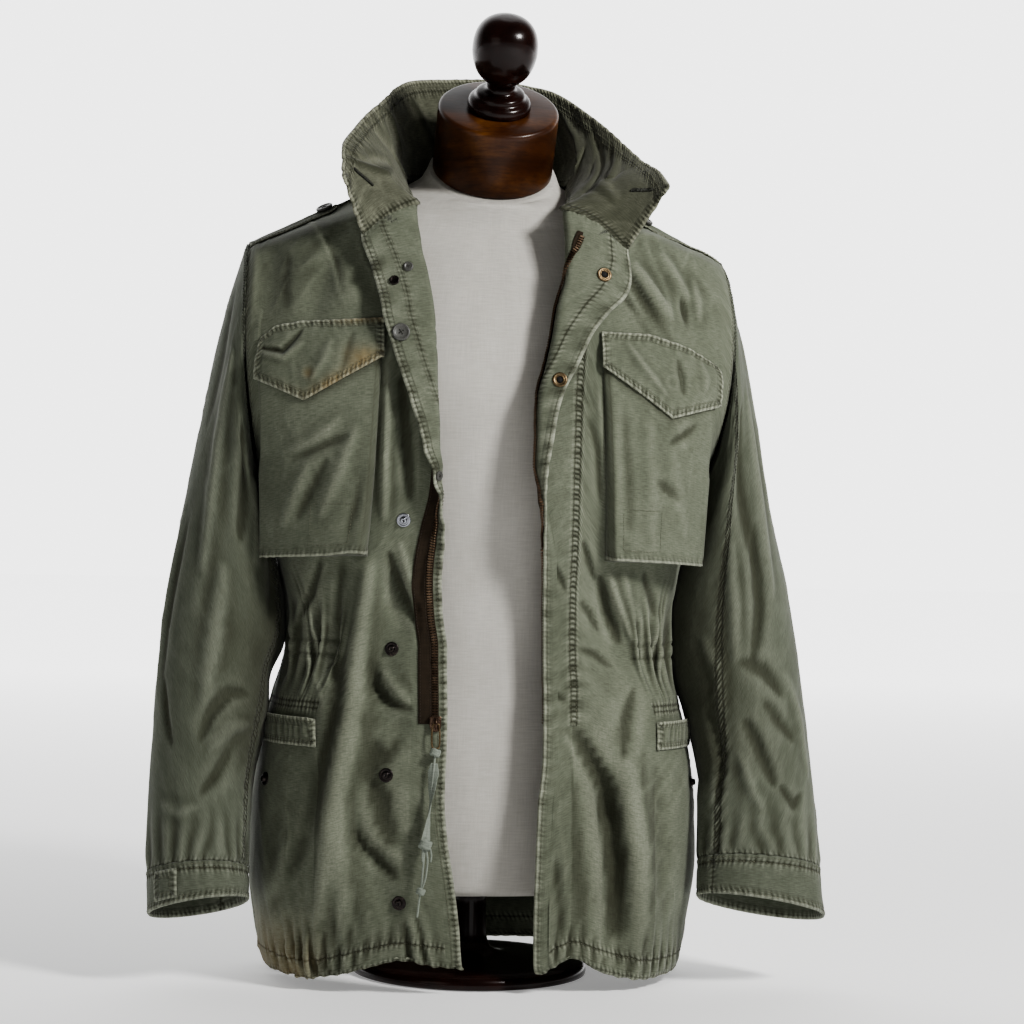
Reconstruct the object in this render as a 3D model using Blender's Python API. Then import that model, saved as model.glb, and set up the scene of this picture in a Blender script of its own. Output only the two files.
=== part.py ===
"""Field jacket worn open on a limbless dress form.

Every cloth piece is a thin closed sheet.  The panels share one set of body
sections, so neighbours meet edge to edge with a small seam gap.  Axes: x runs
to the viewer's right (the wearer's left), the front faces -y, z is up and the
stand's underside lies at z = 0.
"""

import math

import bpy
import numpy as np
from mathutils import Vector

# ---- driving dimensions, metres -------------------------------------------
CLOTH = 0.0016          # body and sleeve cloth with its turnings
COLLAR_WALL = 0.0030    # collar with the hood pouch folded in it
PATCH = 0.0014          # pockets, flaps, straps
TAPE = 0.0008           # zip tape
SEAM = 0.0004           # gap between neighbouring pieces
LIFT = 0.0007           # gap under a piece that lies on another
POWER = 2.6             # squareness of the body sections
BEND = 0.0055           # radius at which a lapel turns over
LAPEL_CURL = 1 / 0.35   # curvature of the turned part, 1/m
ARM_TOP = (0.2365, 0.0, 0.717)
ARM_BOTTOM = (0.2225, 0.0, 0.497)
ARM_DEPTH = 0.078       # half depth of the armhole
ARM_BULGE = 0.0095      # how far its front and back stand outward
WAIST_Z = 0.325
GATHER = 0.0032         # height of the waist gathers
HEAD_X = 0.006          # the neck leans slightly to one side
BLOCK_TILT = math.radians(35.8)
BLOCK_FOOT = (HEAD_X, 0.005, 0.8004)
BLOCK_R = 0.060
BLOCK_H = 0.070
STAND_R = 0.115

# x, y, z from the slider and radius of the cord, with its two knots
PULL_CORD = (
    (0.0000, -0.0098, -0.0241, 0.0014), (-0.0004, -0.0104, -0.0275, 0.0020),
    (-0.0012, -0.0116, -0.0350, 0.0021), (-0.0030, -0.0150, -0.0560, 0.0019),
    (-0.0060, -0.0185, -0.0860, 0.0018), (-0.0085, -0.0200, -0.1060, 0.0020),
    (-0.0088, -0.0203, -0.1110, 0.0042), (-0.0090, -0.0203, -0.1160, 0.0034),
    (-0.0096, -0.0202, -0.1200, 0.0017), (-0.0110, -0.0200, -0.1400, 0.0017),
    (-0.0118, -0.0198, -0.1500, 0.0018), (-0.0120, -0.0197, -0.1540, 0.0033),
    (-0.0124, -0.0196, -0.1580, 0.0026), (-0.0132, -0.0195, -0.1620, 0.0014),
    (-0.0150, -0.0190, -0.1800, 0.0014),
)
# z, half width, front depth, back depth of the body below the armholes
BODY = (
    (0.000, 0.2010, 0.1390, 0.1230),
    (0.030, 0.2075, 0.1430, 0.1270),
    (0.070, 0.2165, 0.1460, 0.1310),
    (0.120, 0.2215, 0.1480, 0.1330),
    (0.170, 0.2205, 0.1470, 0.1320),
    (0.220, 0.2145, 0.1430, 0.1270),
    (0.270, 0.2040, 0.1350, 0.1190),
    (0.325, 0.1905, 0.1220, 0.1060),
    (0.360, 0.1920, 0.1220, 0.1060),
    (0.400, 0.1990, 0.1260, 0.1110),
    (0.450, 0.2130, 0.1340, 0.1200),
    (0.497, 0.2225, 0.1400, 0.1260),
)
# row, height at the front fold, height at the side seam or armhole
FRONT_ROWS = (
    (0, 0.012, 0.014), (1, 0.060, 0.060), (2, 0.100, 0.100),
    (3, 0.140, 0.140), (4, 0.178, 0.178), (5, 0.213, 0.213),
    (6, 0.235, 0.235), (7, 0.257, 0.257), (8, 0.283, 0.283),
    (9, 0.305, 0.305), (10, 0.325, 0.325), (11, 0.345, 0.345),
    (12, 0.378, 0.378), (13, 0.414, 0.414), (14, 0.440, 0.440),
    (15, 0.468, 0.468), (16, 0.497, 0.497), (17, 0.522, 0.508),
    (18, 0.550, 0.533), (19, 0.582, 0.563), (20, 0.613, 0.592),
    (21, 0.645, 0.620), (22, 0.680, 0.652), (23, 0.717, 0.682),
    (24, 0.755, 0.703), (25, 0.774, 0.7125), (26, 0.790, 0.717),
)
UNDERARM = 16           # row at the foot of the armhole
LAPEL_TOP = 24          # the lapel ends here; the neckline goes on
SHOULDER = 26           # row of the shoulder seam
NECK = 0.084            # half width of the neckline at the shoulder seam
NECK_BACK = 0.070       # how far the neckline runs behind the axis
NECK_Z = 0.790
# z, front depth at the fold above the armholes
FOLD_DEPTH = (
    (0.497, 0.1388), (0.540, 0.1375), (0.585, 0.1330), (0.630, 0.1255),
    (0.675, 0.1135), (0.715, 0.1005), (0.755, 0.0860), (0.774, 0.0460),
    (0.790, 0.0080),
)
# z, fold line x, lapel width, turn in degrees: wearer's right front
RIGHT_FOLD = (
    (0.010, 0.0375, 0.0140, 0), (0.068, 0.0440, 0.0140, 0),
    (0.108, 0.0500, 0.0140, 0), (0.148, 0.0567, 0.0140, 0),
    (0.185, 0.0600, 0.0140, 0), (0.264, 0.0580, 0.0140, 0),
    (0.325, 0.0580, 0.0140, 0), (0.359, 0.0628, 0.0140, 0),
    (0.400, 0.0655, 0.0145, 6), (0.440, 0.0625, 0.0165, 50),
    (0.474, 0.0590, 0.0200, 112), (0.519, 0.0625, 0.0270, 158),
    (0.565, 0.0650, 0.0380, 170), (0.613, 0.0665, 0.0530, 172),
    (0.649, 0.0690, 0.0600, 172), (0.685, 0.0745, 0.0590, 172),
    (0.711, 0.0800, 0.0580, 170), (0.755, 0.0850, 0.0630, 165),
    (0.774, 0.0845, 0.0630, 165), (0.790, 0.0840, 0.0630, 165),
)
# the same for the wearer's left front
LEFT_FOLD = (
    (0.010, 0.0640, 0.0140, 0), (0.042, 0.0585, 0.0140, 0),
    (0.082, 0.0576, 0.0140, 0), (0.122, 0.0581, 0.0140, 0),
    (0.175, 0.0593, 0.0140, 0), (0.228, 0.0639, 0.0140, 0),
    (0.308, 0.0645, 0.0140, 0), (0.374, 0.0630, 0.0140, 4),
    (0.414, 0.0605, 0.0145, 25), (0.445, 0.0540, 0.0160, 70),
    (0.480, 0.0450, 0.0180, 122), (0.510, 0.0410, 0.0230, 155),
    (0.545, 0.0410, 0.0280, 168), (0.573, 0.0440, 0.0320, 172),
    (0.601, 0.0510, 0.0390, 172), (0.629, 0.0570, 0.0460, 172),
    (0.657, 0.0620, 0.0580, 172), (0.687, 0.0700, 0.0680, 172),
    (0.720, 0.0715, 0.0730, 170), (0.755, 0.0700, 0.0720, 165),
    (0.774, 0.0790, 0.0720, 165), (0.790, 0.0840, 0.0720, 165),
)
# z, storm flap seam, pocket inner line, pocket outer line (distance from centre)
GUIDES = (
    (0.000, 0.0800, 0.1600, 0.1880), (0.200, 0.0790, 0.1620, 0.1910),
    (0.257, 0.0790, 0.1640, 0.1880), (0.300, 0.0790, 0.1460, 0.1760),
    (0.325, 0.0785, 0.1360, 0.1730), (0.360, 0.0780, 0.1280, 0.1780),
    (0.414, 0.0775, 0.1195, 0.1960), (0.450, 0.0770, 0.1180, 0.2030),
    (0.497, 0.0765, 0.1160, 0.2110), (0.555, 0.0770, 0.1140, 0.2200),
    (0.600, 0.0795, 0.1120, 0.2250), (0.645, 0.0870, 0.1125, 0.2240),
    (0.690, 0.0940, 0.1170, 0.2160), (0.755, 0.1010, 0.1250, 0.2050),
    (0.790, 0.1040, 0.1320, 0.1980),
)
LEFT_SHIFT = (0.0120, 0.0070)   # the left chest pocket sits nearer the centre
STRIP, SPLIT, PIN, POUT, SIDE = 5, 7, 9, 15, 18   # column numbers
# x, hem height: wearer's right front, then left front
RIGHT_HEM = ((0.024, 0.026), (0.050, 0.031), (0.083, 0.036), (0.110, 0.027),
             (0.140, 0.016), (0.170, 0.010), (0.200, 0.012), (0.230, 0.014))
LEFT_HEM = ((0.040, 0.020), (0.052, 0.021), (0.066, 0.031), (0.083, 0.039),
            (0.105, 0.026), (0.135, 0.015), (0.165, 0.010), (0.230, 0.014))
# large folds: side, x and z of the upper end, of the lower end, half width,
# height (positive stands out, negative sinks in)
FOLDS = (
    (-1, 0.116, 0.405, 0.150, 0.160, 0.020, 0.0075),
    (-1, 0.150, 0.160, 0.160, 0.040, 0.022, 0.0050),
    (-1, 0.097, 0.380, 0.130, 0.170, 0.016, -0.0060),
    (-1, 0.112, 0.410, 0.086, 0.350, 0.010, -0.0045),
    (-1, 0.125, 0.300, 0.092, 0.255, 0.014, -0.0055),
    (-1, 0.150, 0.730, 0.176, 0.650, 0.013, -0.0055),
    (-1, 0.215, 0.700, 0.219, 0.655, 0.012, -0.0050),
    (-1, 0.128, 0.150, 0.098, 0.090, 0.014, -0.0050),
    (1, 0.079, 0.235, 0.108, 0.180, 0.015, -0.0060),
    (1, 0.108, 0.180, 0.121, 0.045, 0.018, -0.0080),
    (1, 0.100, 0.385, 0.124, 0.320, 0.014, -0.0060),
    (1, 0.136, 0.230, 0.150, 0.060, 0.022, 0.0065),
    (1, 0.118, 0.722, 0.162, 0.640, 0.012, 0.0050),
    (1, 0.190, 0.695, 0.196, 0.650, 0.012, -0.0045),
    (1, 0.092, 0.290, 0.118, 0.255, 0.012, 0.0045),
)
# ring, outer x y z, inner x y z, half depth, forward tilt in degrees
RIGHT_SLEEVE = (
    (0, *ARM_TOP, *ARM_BOTTOM, 0.0780, 0),
    (1, 0.2445, 0.000, 0.694, 0.2245, 0.000, 0.482, 0.0780, 0),
    (2, 0.2530, -0.001, 0.664, 0.2225, -0.001, 0.462, 0.0765, 0),
    (3, 0.2620, -0.002, 0.625, 0.2170, -0.003, 0.438, 0.0750, 0),
    (4, 0.2710, -0.001, 0.578, 0.2085, -0.003, 0.410, 0.0700, 2),
    (5, 0.2810, -0.003, 0.526, 0.2010, -0.006, 0.378, 0.0665, 4),
    (6, 0.2910, -0.008, 0.472, 0.1985, -0.011, 0.345, 0.0640, 6),
    (7, 0.3005, -0.015, 0.418, 0.2015, -0.019, 0.311, 0.0620, 9),
    (8, 0.3085, -0.024, 0.364, 0.2095, -0.029, 0.277, 0.0595, 12),
    (9, 0.3140, -0.033, 0.310, 0.2165, -0.039, 0.243, 0.0565, 14),
    (10, 0.3175, -0.042, 0.258, 0.2195, -0.047, 0.209, 0.0540, 16),
    (11, 0.3200, -0.050, 0.204, 0.2225, -0.053, 0.173, 0.0515, 17),
    (12, 0.3212, -0.057, 0.152, 0.2235, -0.058, 0.138, 0.0495, 18),
    (13, 0.3215, -0.062, 0.106, 0.2240, -0.062, 0.110, 0.0480, 18),
)
LEFT_SLEEVE = (
    (0, *ARM_TOP, *ARM_BOTTOM, 0.0780, 0),
    (1, 0.2440, 0.000, 0.693, 0.2245, 0.000, 0.482, 0.0780, 0),
    (2, 0.2520, -0.001, 0.661, 0.2225, -0.002, 0.462, 0.0765, 0),
    (3, 0.2615, -0.003, 0.618, 0.2170, -0.005, 0.438, 0.0750, 0),
    (4, 0.2720, -0.004, 0.567, 0.2085, -0.006, 0.410, 0.0700, 2),
    (5, 0.2835, -0.008, 0.511, 0.2010, -0.011, 0.378, 0.0660, 4),
    (6, 0.2955, -0.015, 0.453, 0.1985, -0.019, 0.345, 0.0630, 6),
    (7, 0.3065, -0.025, 0.396, 0.2020, -0.030, 0.311, 0.0600, 9),
    (8, 0.3155, -0.036, 0.340, 0.2085, -0.042, 0.279, 0.0575, 12),
    (9, 0.3215, -0.048, 0.286, 0.2145, -0.055, 0.247, 0.0545, 14),
    (10, 0.3255, -0.060, 0.236, 0.2165, -0.066, 0.214, 0.0510, 15),
    (11, 0.3295, -0.070, 0.190, 0.2135, -0.074, 0.182, 0.0475, 16),
    (12, 0.3330, -0.078, 0.150, 0.2135, -0.080, 0.152, 0.0445, 17),
    (13, 0.3355, -0.083, 0.114, 0.2130, -0.084, 0.124, 0.0425, 18),
)
RIGHT_CUFF_END = (0.3205, -0.067, 0.067, 0.2230, -0.067, 0.081, 0.0475, 18)
LEFT_CUFF_END = (0.3400, -0.090, 0.068, 0.2115, -0.091, 0.090, 0.0415, 18)
# collar top edge: fraction of the collar's length, x, y, z
COLLAR_TOP = (
    (0.00, -0.1530, -0.1240, 0.7740), (0.07, -0.1520, -0.0980, 0.8000),
    (0.17, -0.1360, -0.0520, 0.8290), (0.30, -0.1080, -0.0060, 0.8620),
    (0.40, -0.0720, 0.0520, 0.8930), (0.50, 0.0060, 0.0880, 0.9030),
    (0.60, 0.0690, 0.0620, 0.8910), (0.70, 0.1090, 0.0080, 0.8560),
    (0.83, 0.1430, -0.0440, 0.8130), (0.93, 0.1600, -0.0860, 0.7910),
    (1.00, 0.1645, -0.1140, 0.7760),
)
COLLAR_ROWS = 4
# the form: z of the ring's centre, its y, tilt, half width, front, back, power
TORSO = (
    (0.088, 0.000, 0, 0.1500, 0.0960, 0.0900, 2.3), (0.093, 0.000, 0, 0.1560, 0.1010, 0.0950, 2.3),
    (0.150, 0.000, 0, 0.1640, 0.1070, 0.1020, 2.3), (0.225, 0.000, 0, 0.1590, 0.1030, 0.0990, 2.3),
    (0.320, 0.000, 0, 0.1420, 0.0920, 0.0860, 2.3), (0.400, 0.000, 0, 0.1460, 0.0960, 0.0880, 2.3),
    (0.490, 0.000, 0, 0.1660, 0.1100, 0.0960, 2.3), (0.570, 0.000, 0, 0.1790, 0.1140, 0.1000, 2.3),
    (0.630, 0.000, 0, 0.1880, 0.1050, 0.0980, 2.2), (0.680, 0.000, 0, 0.1970, 0.0880, 0.0890, 2.1),
    (0.712, 0.000, 0, 0.2010, 0.0730, 0.0760, 2.0), (0.729, 0.000, 0, 0.1960, 0.0640, 0.0600, 1.9),
    (0.7400, 0.000, 0, 0.1760, 0.0610, 0.0580, 1.7), (0.7530, 0.001, 3, 0.1480, 0.0630, 0.0560, 1.6),
    (0.7660, 0.002, 8, 0.1180, 0.0660, 0.0540, 1.6), (0.7780, 0.003, 16, 0.0890, 0.0670, 0.0530, 1.6),
    (0.7880, 0.004, 26, 0.0705, 0.0665, 0.0530, 1.7), (0.7945, 0.005, 32, 0.0665, 0.0655, 0.0550, 1.9),
    (0.8000, 0.005, 35.8, 0.0635, 0.0635, 0.0600, 2.0),
)
TORSO_AROUND = 24


# ---- small maths -----------------------------------------------------------
def curve(table, column):
    """Smooth shape-preserving curve through one column of a table."""
    xs = np.array([row[0] for row in table], float)
    ys = np.array([row[column] for row in table], float)
    step = np.diff(xs)
    slope = np.diff(ys) / step
    tangent = np.empty_like(ys)
    tangent[0] = slope[0]
    tangent[-1] = slope[-1]
    product = slope[:-1] * slope[1:]
    w1 = 2 * step[1:] + step[:-1]
    w2 = step[1:] + 2 * step[:-1]
    safe = np.where(product > 0, product, 1.0)
    mean = (w1 + w2) / (w1 / np.where(product > 0, slope[:-1], 1.0)
                        + w2 / np.where(product > 0, slope[1:], 1.0))
    tangent[1:-1] = np.where(safe * (product > 0) > 0, mean, 0.0)

    def value(x):
        """The curve at x, held level past both ends."""
        x = np.clip(np.asarray(x, float), xs[0], xs[-1])
        i = np.clip(np.searchsorted(xs, x, side="right") - 1, 0, len(xs) - 2)
        h = step[i]
        t = (x - xs[i]) / h
        return (ys[i] * (1 + 2 * t) * (1 - t) ** 2 + tangent[i] * h * t * (1 - t) ** 2
                + ys[i + 1] * t * t * (3 - 2 * t) + tangent[i + 1] * h * t * t * (t - 1))

    return value


def ease(x, low, high):
    """0 below low, 1 above high, smooth between."""
    t = np.clip((np.asarray(x, float) - low) / (high - low), 0.0, 1.0)
    return t * t * (3 - 2 * t)


def unit(v):
    """Rows of v scaled to length one."""
    return v / np.maximum(np.linalg.norm(v, axis=-1, keepdims=True), 1e-12)


# ---- body sections ----------------------------------------------------------
BODY_WIDTH = curve(BODY, 1)
BODY_FRONT = curve(BODY, 2)
BODY_BACK = curve(BODY, 3)
ROW_FOLD_Z = curve(FRONT_ROWS, 1)
ROW_SIDE_Z = curve(FRONT_ROWS, 2)
FOLD_Y = curve(FOLD_DEPTH, 1)
GUIDE_SPLIT = curve(GUIDES, 1)
GUIDE_PIN = curve(GUIDES, 2)
GUIDE_POUT = curve(GUIDES, 3)


def armhole(turn):
    """Point of the right-hand armhole loop: 0 underarm, 90 front, 180 top."""
    turn = np.asarray(turn, float)
    top = np.array(ARM_TOP)
    bottom = np.array(ARM_BOTTOM)
    middle = (top + bottom) / 2
    p = middle + np.cos(turn)[..., None] * (bottom - middle)
    p[..., 0] += ARM_BULGE * np.sin(turn) ** 2
    p[..., 1] -= ARM_DEPTH * np.sin(turn)
    return p


def armhole_turn(z):
    """Turn, 0 to pi, at which the loop stands at height z."""
    middle = (ARM_TOP[2] + ARM_BOTTOM[2]) / 2
    half = (ARM_TOP[2] - ARM_BOTTOM[2]) / 2
    return np.arccos(np.clip((middle - z) / half, -1.0, 1.0))


def side_point(z, sign):
    """Side seam or armhole edge at height z; sign -1 gives the front edge."""
    over = z > ARM_BOTTOM[2]
    loop = armhole(armhole_turn(z))
    x = np.where(over, loop[..., 0], BODY_WIDTH(z))
    y = np.where(over, loop[..., 1] * -sign, 0.0)
    return x, y


def section(xi, yi, xo, yo):
    """Superellipse through an inner and an outer point: a^-n, f^-n."""
    n = POWER
    u1, v1 = np.abs(xi) ** n, np.abs(yi) ** n
    u2, v2 = np.abs(xo) ** n, np.abs(yo) ** n
    det = u1 * v2 - u2 * v1
    p = (v2 - v1) / det
    q = (u1 - u2) / det
    return p, q


def seam_y(x):
    """Depth of the shoulder seam at distance x from the centre."""
    return -0.008 * np.clip((ARM_TOP[0] - x) / (ARM_TOP[0] - NECK), 0, 1)


def seam_z(x):
    """Height of the shoulder seam at distance x from the centre."""
    share = np.clip((ARM_TOP[0] - x) / (ARM_TOP[0] - NECK), 0, 1)
    return ARM_TOP[2] + (NECK_Z - ARM_TOP[2]) * share


def front_fold(sign):
    """Fold curves of one front: x, width, turn."""
    table = LEFT_FOLD if sign > 0 else RIGHT_FOLD
    return curve(table, 1), curve(table, 2), curve(table, 3)


def front_surface(sign, row, col):
    """Points and outward directions of one front at rows and columns."""
    row, col = np.broadcast_arrays(np.asarray(row, float), np.asarray(col, float))
    fold_x, lapel, turn = front_fold(sign)
    zq = ROW_FOLD_Z(row)
    za = ROW_SIDE_Z(row)
    xq = fold_x(zq)
    upper = row > UNDERARM
    low_y = -BODY_FRONT(zq) * (1 - (xq / BODY_WIDTH(zq)) ** POWER) ** (1 / POWER)
    yq = np.where(upper, -FOLD_Y(zq), low_y)
    xa, ya = side_point(za, -1)
    p, q = section(xq, yq, xa, np.minimum(ya, -1e-4))
    wide = p ** (-1 / POWER)
    deep = q ** (-1 / POWER)

    def angle(x):
        return np.arcsin(np.clip((x / wide) ** (POWER / 2), 0, 1))

    zg = (zq + za) / 2
    shift = ease(zg, 0.34, 0.41) * (1 - ease(zg, 0.66, 0.72)) * (sign > 0)
    marks = np.stack([angle(xq), angle(GUIDE_SPLIT(zg)),
                      angle(GUIDE_PIN(zg) - LEFT_SHIFT[0] * shift),
                      angle(GUIDE_POUT(zg) - LEFT_SHIFT[1] * shift), angle(xa)], -1)
    stops = (STRIP, SPLIT, PIN, POUT, SIDE)
    c = np.clip(col, STRIP, SIDE)
    ang = marks[..., 4]
    for k in range(4):
        t = (c - stops[k]) / (stops[k + 1] - stops[k])
        here = (c >= stops[k]) & (c < stops[k + 1])
        ang = np.where(here, marks[..., k] * (1 - t) + marks[..., k + 1] * t, ang)
    x = wide * np.sin(ang) ** (2 / POWER)
    y = -deep * np.maximum(np.cos(ang), 0) ** (2 / POWER)
    z = zq + (za - zq) * np.clip((x - xq) / np.maximum(xa - xq, 1e-6), 0, 1)
    near = ease(row, SHOULDER - 1.5, SHOULDER)
    y = y * (1 - near) + seam_y(x) * near
    slope = (deep / wide) * (x / wide) ** (POWER - 1) * np.maximum(
        1 - (x / wide) ** POWER, 1e-4) ** (1 / POWER - 1)
    tangent = unit(np.stack([np.ones_like(x), slope], -1))
    out = np.stack([tangent[..., 1], -tangent[..., 0], np.zeros_like(x)], -1)
    base = np.stack([x, y, z], -1)

    # the strip beyond the fold line: straight below the break, a lapel above
    width = lapel(zq)
    angle_max = np.radians(turn(zq))
    bend = np.minimum(BEND * math.radians(172), 0.62 * width)
    s = np.clip(STRIP - col, 0, STRIP)
    dist = np.where(s <= 3, bend * s / 3, bend + (width - bend) * (0.45 * (s - 3)))
    dist = np.where(s > 4, bend + (width - bend) * (0.45 + 0.55 * (s - 4)), dist)
    turned = BEND * angle_max
    curl = LAPEL_CURL * angle_max / math.radians(172) + 1e-4
    th1 = np.minimum(dist, turned) / BEND
    rest = np.maximum(dist - turned, 0)
    th2 = angle_max + curl * rest
    along = BEND * np.sin(th1) + np.where(rest > 0, (np.sin(th2) - np.sin(angle_max)) / curl, 0)
    lift = BEND * (1 - np.cos(th1)) + np.where(
        rest > 0, (np.cos(angle_max) - np.cos(th2)) / curl, 0)
    heading = np.where(rest > 0, th2, th1)
    inward = -tangent
    drop = 0.55 * ease(zq, 0.62, 0.755) * dist * dist / width
    strip = base + np.stack([inward[..., 0] * along + out[..., 0] * lift,
                             inward[..., 1] * along + out[..., 1] * lift, -drop], -1)
    facing = np.stack(
        [out[..., 0] * np.cos(heading) - inward[..., 0] * np.sin(heading),
         out[..., 1] * np.cos(heading) - inward[..., 1] * np.sin(heading),
         np.zeros_like(x)], -1)
    on_strip = (col < STRIP)[..., None]
    points = np.where(on_strip, strip, base)
    facing = np.where(on_strip, facing, out)

    # hem line
    hem = LEFT_HEM if sign > 0 else RIGHT_HEM
    share = np.clip(1 - row, 0, 1)
    hem_z = curve(hem, 1)(points[..., 0])
    points[..., 2] += share * (hem_z - points[..., 2])

    # folds and gathers, fading out at the seams
    height = np.zeros_like(x)
    for side, x0, z0, x1, z1, half, tall in FOLDS:
        if side == sign:
            height += tall * ridge(points[..., 0], points[..., 2], x0, z0, x1, z1, half)
    waist = np.exp(-((points[..., 2] - WAIST_Z) / 0.030) ** 2)
    zone = ease(col, 8.0, 10.0)
    height += GATHER * waist * zone * np.cos(math.pi * col)
    if sign < 0:
        low = np.exp(-np.maximum(points[..., 2] - 0.02, 0) / 0.030)
        height += 0.0025 * low * ease(col, 6, 8) * (1 - ease(col, 13, 15)) * np.cos(math.pi * col)
    keep = ease(SIDE - col, 0.0, 1.6) * ease(SHOULDER - row, 0.0, 3.0) * ease(col, 3.9, 6.5)
    points = points + facing * (height * keep)[..., None]
    points[..., 0] *= sign
    facing = facing * np.array([sign, 1, 1])
    return points, facing


def ridge(x, z, x0, z0, x1, z1, half):
    """Soft ridge of height one along a segment of the front."""
    dx, dz = x1 - x0, z1 - z0
    length = math.hypot(dx, dz)
    t = ((x - x0) * dx + (z - z0) * dz) / length ** 2
    across = (-(x - x0) * dz + (z - z0) * dx) / length
    over = np.maximum(np.abs(t - 0.5) - 0.5, 0) * length
    return np.exp(-(across / half) ** 2 - (over / (1.2 * half)) ** 2)


BACK_COLS = 20


def back_surface(row, col):
    """Points of the back: columns run from the wearer's right side to the left."""
    row, col = np.broadcast_arrays(np.asarray(row, float), np.asarray(col, float))
    za = ROW_SIDE_Z(row)
    low = np.minimum(za, ARM_BOTTOM[2])
    wide = BODY_WIDTH(low)
    deep = BODY_BACK(low)
    u = col / BACK_COLS * 2 - 1
    ang = u * math.pi / 2
    x0 = np.sign(u) * wide * np.abs(np.sin(ang)) ** (2 / POWER)
    y0 = deep * np.maximum(np.cos(ang), 0) ** (2 / POWER)
    # top row: the neckline over three columns each side, then the shoulder seams
    out = np.abs(u) * BACK_COLS / 2
    bow = np.minimum(out, 3.0) / 3.0 * math.pi / 2
    seam = np.maximum(out - 3.0, 0.0) / (BACK_COLS / 2 - 3.0)
    xt = np.sign(u) * (NECK * np.sin(bow) + (ARM_TOP[0] - NECK) * seam)
    yt = np.where(seam > 0, seam_y(np.abs(xt)), -0.008 + (NECK_BACK + 0.008) * np.cos(bow))
    zt = np.where(seam > 0, seam_z(np.abs(xt)), NECK_Z + 0.012 * np.cos(bow) ** 2)
    w = np.clip((row - UNDERARM) / (SHOULDER - UNDERARM), 0, 1)
    rise = np.sin(w * math.pi / 2)
    x = x0 * (1 - w) + xt * w
    y = yt + (y0 - yt) * np.maximum(1 - w ** 2.2, 0) ** 0.62
    z = np.where(w > 0, low + (zt - low) * (0.35 * w + 0.65 * rise), za)
    # the side columns follow the armhole
    xa, ya = side_point(za, 1)
    plain_x = BODY_WIDTH(low) * (1 - w) + ARM_TOP[0] * w
    plain_z = low + (ARM_TOP[2] - low) * (0.35 * w + 0.65 * rise)
    near = np.where(w > 0, ease(np.abs(u), 0.45, 1.0) ** 1.5, 0)
    x = x + np.sign(u) * (xa - plain_x) * near
    y = y + ya * near
    z = z + np.where(w > 0, (za - plain_z), 0) * near
    share = np.clip(1 - row, 0, 1)
    z = z + share * (0.014 - z)
    waist = np.exp(-((z - WAIST_Z) / 0.030) ** 2)
    edge = ease(col, 0, 1.6) * ease(BACK_COLS - col, 0, 1.6)
    height = GATHER * waist * np.cos(math.pi * col) * edge
    out = unit(np.stack([x / 0.21 ** 2, y / 0.13 ** 2], -1))
    return np.stack([x + out[..., 0] * height, y + out[..., 1] * height + SEAM, z], -1)


def sleeve_surface(sign, ring, turn):
    """Points of one sleeve: turn 0 is the inner side, 90 the front, 180 the outer."""
    table = LEFT_SLEEVE if sign > 0 else RIGHT_SLEEVE
    ring, turn = np.broadcast_arrays(np.asarray(ring, float), np.asarray(turn, float))
    outer = np.stack([curve(table, k)(ring) for k in (1, 2, 3)], -1)
    inner = np.stack([curve(table, k)(ring) for k in (4, 5, 6)], -1)
    depth = curve(table, 7)(ring)
    tilt = np.radians(curve(table, 8)(ring))
    return ring_points(outer, inner, depth, tilt, turn, sign, ARM_BULGE * np.exp(-ring / 4.0))


def ring_points(outer, inner, depth, tilt, turn, sign, bulge):
    """Ring through an outer and an inner point with a half depth."""
    middle = (outer + inner) / 2
    c, s = np.cos(turn)[..., None], np.sin(turn)[..., None]
    forward = np.stack([np.zeros_like(tilt), -np.cos(tilt), np.sin(tilt)], -1)
    p = middle + (inner - middle) * c + forward * (depth[..., None] * s)
    p[..., 0] += bulge * np.sin(turn) ** 2
    p[..., 0] *= sign
    return p


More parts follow.
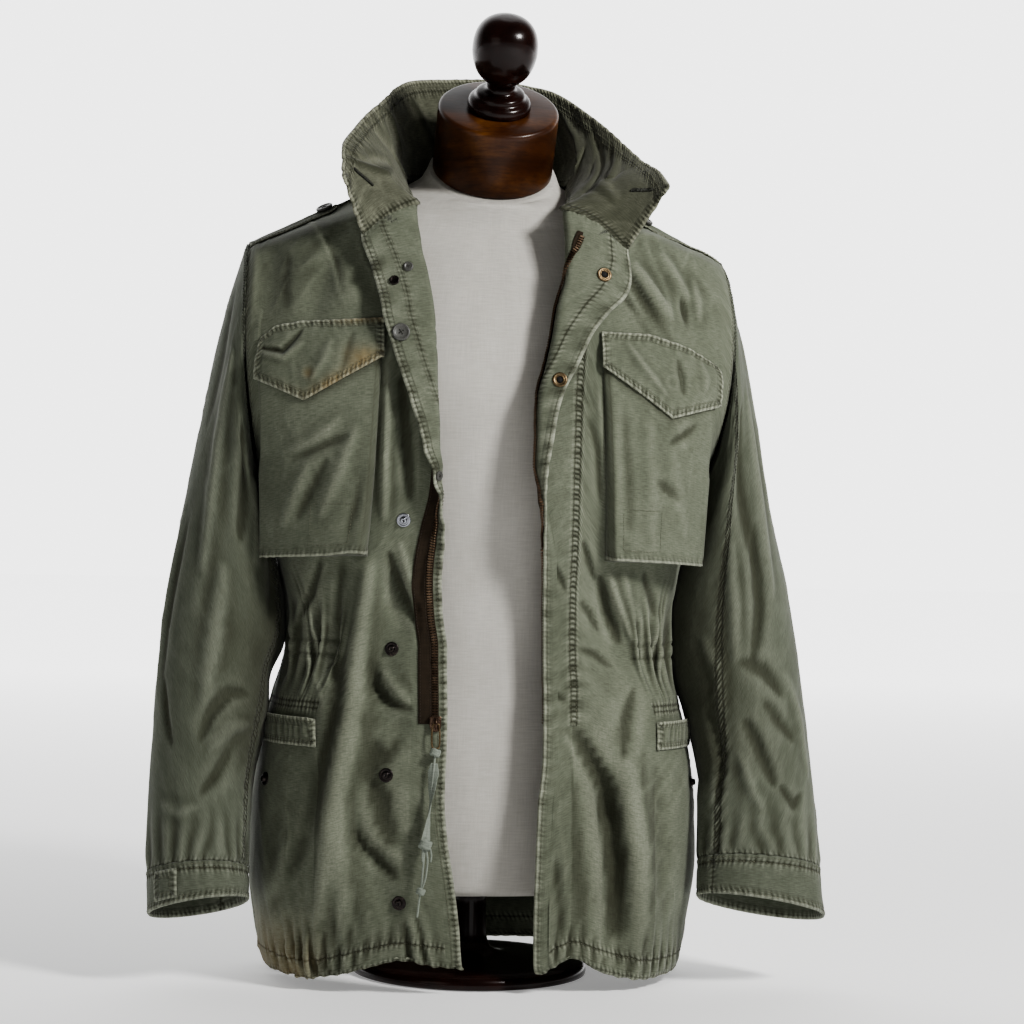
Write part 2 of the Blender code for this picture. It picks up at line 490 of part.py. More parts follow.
# ---- solids -------------------------------------------------------------------
class Sheet:
    """A grid of points that can be thickened and built upon."""

    def __init__(self, points, outward, cells=None, closed=False):
        """Keep the grid, choose its cells and work out its normals."""
        self.p = points
        self.closed = closed
        rows, cols = points.shape[:2]
        wrap = cols if closed else cols - 1
        self.cells = np.ones((rows - 1, wrap), bool) if cells is None else cells
        self.flip = False
        normal = self.normals()
        guide = outward - np.zeros_like(points)
        if np.sum(normal * guide) < 0:
            self.flip = True
            normal = -normal
        self.n = normal

    def corners(self, i, j):
        """Grid indices of one cell, anticlockwise in the grid."""
        k = (j + 1) % self.p.shape[1]
        return (i, j), (i, k), (i + 1, k), (i + 1, j)

    def triangles(self):
        """Two triangles for each cell in use."""
        for i in range(self.cells.shape[0]):
            for j in range(self.cells.shape[1]):
                if self.cells[i, j]:
                    a, b, c, d = self.corners(i, j)
                    yield (a, b, c)
                    yield (a, c, d)

    def normals(self):
        """Vertex normals weighted by the area of the cells in use."""
        total = np.zeros_like(self.p)
        for a, b, c in self.triangles():
            face = np.cross(self.p[b] - self.p[a], self.p[c] - self.p[a])
            for corner in (a, b, c):
                total[corner] += face
        return unit(total)

    def at(self, row, col, height):
        """Point above the facets at a fractional row and column."""
        i = int(min(max(math.floor(row), 0), self.p.shape[0] - 2))
        j = int(min(max(math.floor(col), 0), self.p.shape[1] - 2))
        u, v = col - j, row - i
        a, b, c, d = self.corners(i, j)
        if u >= v:
            weights = ((a, 1 - u), (b, u - v), (c, v))
        else:
            weights = ((a, 1 - v), (c, u), (d, v - u))
        p = sum(self.p[k] * w for k, w in weights)
        n = unit(sum(self.n[k] * w for k, w in weights))
        return p + n * height, n

    def find(self, first, second, axes=(0, 2), start=None):
        """Row and column where two coordinates take given values."""
        rows, cols = self.p.shape[:2]
        flat = self.p[:, :, list(axes)]
        ok = ~np.isnan(flat[..., 0])
        gap = np.where(ok, (flat[..., 0] - first) ** 2 + (flat[..., 1] - second) ** 2, 9.0)
        if start is not None:
            gap[:, :start] = 9.0
        row, col = (float(k) for k in np.unravel_index(np.argmin(gap), gap.shape))
        for _ in range(40):
            here = self.at(row, col, 0.0)[0]
            above = self.at(min(row + 0.05, rows - 1.0), col, 0.0)[0]
            below = self.at(max(row - 0.05, 0.0), col, 0.0)[0]
            after = self.at(row, min(col + 0.05, cols - 1.0), 0.0)[0]
            before = self.at(row, max(col - 0.05, 0.0), 0.0)[0]
            dr, dc = above - below, after - before
            m = np.array([[dr[axes[0]], dc[axes[0]]], [dr[axes[1]], dc[axes[1]]]]) / 0.1
            want = np.array([first - here[axes[0]], second - here[axes[1]]])
            step = np.linalg.lstsq(m, want, rcond=1e-6)[0]
            row = float(min(max(row + 0.6 * np.clip(step[0], -1, 1), 0), rows - 1))
            col = float(min(max(col + 0.6 * np.clip(step[1], -1, 1), 0), cols - 1))
        return row, col

    def solid(self, name, thick, material):
        """Closed object between this sheet and one inside it."""
        inner = self.p - self.n * thick
        return self.between(name, inner, material)

    def between(self, name, inner, material):
        """Closed object between this sheet and a matching inner sheet."""
        index = {}
        verts = []

        def vertex(layer, corner):
            key = (layer, corner)
            if key not in index:
                index[key] = len(verts)
                verts.append(tuple((self.p if layer == 0 else inner)[corner]))
            return index[key]

        faces = []
        edges = {}
        for a, b, c in self.triangles():
            tri = (a, c, b) if self.flip else (a, b, c)
            faces.append([vertex(0, k) for k in tri])
            faces.append([vertex(1, k) for k in reversed(tri)])
            for k in range(3):
                edge = (tri[k], tri[(k + 1) % 3])
                if (edge[1], edge[0]) in edges:
                    del edges[(edge[1], edge[0])]
                else:
                    edges[edge] = True
        for a, b in edges:
            faces.append([vertex(0, b), vertex(0, a), vertex(1, a), vertex(1, b)])
        return mesh_object(name, verts, faces, material)


def mesh_object(name, verts, faces, material, smooth=True):
    """Object from vertices and faces with one material."""
    mesh = bpy.data.meshes.new(name)
    mesh.from_pydata([tuple(float(k) for k in v) for v in verts], [], faces)
    mesh.update()
    mesh.materials.append(material)
    for poly in mesh.polygons:
        poly.use_smooth = smooth
    obj = bpy.data.objects.new(name, mesh)
    bpy.context.scene.collection.objects.link(obj)
    return obj


def loft(name, rings, material):
    """Closed solid through rings of points, capped at both ends."""
    around = len(rings[0])
    verts = [p for ring in rings for p in ring]
    faces = []
    for i in range(len(rings) - 1):
        for j in range(around):
            k = (j + 1) % around
            a, b = i * around + j, i * around + k
            faces.append([a, b, b + around, a + around])
    for ring, turn in ((0, -1), (len(rings) - 1, 1)):
        middle = np.mean(np.array(rings[ring]), axis=0)
        verts.append(tuple(middle))
        centre = len(verts) - 1
        for j in range(around):
            k = (j + 1) % around
            a, b = ring * around + j, ring * around + k
            faces.append([a, b, centre] if turn > 0 else [b, a, centre])
    return mesh_object(name, verts, faces, material)


def turned(name, profile, foot, axis, around, material):
    """Solid of revolution: profile of (radius, height) from the foot along axis."""
    axis = Vector(axis).normalized()
    side = axis.orthogonal().normalized()
    other = axis.cross(side)
    rings = []
    for radius, height in profile:
        ring = []
        for k in range(around):
            a = 2 * math.pi * k / around
            p = (Vector(foot) + axis * height
                 + side * (radius * math.cos(a)) + other * (radius * math.sin(a)))
            ring.append(tuple(p))
        rings.append(ring)
    return loft(name, rings, material)


def material(name, colour, roughness, metallic=0.0):
    """Principled material."""
    mat = bpy.data.materials.new(name)
    mat.use_nodes = True
    shader = mat.node_tree.nodes["Principled BSDF"]
    shader.inputs["Base Color"].default_value = (*colour, 1.0)
    shader.inputs["Roughness"].default_value = roughness
    shader.inputs["Metallic"].default_value = metallic
    mat.diffuse_color = (*colour, 1.0)
    return mat


# ---- cloth panels ---------------------------------------------------------------
def square_edge(normal, axis, least=0.4):
    """Normal with one component removed, unless little would be left."""
    n = normal.copy()
    n[axis] = 0.0
    length = np.linalg.norm(n)
    return n / length if length > least else normal


def front_sheet(sign):
    """Whole front of one side, lapel included, as one sheet."""
    rows, cols = np.meshgrid(np.arange(SHOULDER + 1.0), np.arange(SIDE + 1.0), indexing="ij")
    points, outward = front_surface(sign, rows, cols)
    cells = np.ones((SHOULDER, SIDE), bool)
    cells[LAPEL_TOP:, :STRIP] = False
    sheet = Sheet(points, outward, cells)
    for i in range(SHOULDER + 1):
        sheet.n[i, SIDE] = square_edge(sheet.n[i, SIDE], 0 if i > UNDERARM else 1)
    for j in range(STRIP, SIDE + 1):
        sheet.n[SHOULDER, j] = square_edge(sheet.n[SHOULDER, j], 1)
    return sheet


def part_of(sheet, first, last):
    """Columns first to last of a sheet, as a sheet with the same normals."""
    points = sheet.p[:, first:last + 1].copy()
    piece = Sheet(points, sheet.n[:, first:last + 1], sheet.cells[:, first:last])
    piece.n = sheet.n[:, first:last + 1].copy()
    return piece


def pull_in(piece, col, toward, gap):
    """Move one column of a sheet toward its neighbour by a gap."""
    step = piece.p[:, toward] - piece.p[:, col]
    piece.p[:, col] += unit(step) * gap


def back_sheet():
    """The whole back as one sheet."""
    rows, cols = np.meshgrid(np.arange(SHOULDER + 1.0), np.arange(BACK_COLS + 1.0), indexing="ij")
    points = back_surface(rows, cols)
    outward = points * np.array([1.0, 1.0, 0.0]) + np.array([0.0, 0.05, 0.02])
    sheet = Sheet(points, outward)
    for i in range(SHOULDER + 1):
        for j in (0, BACK_COLS):
            sheet.n[i, j] = square_edge(sheet.n[i, j], 0 if i > UNDERARM else 1)
    for j in range(BACK_COLS + 1):
        if abs(j - BACK_COLS / 2) > 2.5:
            sheet.n[SHOULDER, j] = square_edge(sheet.n[SHOULDER, j], 1)
    return sheet


def sleeve_turns():
    """Turns round a sleeve that meet the rows of the body at the armhole."""
    front = armhole_turn(ROW_SIDE_Z(np.arange(UNDERARM, SHOULDER + 1.0)))
    return np.concatenate([front, 2 * math.pi - front[-2:0:-1]])


def sleeve_sheet(sign):
    """One sleeve from the armhole to the cuff seam."""
    turns = sleeve_turns()
    rings, turn = np.meshgrid(np.arange(14.0), turns, indexing="ij")
    points = sleeve_surface(sign, rings, turn)
    points[0, :, 0] += sign * 2 * SEAM
    middle = points.mean(axis=1, keepdims=True)
    sheet = Sheet(points, points - middle, closed=True)
    for j in range(len(turns)):
        if sheet.n[0, j, 0] * sign > 0:
            sheet.n[0, j] = square_edge(sheet.n[0, j], 0, 0.1)
    return sheet


def cuff_sheet(sign):
    """One cuff band below the sleeve."""
    table = LEFT_SLEEVE if sign > 0 else RIGHT_SLEEVE
    end = LEFT_CUFF_END if sign > 0 else RIGHT_CUFF_END
    first = np.array(table[-1][1:], float)
    last = np.array(end, float)
    rings = []
    for share in (0.0, 0.5, 1.0):
        row = first * (1 - share) + last * share
        outer, inner = row[0:3].copy(), row[3:6].copy()
        drop = 0.0005 if share == 0 else 0.0
        outer[2] -= drop
        inner[2] -= drop
        rings.append(ring_points(
            outer[None, :], inner[None, :], np.array([row[6] + 0.0006]),
            np.radians(row[7:8]), sleeve_turns(), sign, 0.0))
    points = np.array(rings)
    return Sheet(points, points - points.mean(axis=1, keepdims=True), closed=True)


def collar_sheet(right, left, back):
    """Standing collar from the lapel corners round the neck."""
    base = [right.p[LAPEL_TOP, k] for k in range(STRIP + 1)]
    base += [right.p[k, STRIP] for k in range(LAPEL_TOP + 1, SHOULDER + 1)]
    base += [back.p[SHOULDER, k] for k in range(BACK_COLS // 2 - 2, BACK_COLS // 2 + 3)]
    base += [left.p[k, STRIP] for k in range(SHOULDER, LAPEL_TOP, -1)]
    base += [left.p[LAPEL_TOP, k] for k in range(STRIP, -1, -1)]
    base = np.array(base)
    run = np.concatenate([[0], np.cumsum(np.linalg.norm(np.diff(base, axis=0), axis=1))])
    share = run / run[-1]
    top = np.stack([curve(COLLAR_TOP, k)(share) for k in (1, 2, 3)], -1)
    up = unit(top - base)
    base = base + up * 0.0012
    centre = np.array([HEAD_X, -0.01, 0.0])
    away = unit((top + base) / 2 - centre - np.array([0, 0, 1]) * ((top + base) / 2)[:, 2:3])
    rows = []
    for v in np.linspace(0, 1, COLLAR_ROWS + 1):
        rows.append(base * (1 - v) + top * v)
    points = np.array(rows)
    outward = np.broadcast_to(away, points.shape)
    return Sheet(points, outward)


# ---- pieces that lie on a panel ------------------------------------------------
def overlay(sheet, rows, cols, height):
    """Sheet of points above another one; height is a function of row and column."""
    points = np.array([[sheet.at(r, c, height(r, c))[0] for c in cols_at(cols, r)] for r in rows])
    normal = np.array([[sheet.at(r, c, 0.0)[1] for c in cols_at(cols, r)] for r in rows])
    return Sheet(points, normal)


def cols_at(cols, row):
    """Columns of an overlay, which may depend on the row."""
    return cols(row) if callable(cols) else cols


POCKET_FOOT, POCKET_MOUTH = 13.0, 20.0
POCKET_ROWS = (13.0, 13.12, 14.0, 15.0, 16.0, 17.0, 18.0, 19.0, 20.0)
POCKET_COLS = (9.0, 9.2, 10.0, 11.0, 12.0, 13.0, 14.0, 14.75, 15.0)


def pocket_height(row, col):
    """Height of a chest pocket's outer face above the front."""
    if row <= POCKET_FOOT or col <= 9.0 or col >= 15.0:
        return PATCH + LIFT
    v = min(max((row - POCKET_FOOT) / (POCKET_MOUTH - POCKET_FOOT), 0.0), 1.0)
    u = min(max((col - 9.0) / 6.0, 0.0), 1.0)
    return 0.0048 + 0.011 * (1 - v) + 0.013 * u * (1 - v) ** 2 + 0.002 * u


def chest_pocket(sheet):
    """Bellows pocket whose mouth stays open under the flap."""
    return overlay(sheet, POCKET_ROWS, POCKET_COLS, pocket_height)


def chest_flap(sheet, upper, outline):
    """Pointed flap over the pocket's mouth.

    upper gives the top edge as rows above row 21 along the flap, outline the
    x and z of its lower edge.
    """
    cols = (8.85, 9.2, 10.0, 11.0, 12.0, 13.0, 14.0, 14.75, 15.12)
    points = []
    normal = []
    for c in cols:
        start = 21.0 + float(np.interp(c, [k[0] for k in upper], [k[1] for k in upper]))
        x = abs(sheet.at(19.5, c, 0.0)[0][0])
        z = float(np.interp(x, [k[0] for k in outline], [k[1] for k in outline]))
        low = POCKET_MOUTH
        while sheet.at(low, c, 0.0)[0][2] > z:
            low -= 0.01
        edge = POCKET_MOUTH + 0.1
        line = []
        out = []
        for k, r in enumerate((start, edge, edge * 2 / 3 + low / 3, edge / 3 + low * 2 / 3, low)):
            inside = pocket_height(min(max(r, 13.5), POCKET_MOUTH), min(max(c, 9.05), 14.95))
            h = PATCH + LIFT if k == 0 else inside + PATCH + 0.0016
            p, n = sheet.at(r, c, h)
            line.append(p)
            out.append(n)
        points.append(line)
        normal.append(out)
    return Sheet(np.array(points), np.array(normal))


def pocket_band(sheet):
    """Hemmed mouth of a lower pocket, its top edge standing off the front."""
    rows = (5.85, 6.15, 6.6, 7.0)
    heights = (PATCH + LIFT, 0.0040, 0.0062, 0.0072)
    cols = (9.0, 10.0, 11.0, 12.0, 13.0, 14.0, 15.0, 16.0, 17.0, 17.9)

    def height(row, col):
        base = float(np.interp(row, rows, heights))
        return PATCH + LIFT + (base - PATCH - LIFT) * min(1.0, (col - 8.99) / 0.8)

    return overlay(sheet, rows, cols, height)


def distance_column(sheet, row, distance):
    """Column of a front at a distance along the row from its free edge."""
    line = sheet.p[row]
    run = np.concatenate([[0], np.cumsum(np.linalg.norm(np.diff(line, axis=0), axis=1))])
    return float(np.interp(distance, run, np.arange(len(run))))


def outer_tape(sheet):
    """Zip tape on the outer face of the wearer's right front."""
    points = []
    normal = []
    for row in range(7, LAPEL_TOP):
        cols = [distance_column(sheet, row, d) for d in (0.0075, 0.0137, 0.0198, 0.0260)]
        got = [sheet.at(row, c, LIFT + TAPE) for c in cols]
        points.append([p for p, n in got])
        normal.append([n for p, n in got])
    return Sheet(np.array(points), np.array(normal))


# Inner zip tape: row, its three columns on the front, overhang past the free edge, lift
INNER_TAPE = (
    (7, 0, 0, 2, 0.006, 0.0008), (13, 0, 0, 2, 0.006, 0.0008), (14, 0, 1, 2, 0.002, 0.0018),
    (15, 1, 2, 3, 0.000, 0.0020), (16, 2, 3, 4, 0.000, 0.0009), (20, 2, 3, 4, 0.000, 0.0009),
    (21, 1.66, 2, 3, 0.000, 0.0020), (22, 1.50, 1.75, 2, 0.000, 0.0018),
    (23, 1.43, 1.65, 1.87, 0.000, 0.0009),
)


def inner_tape(sheet):
    """Zip tape on the inner face of the wearer's left front."""
    marks = [k[0] for k in INNER_TAPE]
    upper, lower, normal = [], [], []
    for row in range(INNER_TAPE[0][0], LAPEL_TOP):
        here = [float(np.interp(row, marks, [k[j] for k in INNER_TAPE])) for j in range(6)]
        past, lift = here[4:]
        beyond = unit(sheet.p[row, 0] - sheet.p[row, 1]) * past
        out = [-sheet.at(row, c, 0.0)[1] for c in here[1:4]]
        for shell, depth in ((upper, CLOTH + lift + TAPE), (lower, CLOTH + lift)):
            line = [sheet.at(row, c, -depth)[0] for c in here[1:4]]
            line[0] = line[0] + beyond
            shell.append(line)
        normal.append(out)
    return Sheet(np.array(upper), np.array(normal)), np.array(lower)


def shoulder_height(front, back, x, y):
    """Height of the shoulder's cloth at x, y."""
    best = -1.0
    for sheet, span in ((front, (STRIP, SIDE)), (back, (0, BACK_COLS))):
        for i in range(SHOULDER - 7, SHOULDER):
            for j in range(span[0], span[1]):
                a, b, c, d = sheet.corners(i, j)
                for tri in ((a, b, c), (a, c, d)):
                    z = height_in(sheet.p[tri[0]], sheet.p[tri[1]], sheet.p[tri[2]], x, y)
                    if z is not None:
                        best = max(best, z)
    return best


def height_in(a, b, c, x, y):
    """Height of a triangle above x, y, or None outside it."""
    det = (b[0] - a[0]) * (c[1] - a[1]) - (c[0] - a[0]) * (b[1] - a[1])
    if abs(det) < 1e-12:
        return None
    u = ((x - a[0]) * (c[1] - a[1]) - (c[0] - a[0]) * (y - a[1])) / det
    v = ((b[0] - a[0]) * (y - a[1]) - (x - a[0]) * (b[1] - a[1])) / det
    if u < -1e-3 or v < -1e-3 or u + v > 1.001:
        return None
    return a[2] + u * (b[2] - a[2]) + v * (c[2] - a[2])


def epaulette(front, back, sign):
    """Strap along the shoulder seam with its free end toward the neck."""
    rows = []
    for k, x in enumerate((0.2345, 0.222, 0.206, 0.190, 0.174, 0.160, 0.150)):
        half = (0.026, 0.026, 0.025, 0.024, 0.023, 0.021, 0.012)[k]
        line = []
        for y in (-half, -half * 0.5, float(seam_y(x)), half * 0.45, half):
            z = shoulder_height(front, back, sign * x, y)
            line.append((sign * x, y, z + PATCH + 0.0014))
        rows.append(line)
    points = np.array(rows)
    return Sheet(points, np.broadcast_to(np.array([0.0, 0.0, 1.0]), points.shape))


# ---- small hardware --------------------------------------------------------------
STUD = ((0.0064, 0.0), (0.0058, 0.0015), (0.0034, 0.0017), (0.0032, 0.0036), (0.0020, 0.0042))
SOCKET = ((0.0066, 0.0), (0.0070, 0.0009), (0.0060, 0.0020), (0.0042, 0.0021), (0.0038, 0.0011))
BUTTON = ((0.0080, 0.0), (0.0085, 0.0012), (0.0082, 0.0026), (0.0070, 0.0032), (0.0062, 0.0024))
SMALL_BUTTON = ((0.0044, 0.0), (0.0048, 0.0010), (0.0044, 0.0020), (0.0030, 0.0022))


def place(name, profile, sheet, row, col, height, inside, mat):
    """Turned piece standing on a sheet's outer or inner face."""
    p, n = sheet.at(row, col, height)
    axis = -n if inside else n
    return turned(name, profile, tuple(p), tuple(axis), 10, mat)


def facing_spot(sheet, x, z):
    """Row and column on a turned lapel where its facing shows x and z."""
    best = (1e9, 0.0, 0.0)
    for r in np.arange(13.0, LAPEL_TOP, 0.05):
        for c in np.arange(0.15, 2.0, 0.1):
            p = sheet.at(r, c, -CLOTH)[0]
            miss = (p[0] - x) ** 2 + (p[2] - z) ** 2
            if miss < best[0]:
                best = (miss, float(r), float(c))
    return best[1], best[2]


def box(name, centre, size, mat):
    """Plain box, edges bevelled."""
    x, y, z = (k / 2 for k in size)
    verts = [(centre[0] + i * x, centre[1] + j * y, centre[2] + k * z)
             for i in (-1, 1) for j in (-1, 1) for k in (-1, 1)]
    faces = [(0, 1, 3, 2), (4, 6, 7, 5), (0, 4, 5, 1), (2, 3, 7, 6), (0, 2, 6, 4), (1, 5, 7, 3)]
    obj = mesh_object(name, verts, faces, mat, smooth=False)
    bevel = obj.modifiers.new("bevel", "BEVEL")
    bevel.width = 0.0009
    bevel.segments = 1
    return obj


def tube(name, points, radii, closed, mat):
    """Round tube along points, with a radius for each."""
    data = bpy.data.curves.new(name, "CURVE")
    data.dimensions = "3D"
    data.bevel_depth = 1.0
    data.bevel_resolution = 2
    data.use_fill_caps = True
    spline = data.splines.new("POLY")
    spline.points.add(len(points) - 1)
    for point, xyz, radius in zip(spline.points, points, radii):
        point.co = (*xyz, 1.0)
        point.radius = radius
    spline.use_cyclic_u = closed
    data.materials.append(mat)
    obj = bpy.data.objects.new(name, data)
    bpy.context.scene.collection.objects.link(obj)
    return obj


# ---- the dress form ----------------------------------------------------------------
def torso_rings():
    """Rings of the linen torso and neck."""
    rings = []
    for z, y0, tilt, half, front, back, power in TORSO:
        a = math.radians(tilt)
        lean = HEAD_X * float(ease(z, 0.77, 0.80))
        ring = []
        for k in range(TORSO_AROUND):
            t = 2 * math.pi * k / TORSO_AROUND
            c, s = math.cos(t), math.sin(t)
            x = half * math.copysign(abs(c) ** (2 / power), c)
            y = (back if s > 0 else front) * math.copysign(abs(s) ** (2 / power), s)
            ring.append((lean + x, y0 + y * math.cos(a), z + y * math.sin(a)))
        rings.append(ring)
    return rings


STAND = ((0.0900, 0.0), (STAND_R, 0.0), (0.1170, 0.0040), (0.1155, 0.0100), (0.1080, 0.0140),
         (0.0500, 0.0170), (0.0240, 0.0220), (0.0170, 0.0340), (0.0160, 0.0700), (0.0200, 0.0872))
BLOCK = ((0.0585, 0.0), (BLOCK_R, 0.0015), (BLOCK_R, BLOCK_H - 0.003), (0.0575, BLOCK_H))
FINIAL = ((0.0310, 0.0), (0.0315, 0.0050), (0.0290, 0.0110), (0.0250, 0.0130), (0.0235, 0.0170),
          (0.0150, 0.0200), (0.0140, 0.0260), (0.0205, 0.0330), (0.0275, 0.0430),
          (0.0315, 0.0560), (0.0320, 0.0680), (0.0290, 0.0810), (0.0215, 0.0910), (0.0110, 0.0965))


def build():
    """Build every named piece."""
    for obj in list(bpy.data.objects):
        bpy.data.objects.remove(obj, do_unlink=True)
    cloth = material("olive_cloth", (0.115, 0.125, 0.080), 0.92)
    linen = material("form_linen", (0.48, 0.46, 0.42), 0.95)
    wood = material("block_wood", (0.10, 0.040, 0.018), 0.35)
    dark_wood = material("finial_wood", (0.022, 0.007, 0.004), 0.18)
    tape = material("zip_tape", (0.045, 0.030, 0.018), 0.85)
    brass = material("aged_brass", (0.30, 0.19, 0.10), 0.38, 1.0)
    snap = material("dark_snap", (0.060, 0.055, 0.055), 0.35, 1.0)
    horn = material("button_plastic", (0.040, 0.038, 0.032), 0.40)
    cord = material("pull_cord", (0.30, 0.33, 0.30), 0.95)

    # form
    loft("form_torso", torso_rings(), linen)
    turned("form_stand", STAND, (0, 0, 0), (0, 0, 1), 24, dark_wood)
    axis = (0.0, -math.sin(BLOCK_TILT), math.cos(BLOCK_TILT))
    turned("neck_block", BLOCK, BLOCK_FOOT, axis, 32, wood)
    top = tuple(BLOCK_FOOT[k] + axis[k] * (BLOCK_H + 0.0003) for k in range(3))
    turned("finial", FINIAL, top, axis, 16, dark_wood)

    # body panels
    right = front_sheet(-1)
    left = front_sheet(1)
    back = back_sheet()
    right.solid("front_right", CLOTH, cloth)
    part_of(left, SPLIT, SIDE).solid("front_left", CLOTH, cloth)
    flap = part_of(left, 0, SPLIT)
    pull_in(flap, SPLIT, SPLIT - 1, SEAM)
    flap.solid("storm_flap", CLOTH, cloth)
    back.solid("back", CLOTH, cloth)
    collar_sheet(right, left, back).solid("collar", COLLAR_WALL, cloth)

    # sleeves and cuffs
    for sign, word in ((-1, "right"), (1, "left")):
        sleeve_sheet(sign).solid(f"sleeve_{word}", CLOTH, cloth)
        cuff = cuff_sheet(sign)
        cuff.solid(f"cuff_{word}", 0.0024, cloth)
        cols = (6.2, 7.0, 8.0) if sign < 0 else (11.6, 12.0, 13.0)
        tab = overlay(cuff, (0.25, 1.0, 1.75), cols, lambda r, c: PATCH + LIFT)
        tab.solid(f"cuff_tab_{word}", PATCH, cloth)

    # pockets, flaps, shoulder straps
    outlines = {
        -1: ((0.112, 0.602), (0.181, 0.561), (0.229, 0.584)),
        1: ((0.099, 0.599), (0.167, 0.553), (0.225, 0.570)),
    }
    uppers = {
        -1: ((8.85, 0.05), (10.0, 0.10), (12.6, 0.24), (14.0, 0.22), (15.12, -0.10)),
        1: ((8.85, -0.20), (11.0, 0.00), (13.0, -0.17), (15.12, -0.60)),
    }
    for sheet, sign, word in ((right, -1, "right"), (left, 1, "left")):
        chest_pocket(sheet).solid(f"chest_pocket_{word}", PATCH, cloth)
        flap = chest_flap(sheet, uppers[sign], outlines[sign])
        flap.solid(f"chest_flap_{word}", PATCH, cloth)
        pocket_band(sheet).solid(f"lower_pocket_band_{word}", PATCH, cloth)
        strap = epaulette(sheet, back, sign)
        strap.solid(f"epaulette_{word}", PATCH, cloth)
        p, n = strap.at(4.9, 2.0, 0.0003)
        turned(f"epaulette_button_{word}", BUTTON, tuple(p), tuple(n), 12, horn)

    # zip
    outer_tape(right).solid("zip_tape_right", TAPE, tape)
    sheet, inner = inner_tape(left)
    sheet.between("zip_tape_left", inner, tape)
    foot, n = right.at(7.0, distance_column(right, 7, 0.0105), LIFT + TAPE + 0.0003)
    zip_parts(foot, brass, cord)

    # studs, sockets and buttons
    for k, (x, z) in enumerate(((0.088, 0.449), (0.0955, 0.326), (0.0995, 0.208), (0.086, 0.088))):
        r, c = right.find(-x, z, start=STRIP)
        place(f"front_stud_{k + 1}", STUD, right, r, c, 0.0009, False, snap)
    for word, sheet, sign in (("right", right, -1), ("left", left, 1)):
        r, c = sheet.find(sign * 0.2085, 0.196, start=STRIP)
        place(f"pocket_stud_{word}", STUD, sheet, r, c, 0.0010, False, snap)
    for name, profile, x, z, mat in (
        ("liner_button_upper", BUTTON, -0.0950, 0.6265, horn),
        ("neck_button", SMALL_BUTTON, -0.0880, 0.6890, horn),
        ("neck_eyelet", SMALL_BUTTON, -0.1010, 0.6760, snap),
        ("liner_button_lower", SMALL_BUTTON, -0.0580, 0.4920, horn),
    ):
        r, c = facing_spot(right, x, z)
        place(name, profile, right, r, c, -(CLOTH + 0.0008), True, mat)
    for name, x, z in (("flap_socket_upper", 0.1020, 0.6880), ("flap_socket_lower", 0.0560, 0.5855)):
        r, c = facing_spot(left, x, z)
        place(name, SOCKET, left, r, c, -(CLOTH + 0.0008), True, brass)


def zip_parts(foot, brass, cord):
    """Slider on the tape, its wire pull and the cord tied to the pull."""
    x, y, z = foot
    body = box("zip_slider", (x, y - 0.0020, z), (0.0085, 0.0036, 0.0130), brass)
    arch = [(x, y - 0.0024, z + 0.0045), (x, y - 0.0068, z + 0.0035), (x, y - 0.0082, z),
            (x, y - 0.0068, z - 0.0035), (x, y - 0.0024, z - 0.0045)]
    bridge = tube("bridge", arch, [0.0009] * len(arch), False, brass)
    union = body.modifiers.new("bridge", "BOOLEAN")
    union.operation = "UNION"
    union.solver = "EXACT"
    mesh = bpy.data.meshes.new_from_object(bridge)
    cutter = bpy.data.objects.new("bridge_mesh", mesh)
    bpy.context.scene.collection.objects.link(cutter)
    bpy.data.objects.remove(bridge, do_unlink=True)
    union.object = cutter
    cutter.hide_render = True
    cutter.display_type = "WIRE"
    py = y - 0.0061
    loop = [(x - 0.0026, py, z), (x + 0.0026, py, z), (x + 0.0036, py - 0.0008, z - 0.006),
            (x + 0.0036, py - 0.0024, z - 0.019), (x + 0.0020, py - 0.0028, z - 0.0225),
            (x - 0.0020, py - 0.0028, z - 0.0225), (x - 0.0036, py - 0.0024, z - 0.019),
            (x - 0.0036, py - 0.0008, z - 0.006)]
    tube("zip_pull", loop, [0.0008] * len(loop), True, brass)
    route = [(x + a, y + b, z + c) for a, b, c, _ in PULL_CORD]
    tube("pull_cord", route, [row[3] for row in PULL_CORD], False, cord)


build()
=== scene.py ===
"""Faded olive field jacket worn open on a limbless dress form, fully dressed.

Every cloth piece is a thin shell on a fine version of the surface that its
solid follows, with creases, seam puckers, worn edges and real stitches.  Axes
as in the frame: x to the wearer's left, the front faces -y, z up, metres.
"""

import logging
import math
from collections.abc import Callable
from dataclasses import dataclass, field
from enum import Enum

import bpy
import numpy as np
from mathutils import Matrix, Vector
from mathutils.bvhtree import BVHTree


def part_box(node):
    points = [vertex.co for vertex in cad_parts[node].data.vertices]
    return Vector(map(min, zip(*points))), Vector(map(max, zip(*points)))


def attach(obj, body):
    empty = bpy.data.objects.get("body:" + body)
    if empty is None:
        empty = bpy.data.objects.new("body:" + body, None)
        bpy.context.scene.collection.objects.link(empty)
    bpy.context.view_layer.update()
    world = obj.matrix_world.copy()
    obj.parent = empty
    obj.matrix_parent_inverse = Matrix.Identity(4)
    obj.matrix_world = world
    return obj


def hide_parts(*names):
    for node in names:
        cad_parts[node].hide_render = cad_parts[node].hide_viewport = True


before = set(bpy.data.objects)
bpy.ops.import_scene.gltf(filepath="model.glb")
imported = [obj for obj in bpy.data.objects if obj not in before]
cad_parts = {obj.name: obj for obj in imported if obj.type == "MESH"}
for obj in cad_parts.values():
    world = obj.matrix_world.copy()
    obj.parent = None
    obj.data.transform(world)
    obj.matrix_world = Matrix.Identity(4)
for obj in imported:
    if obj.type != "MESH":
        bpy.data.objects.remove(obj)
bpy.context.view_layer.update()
LOG = logging.getLogger("field_jacket")
Array = np.ndarray
Piece = bpy.types.Object
Material = bpy.types.Material
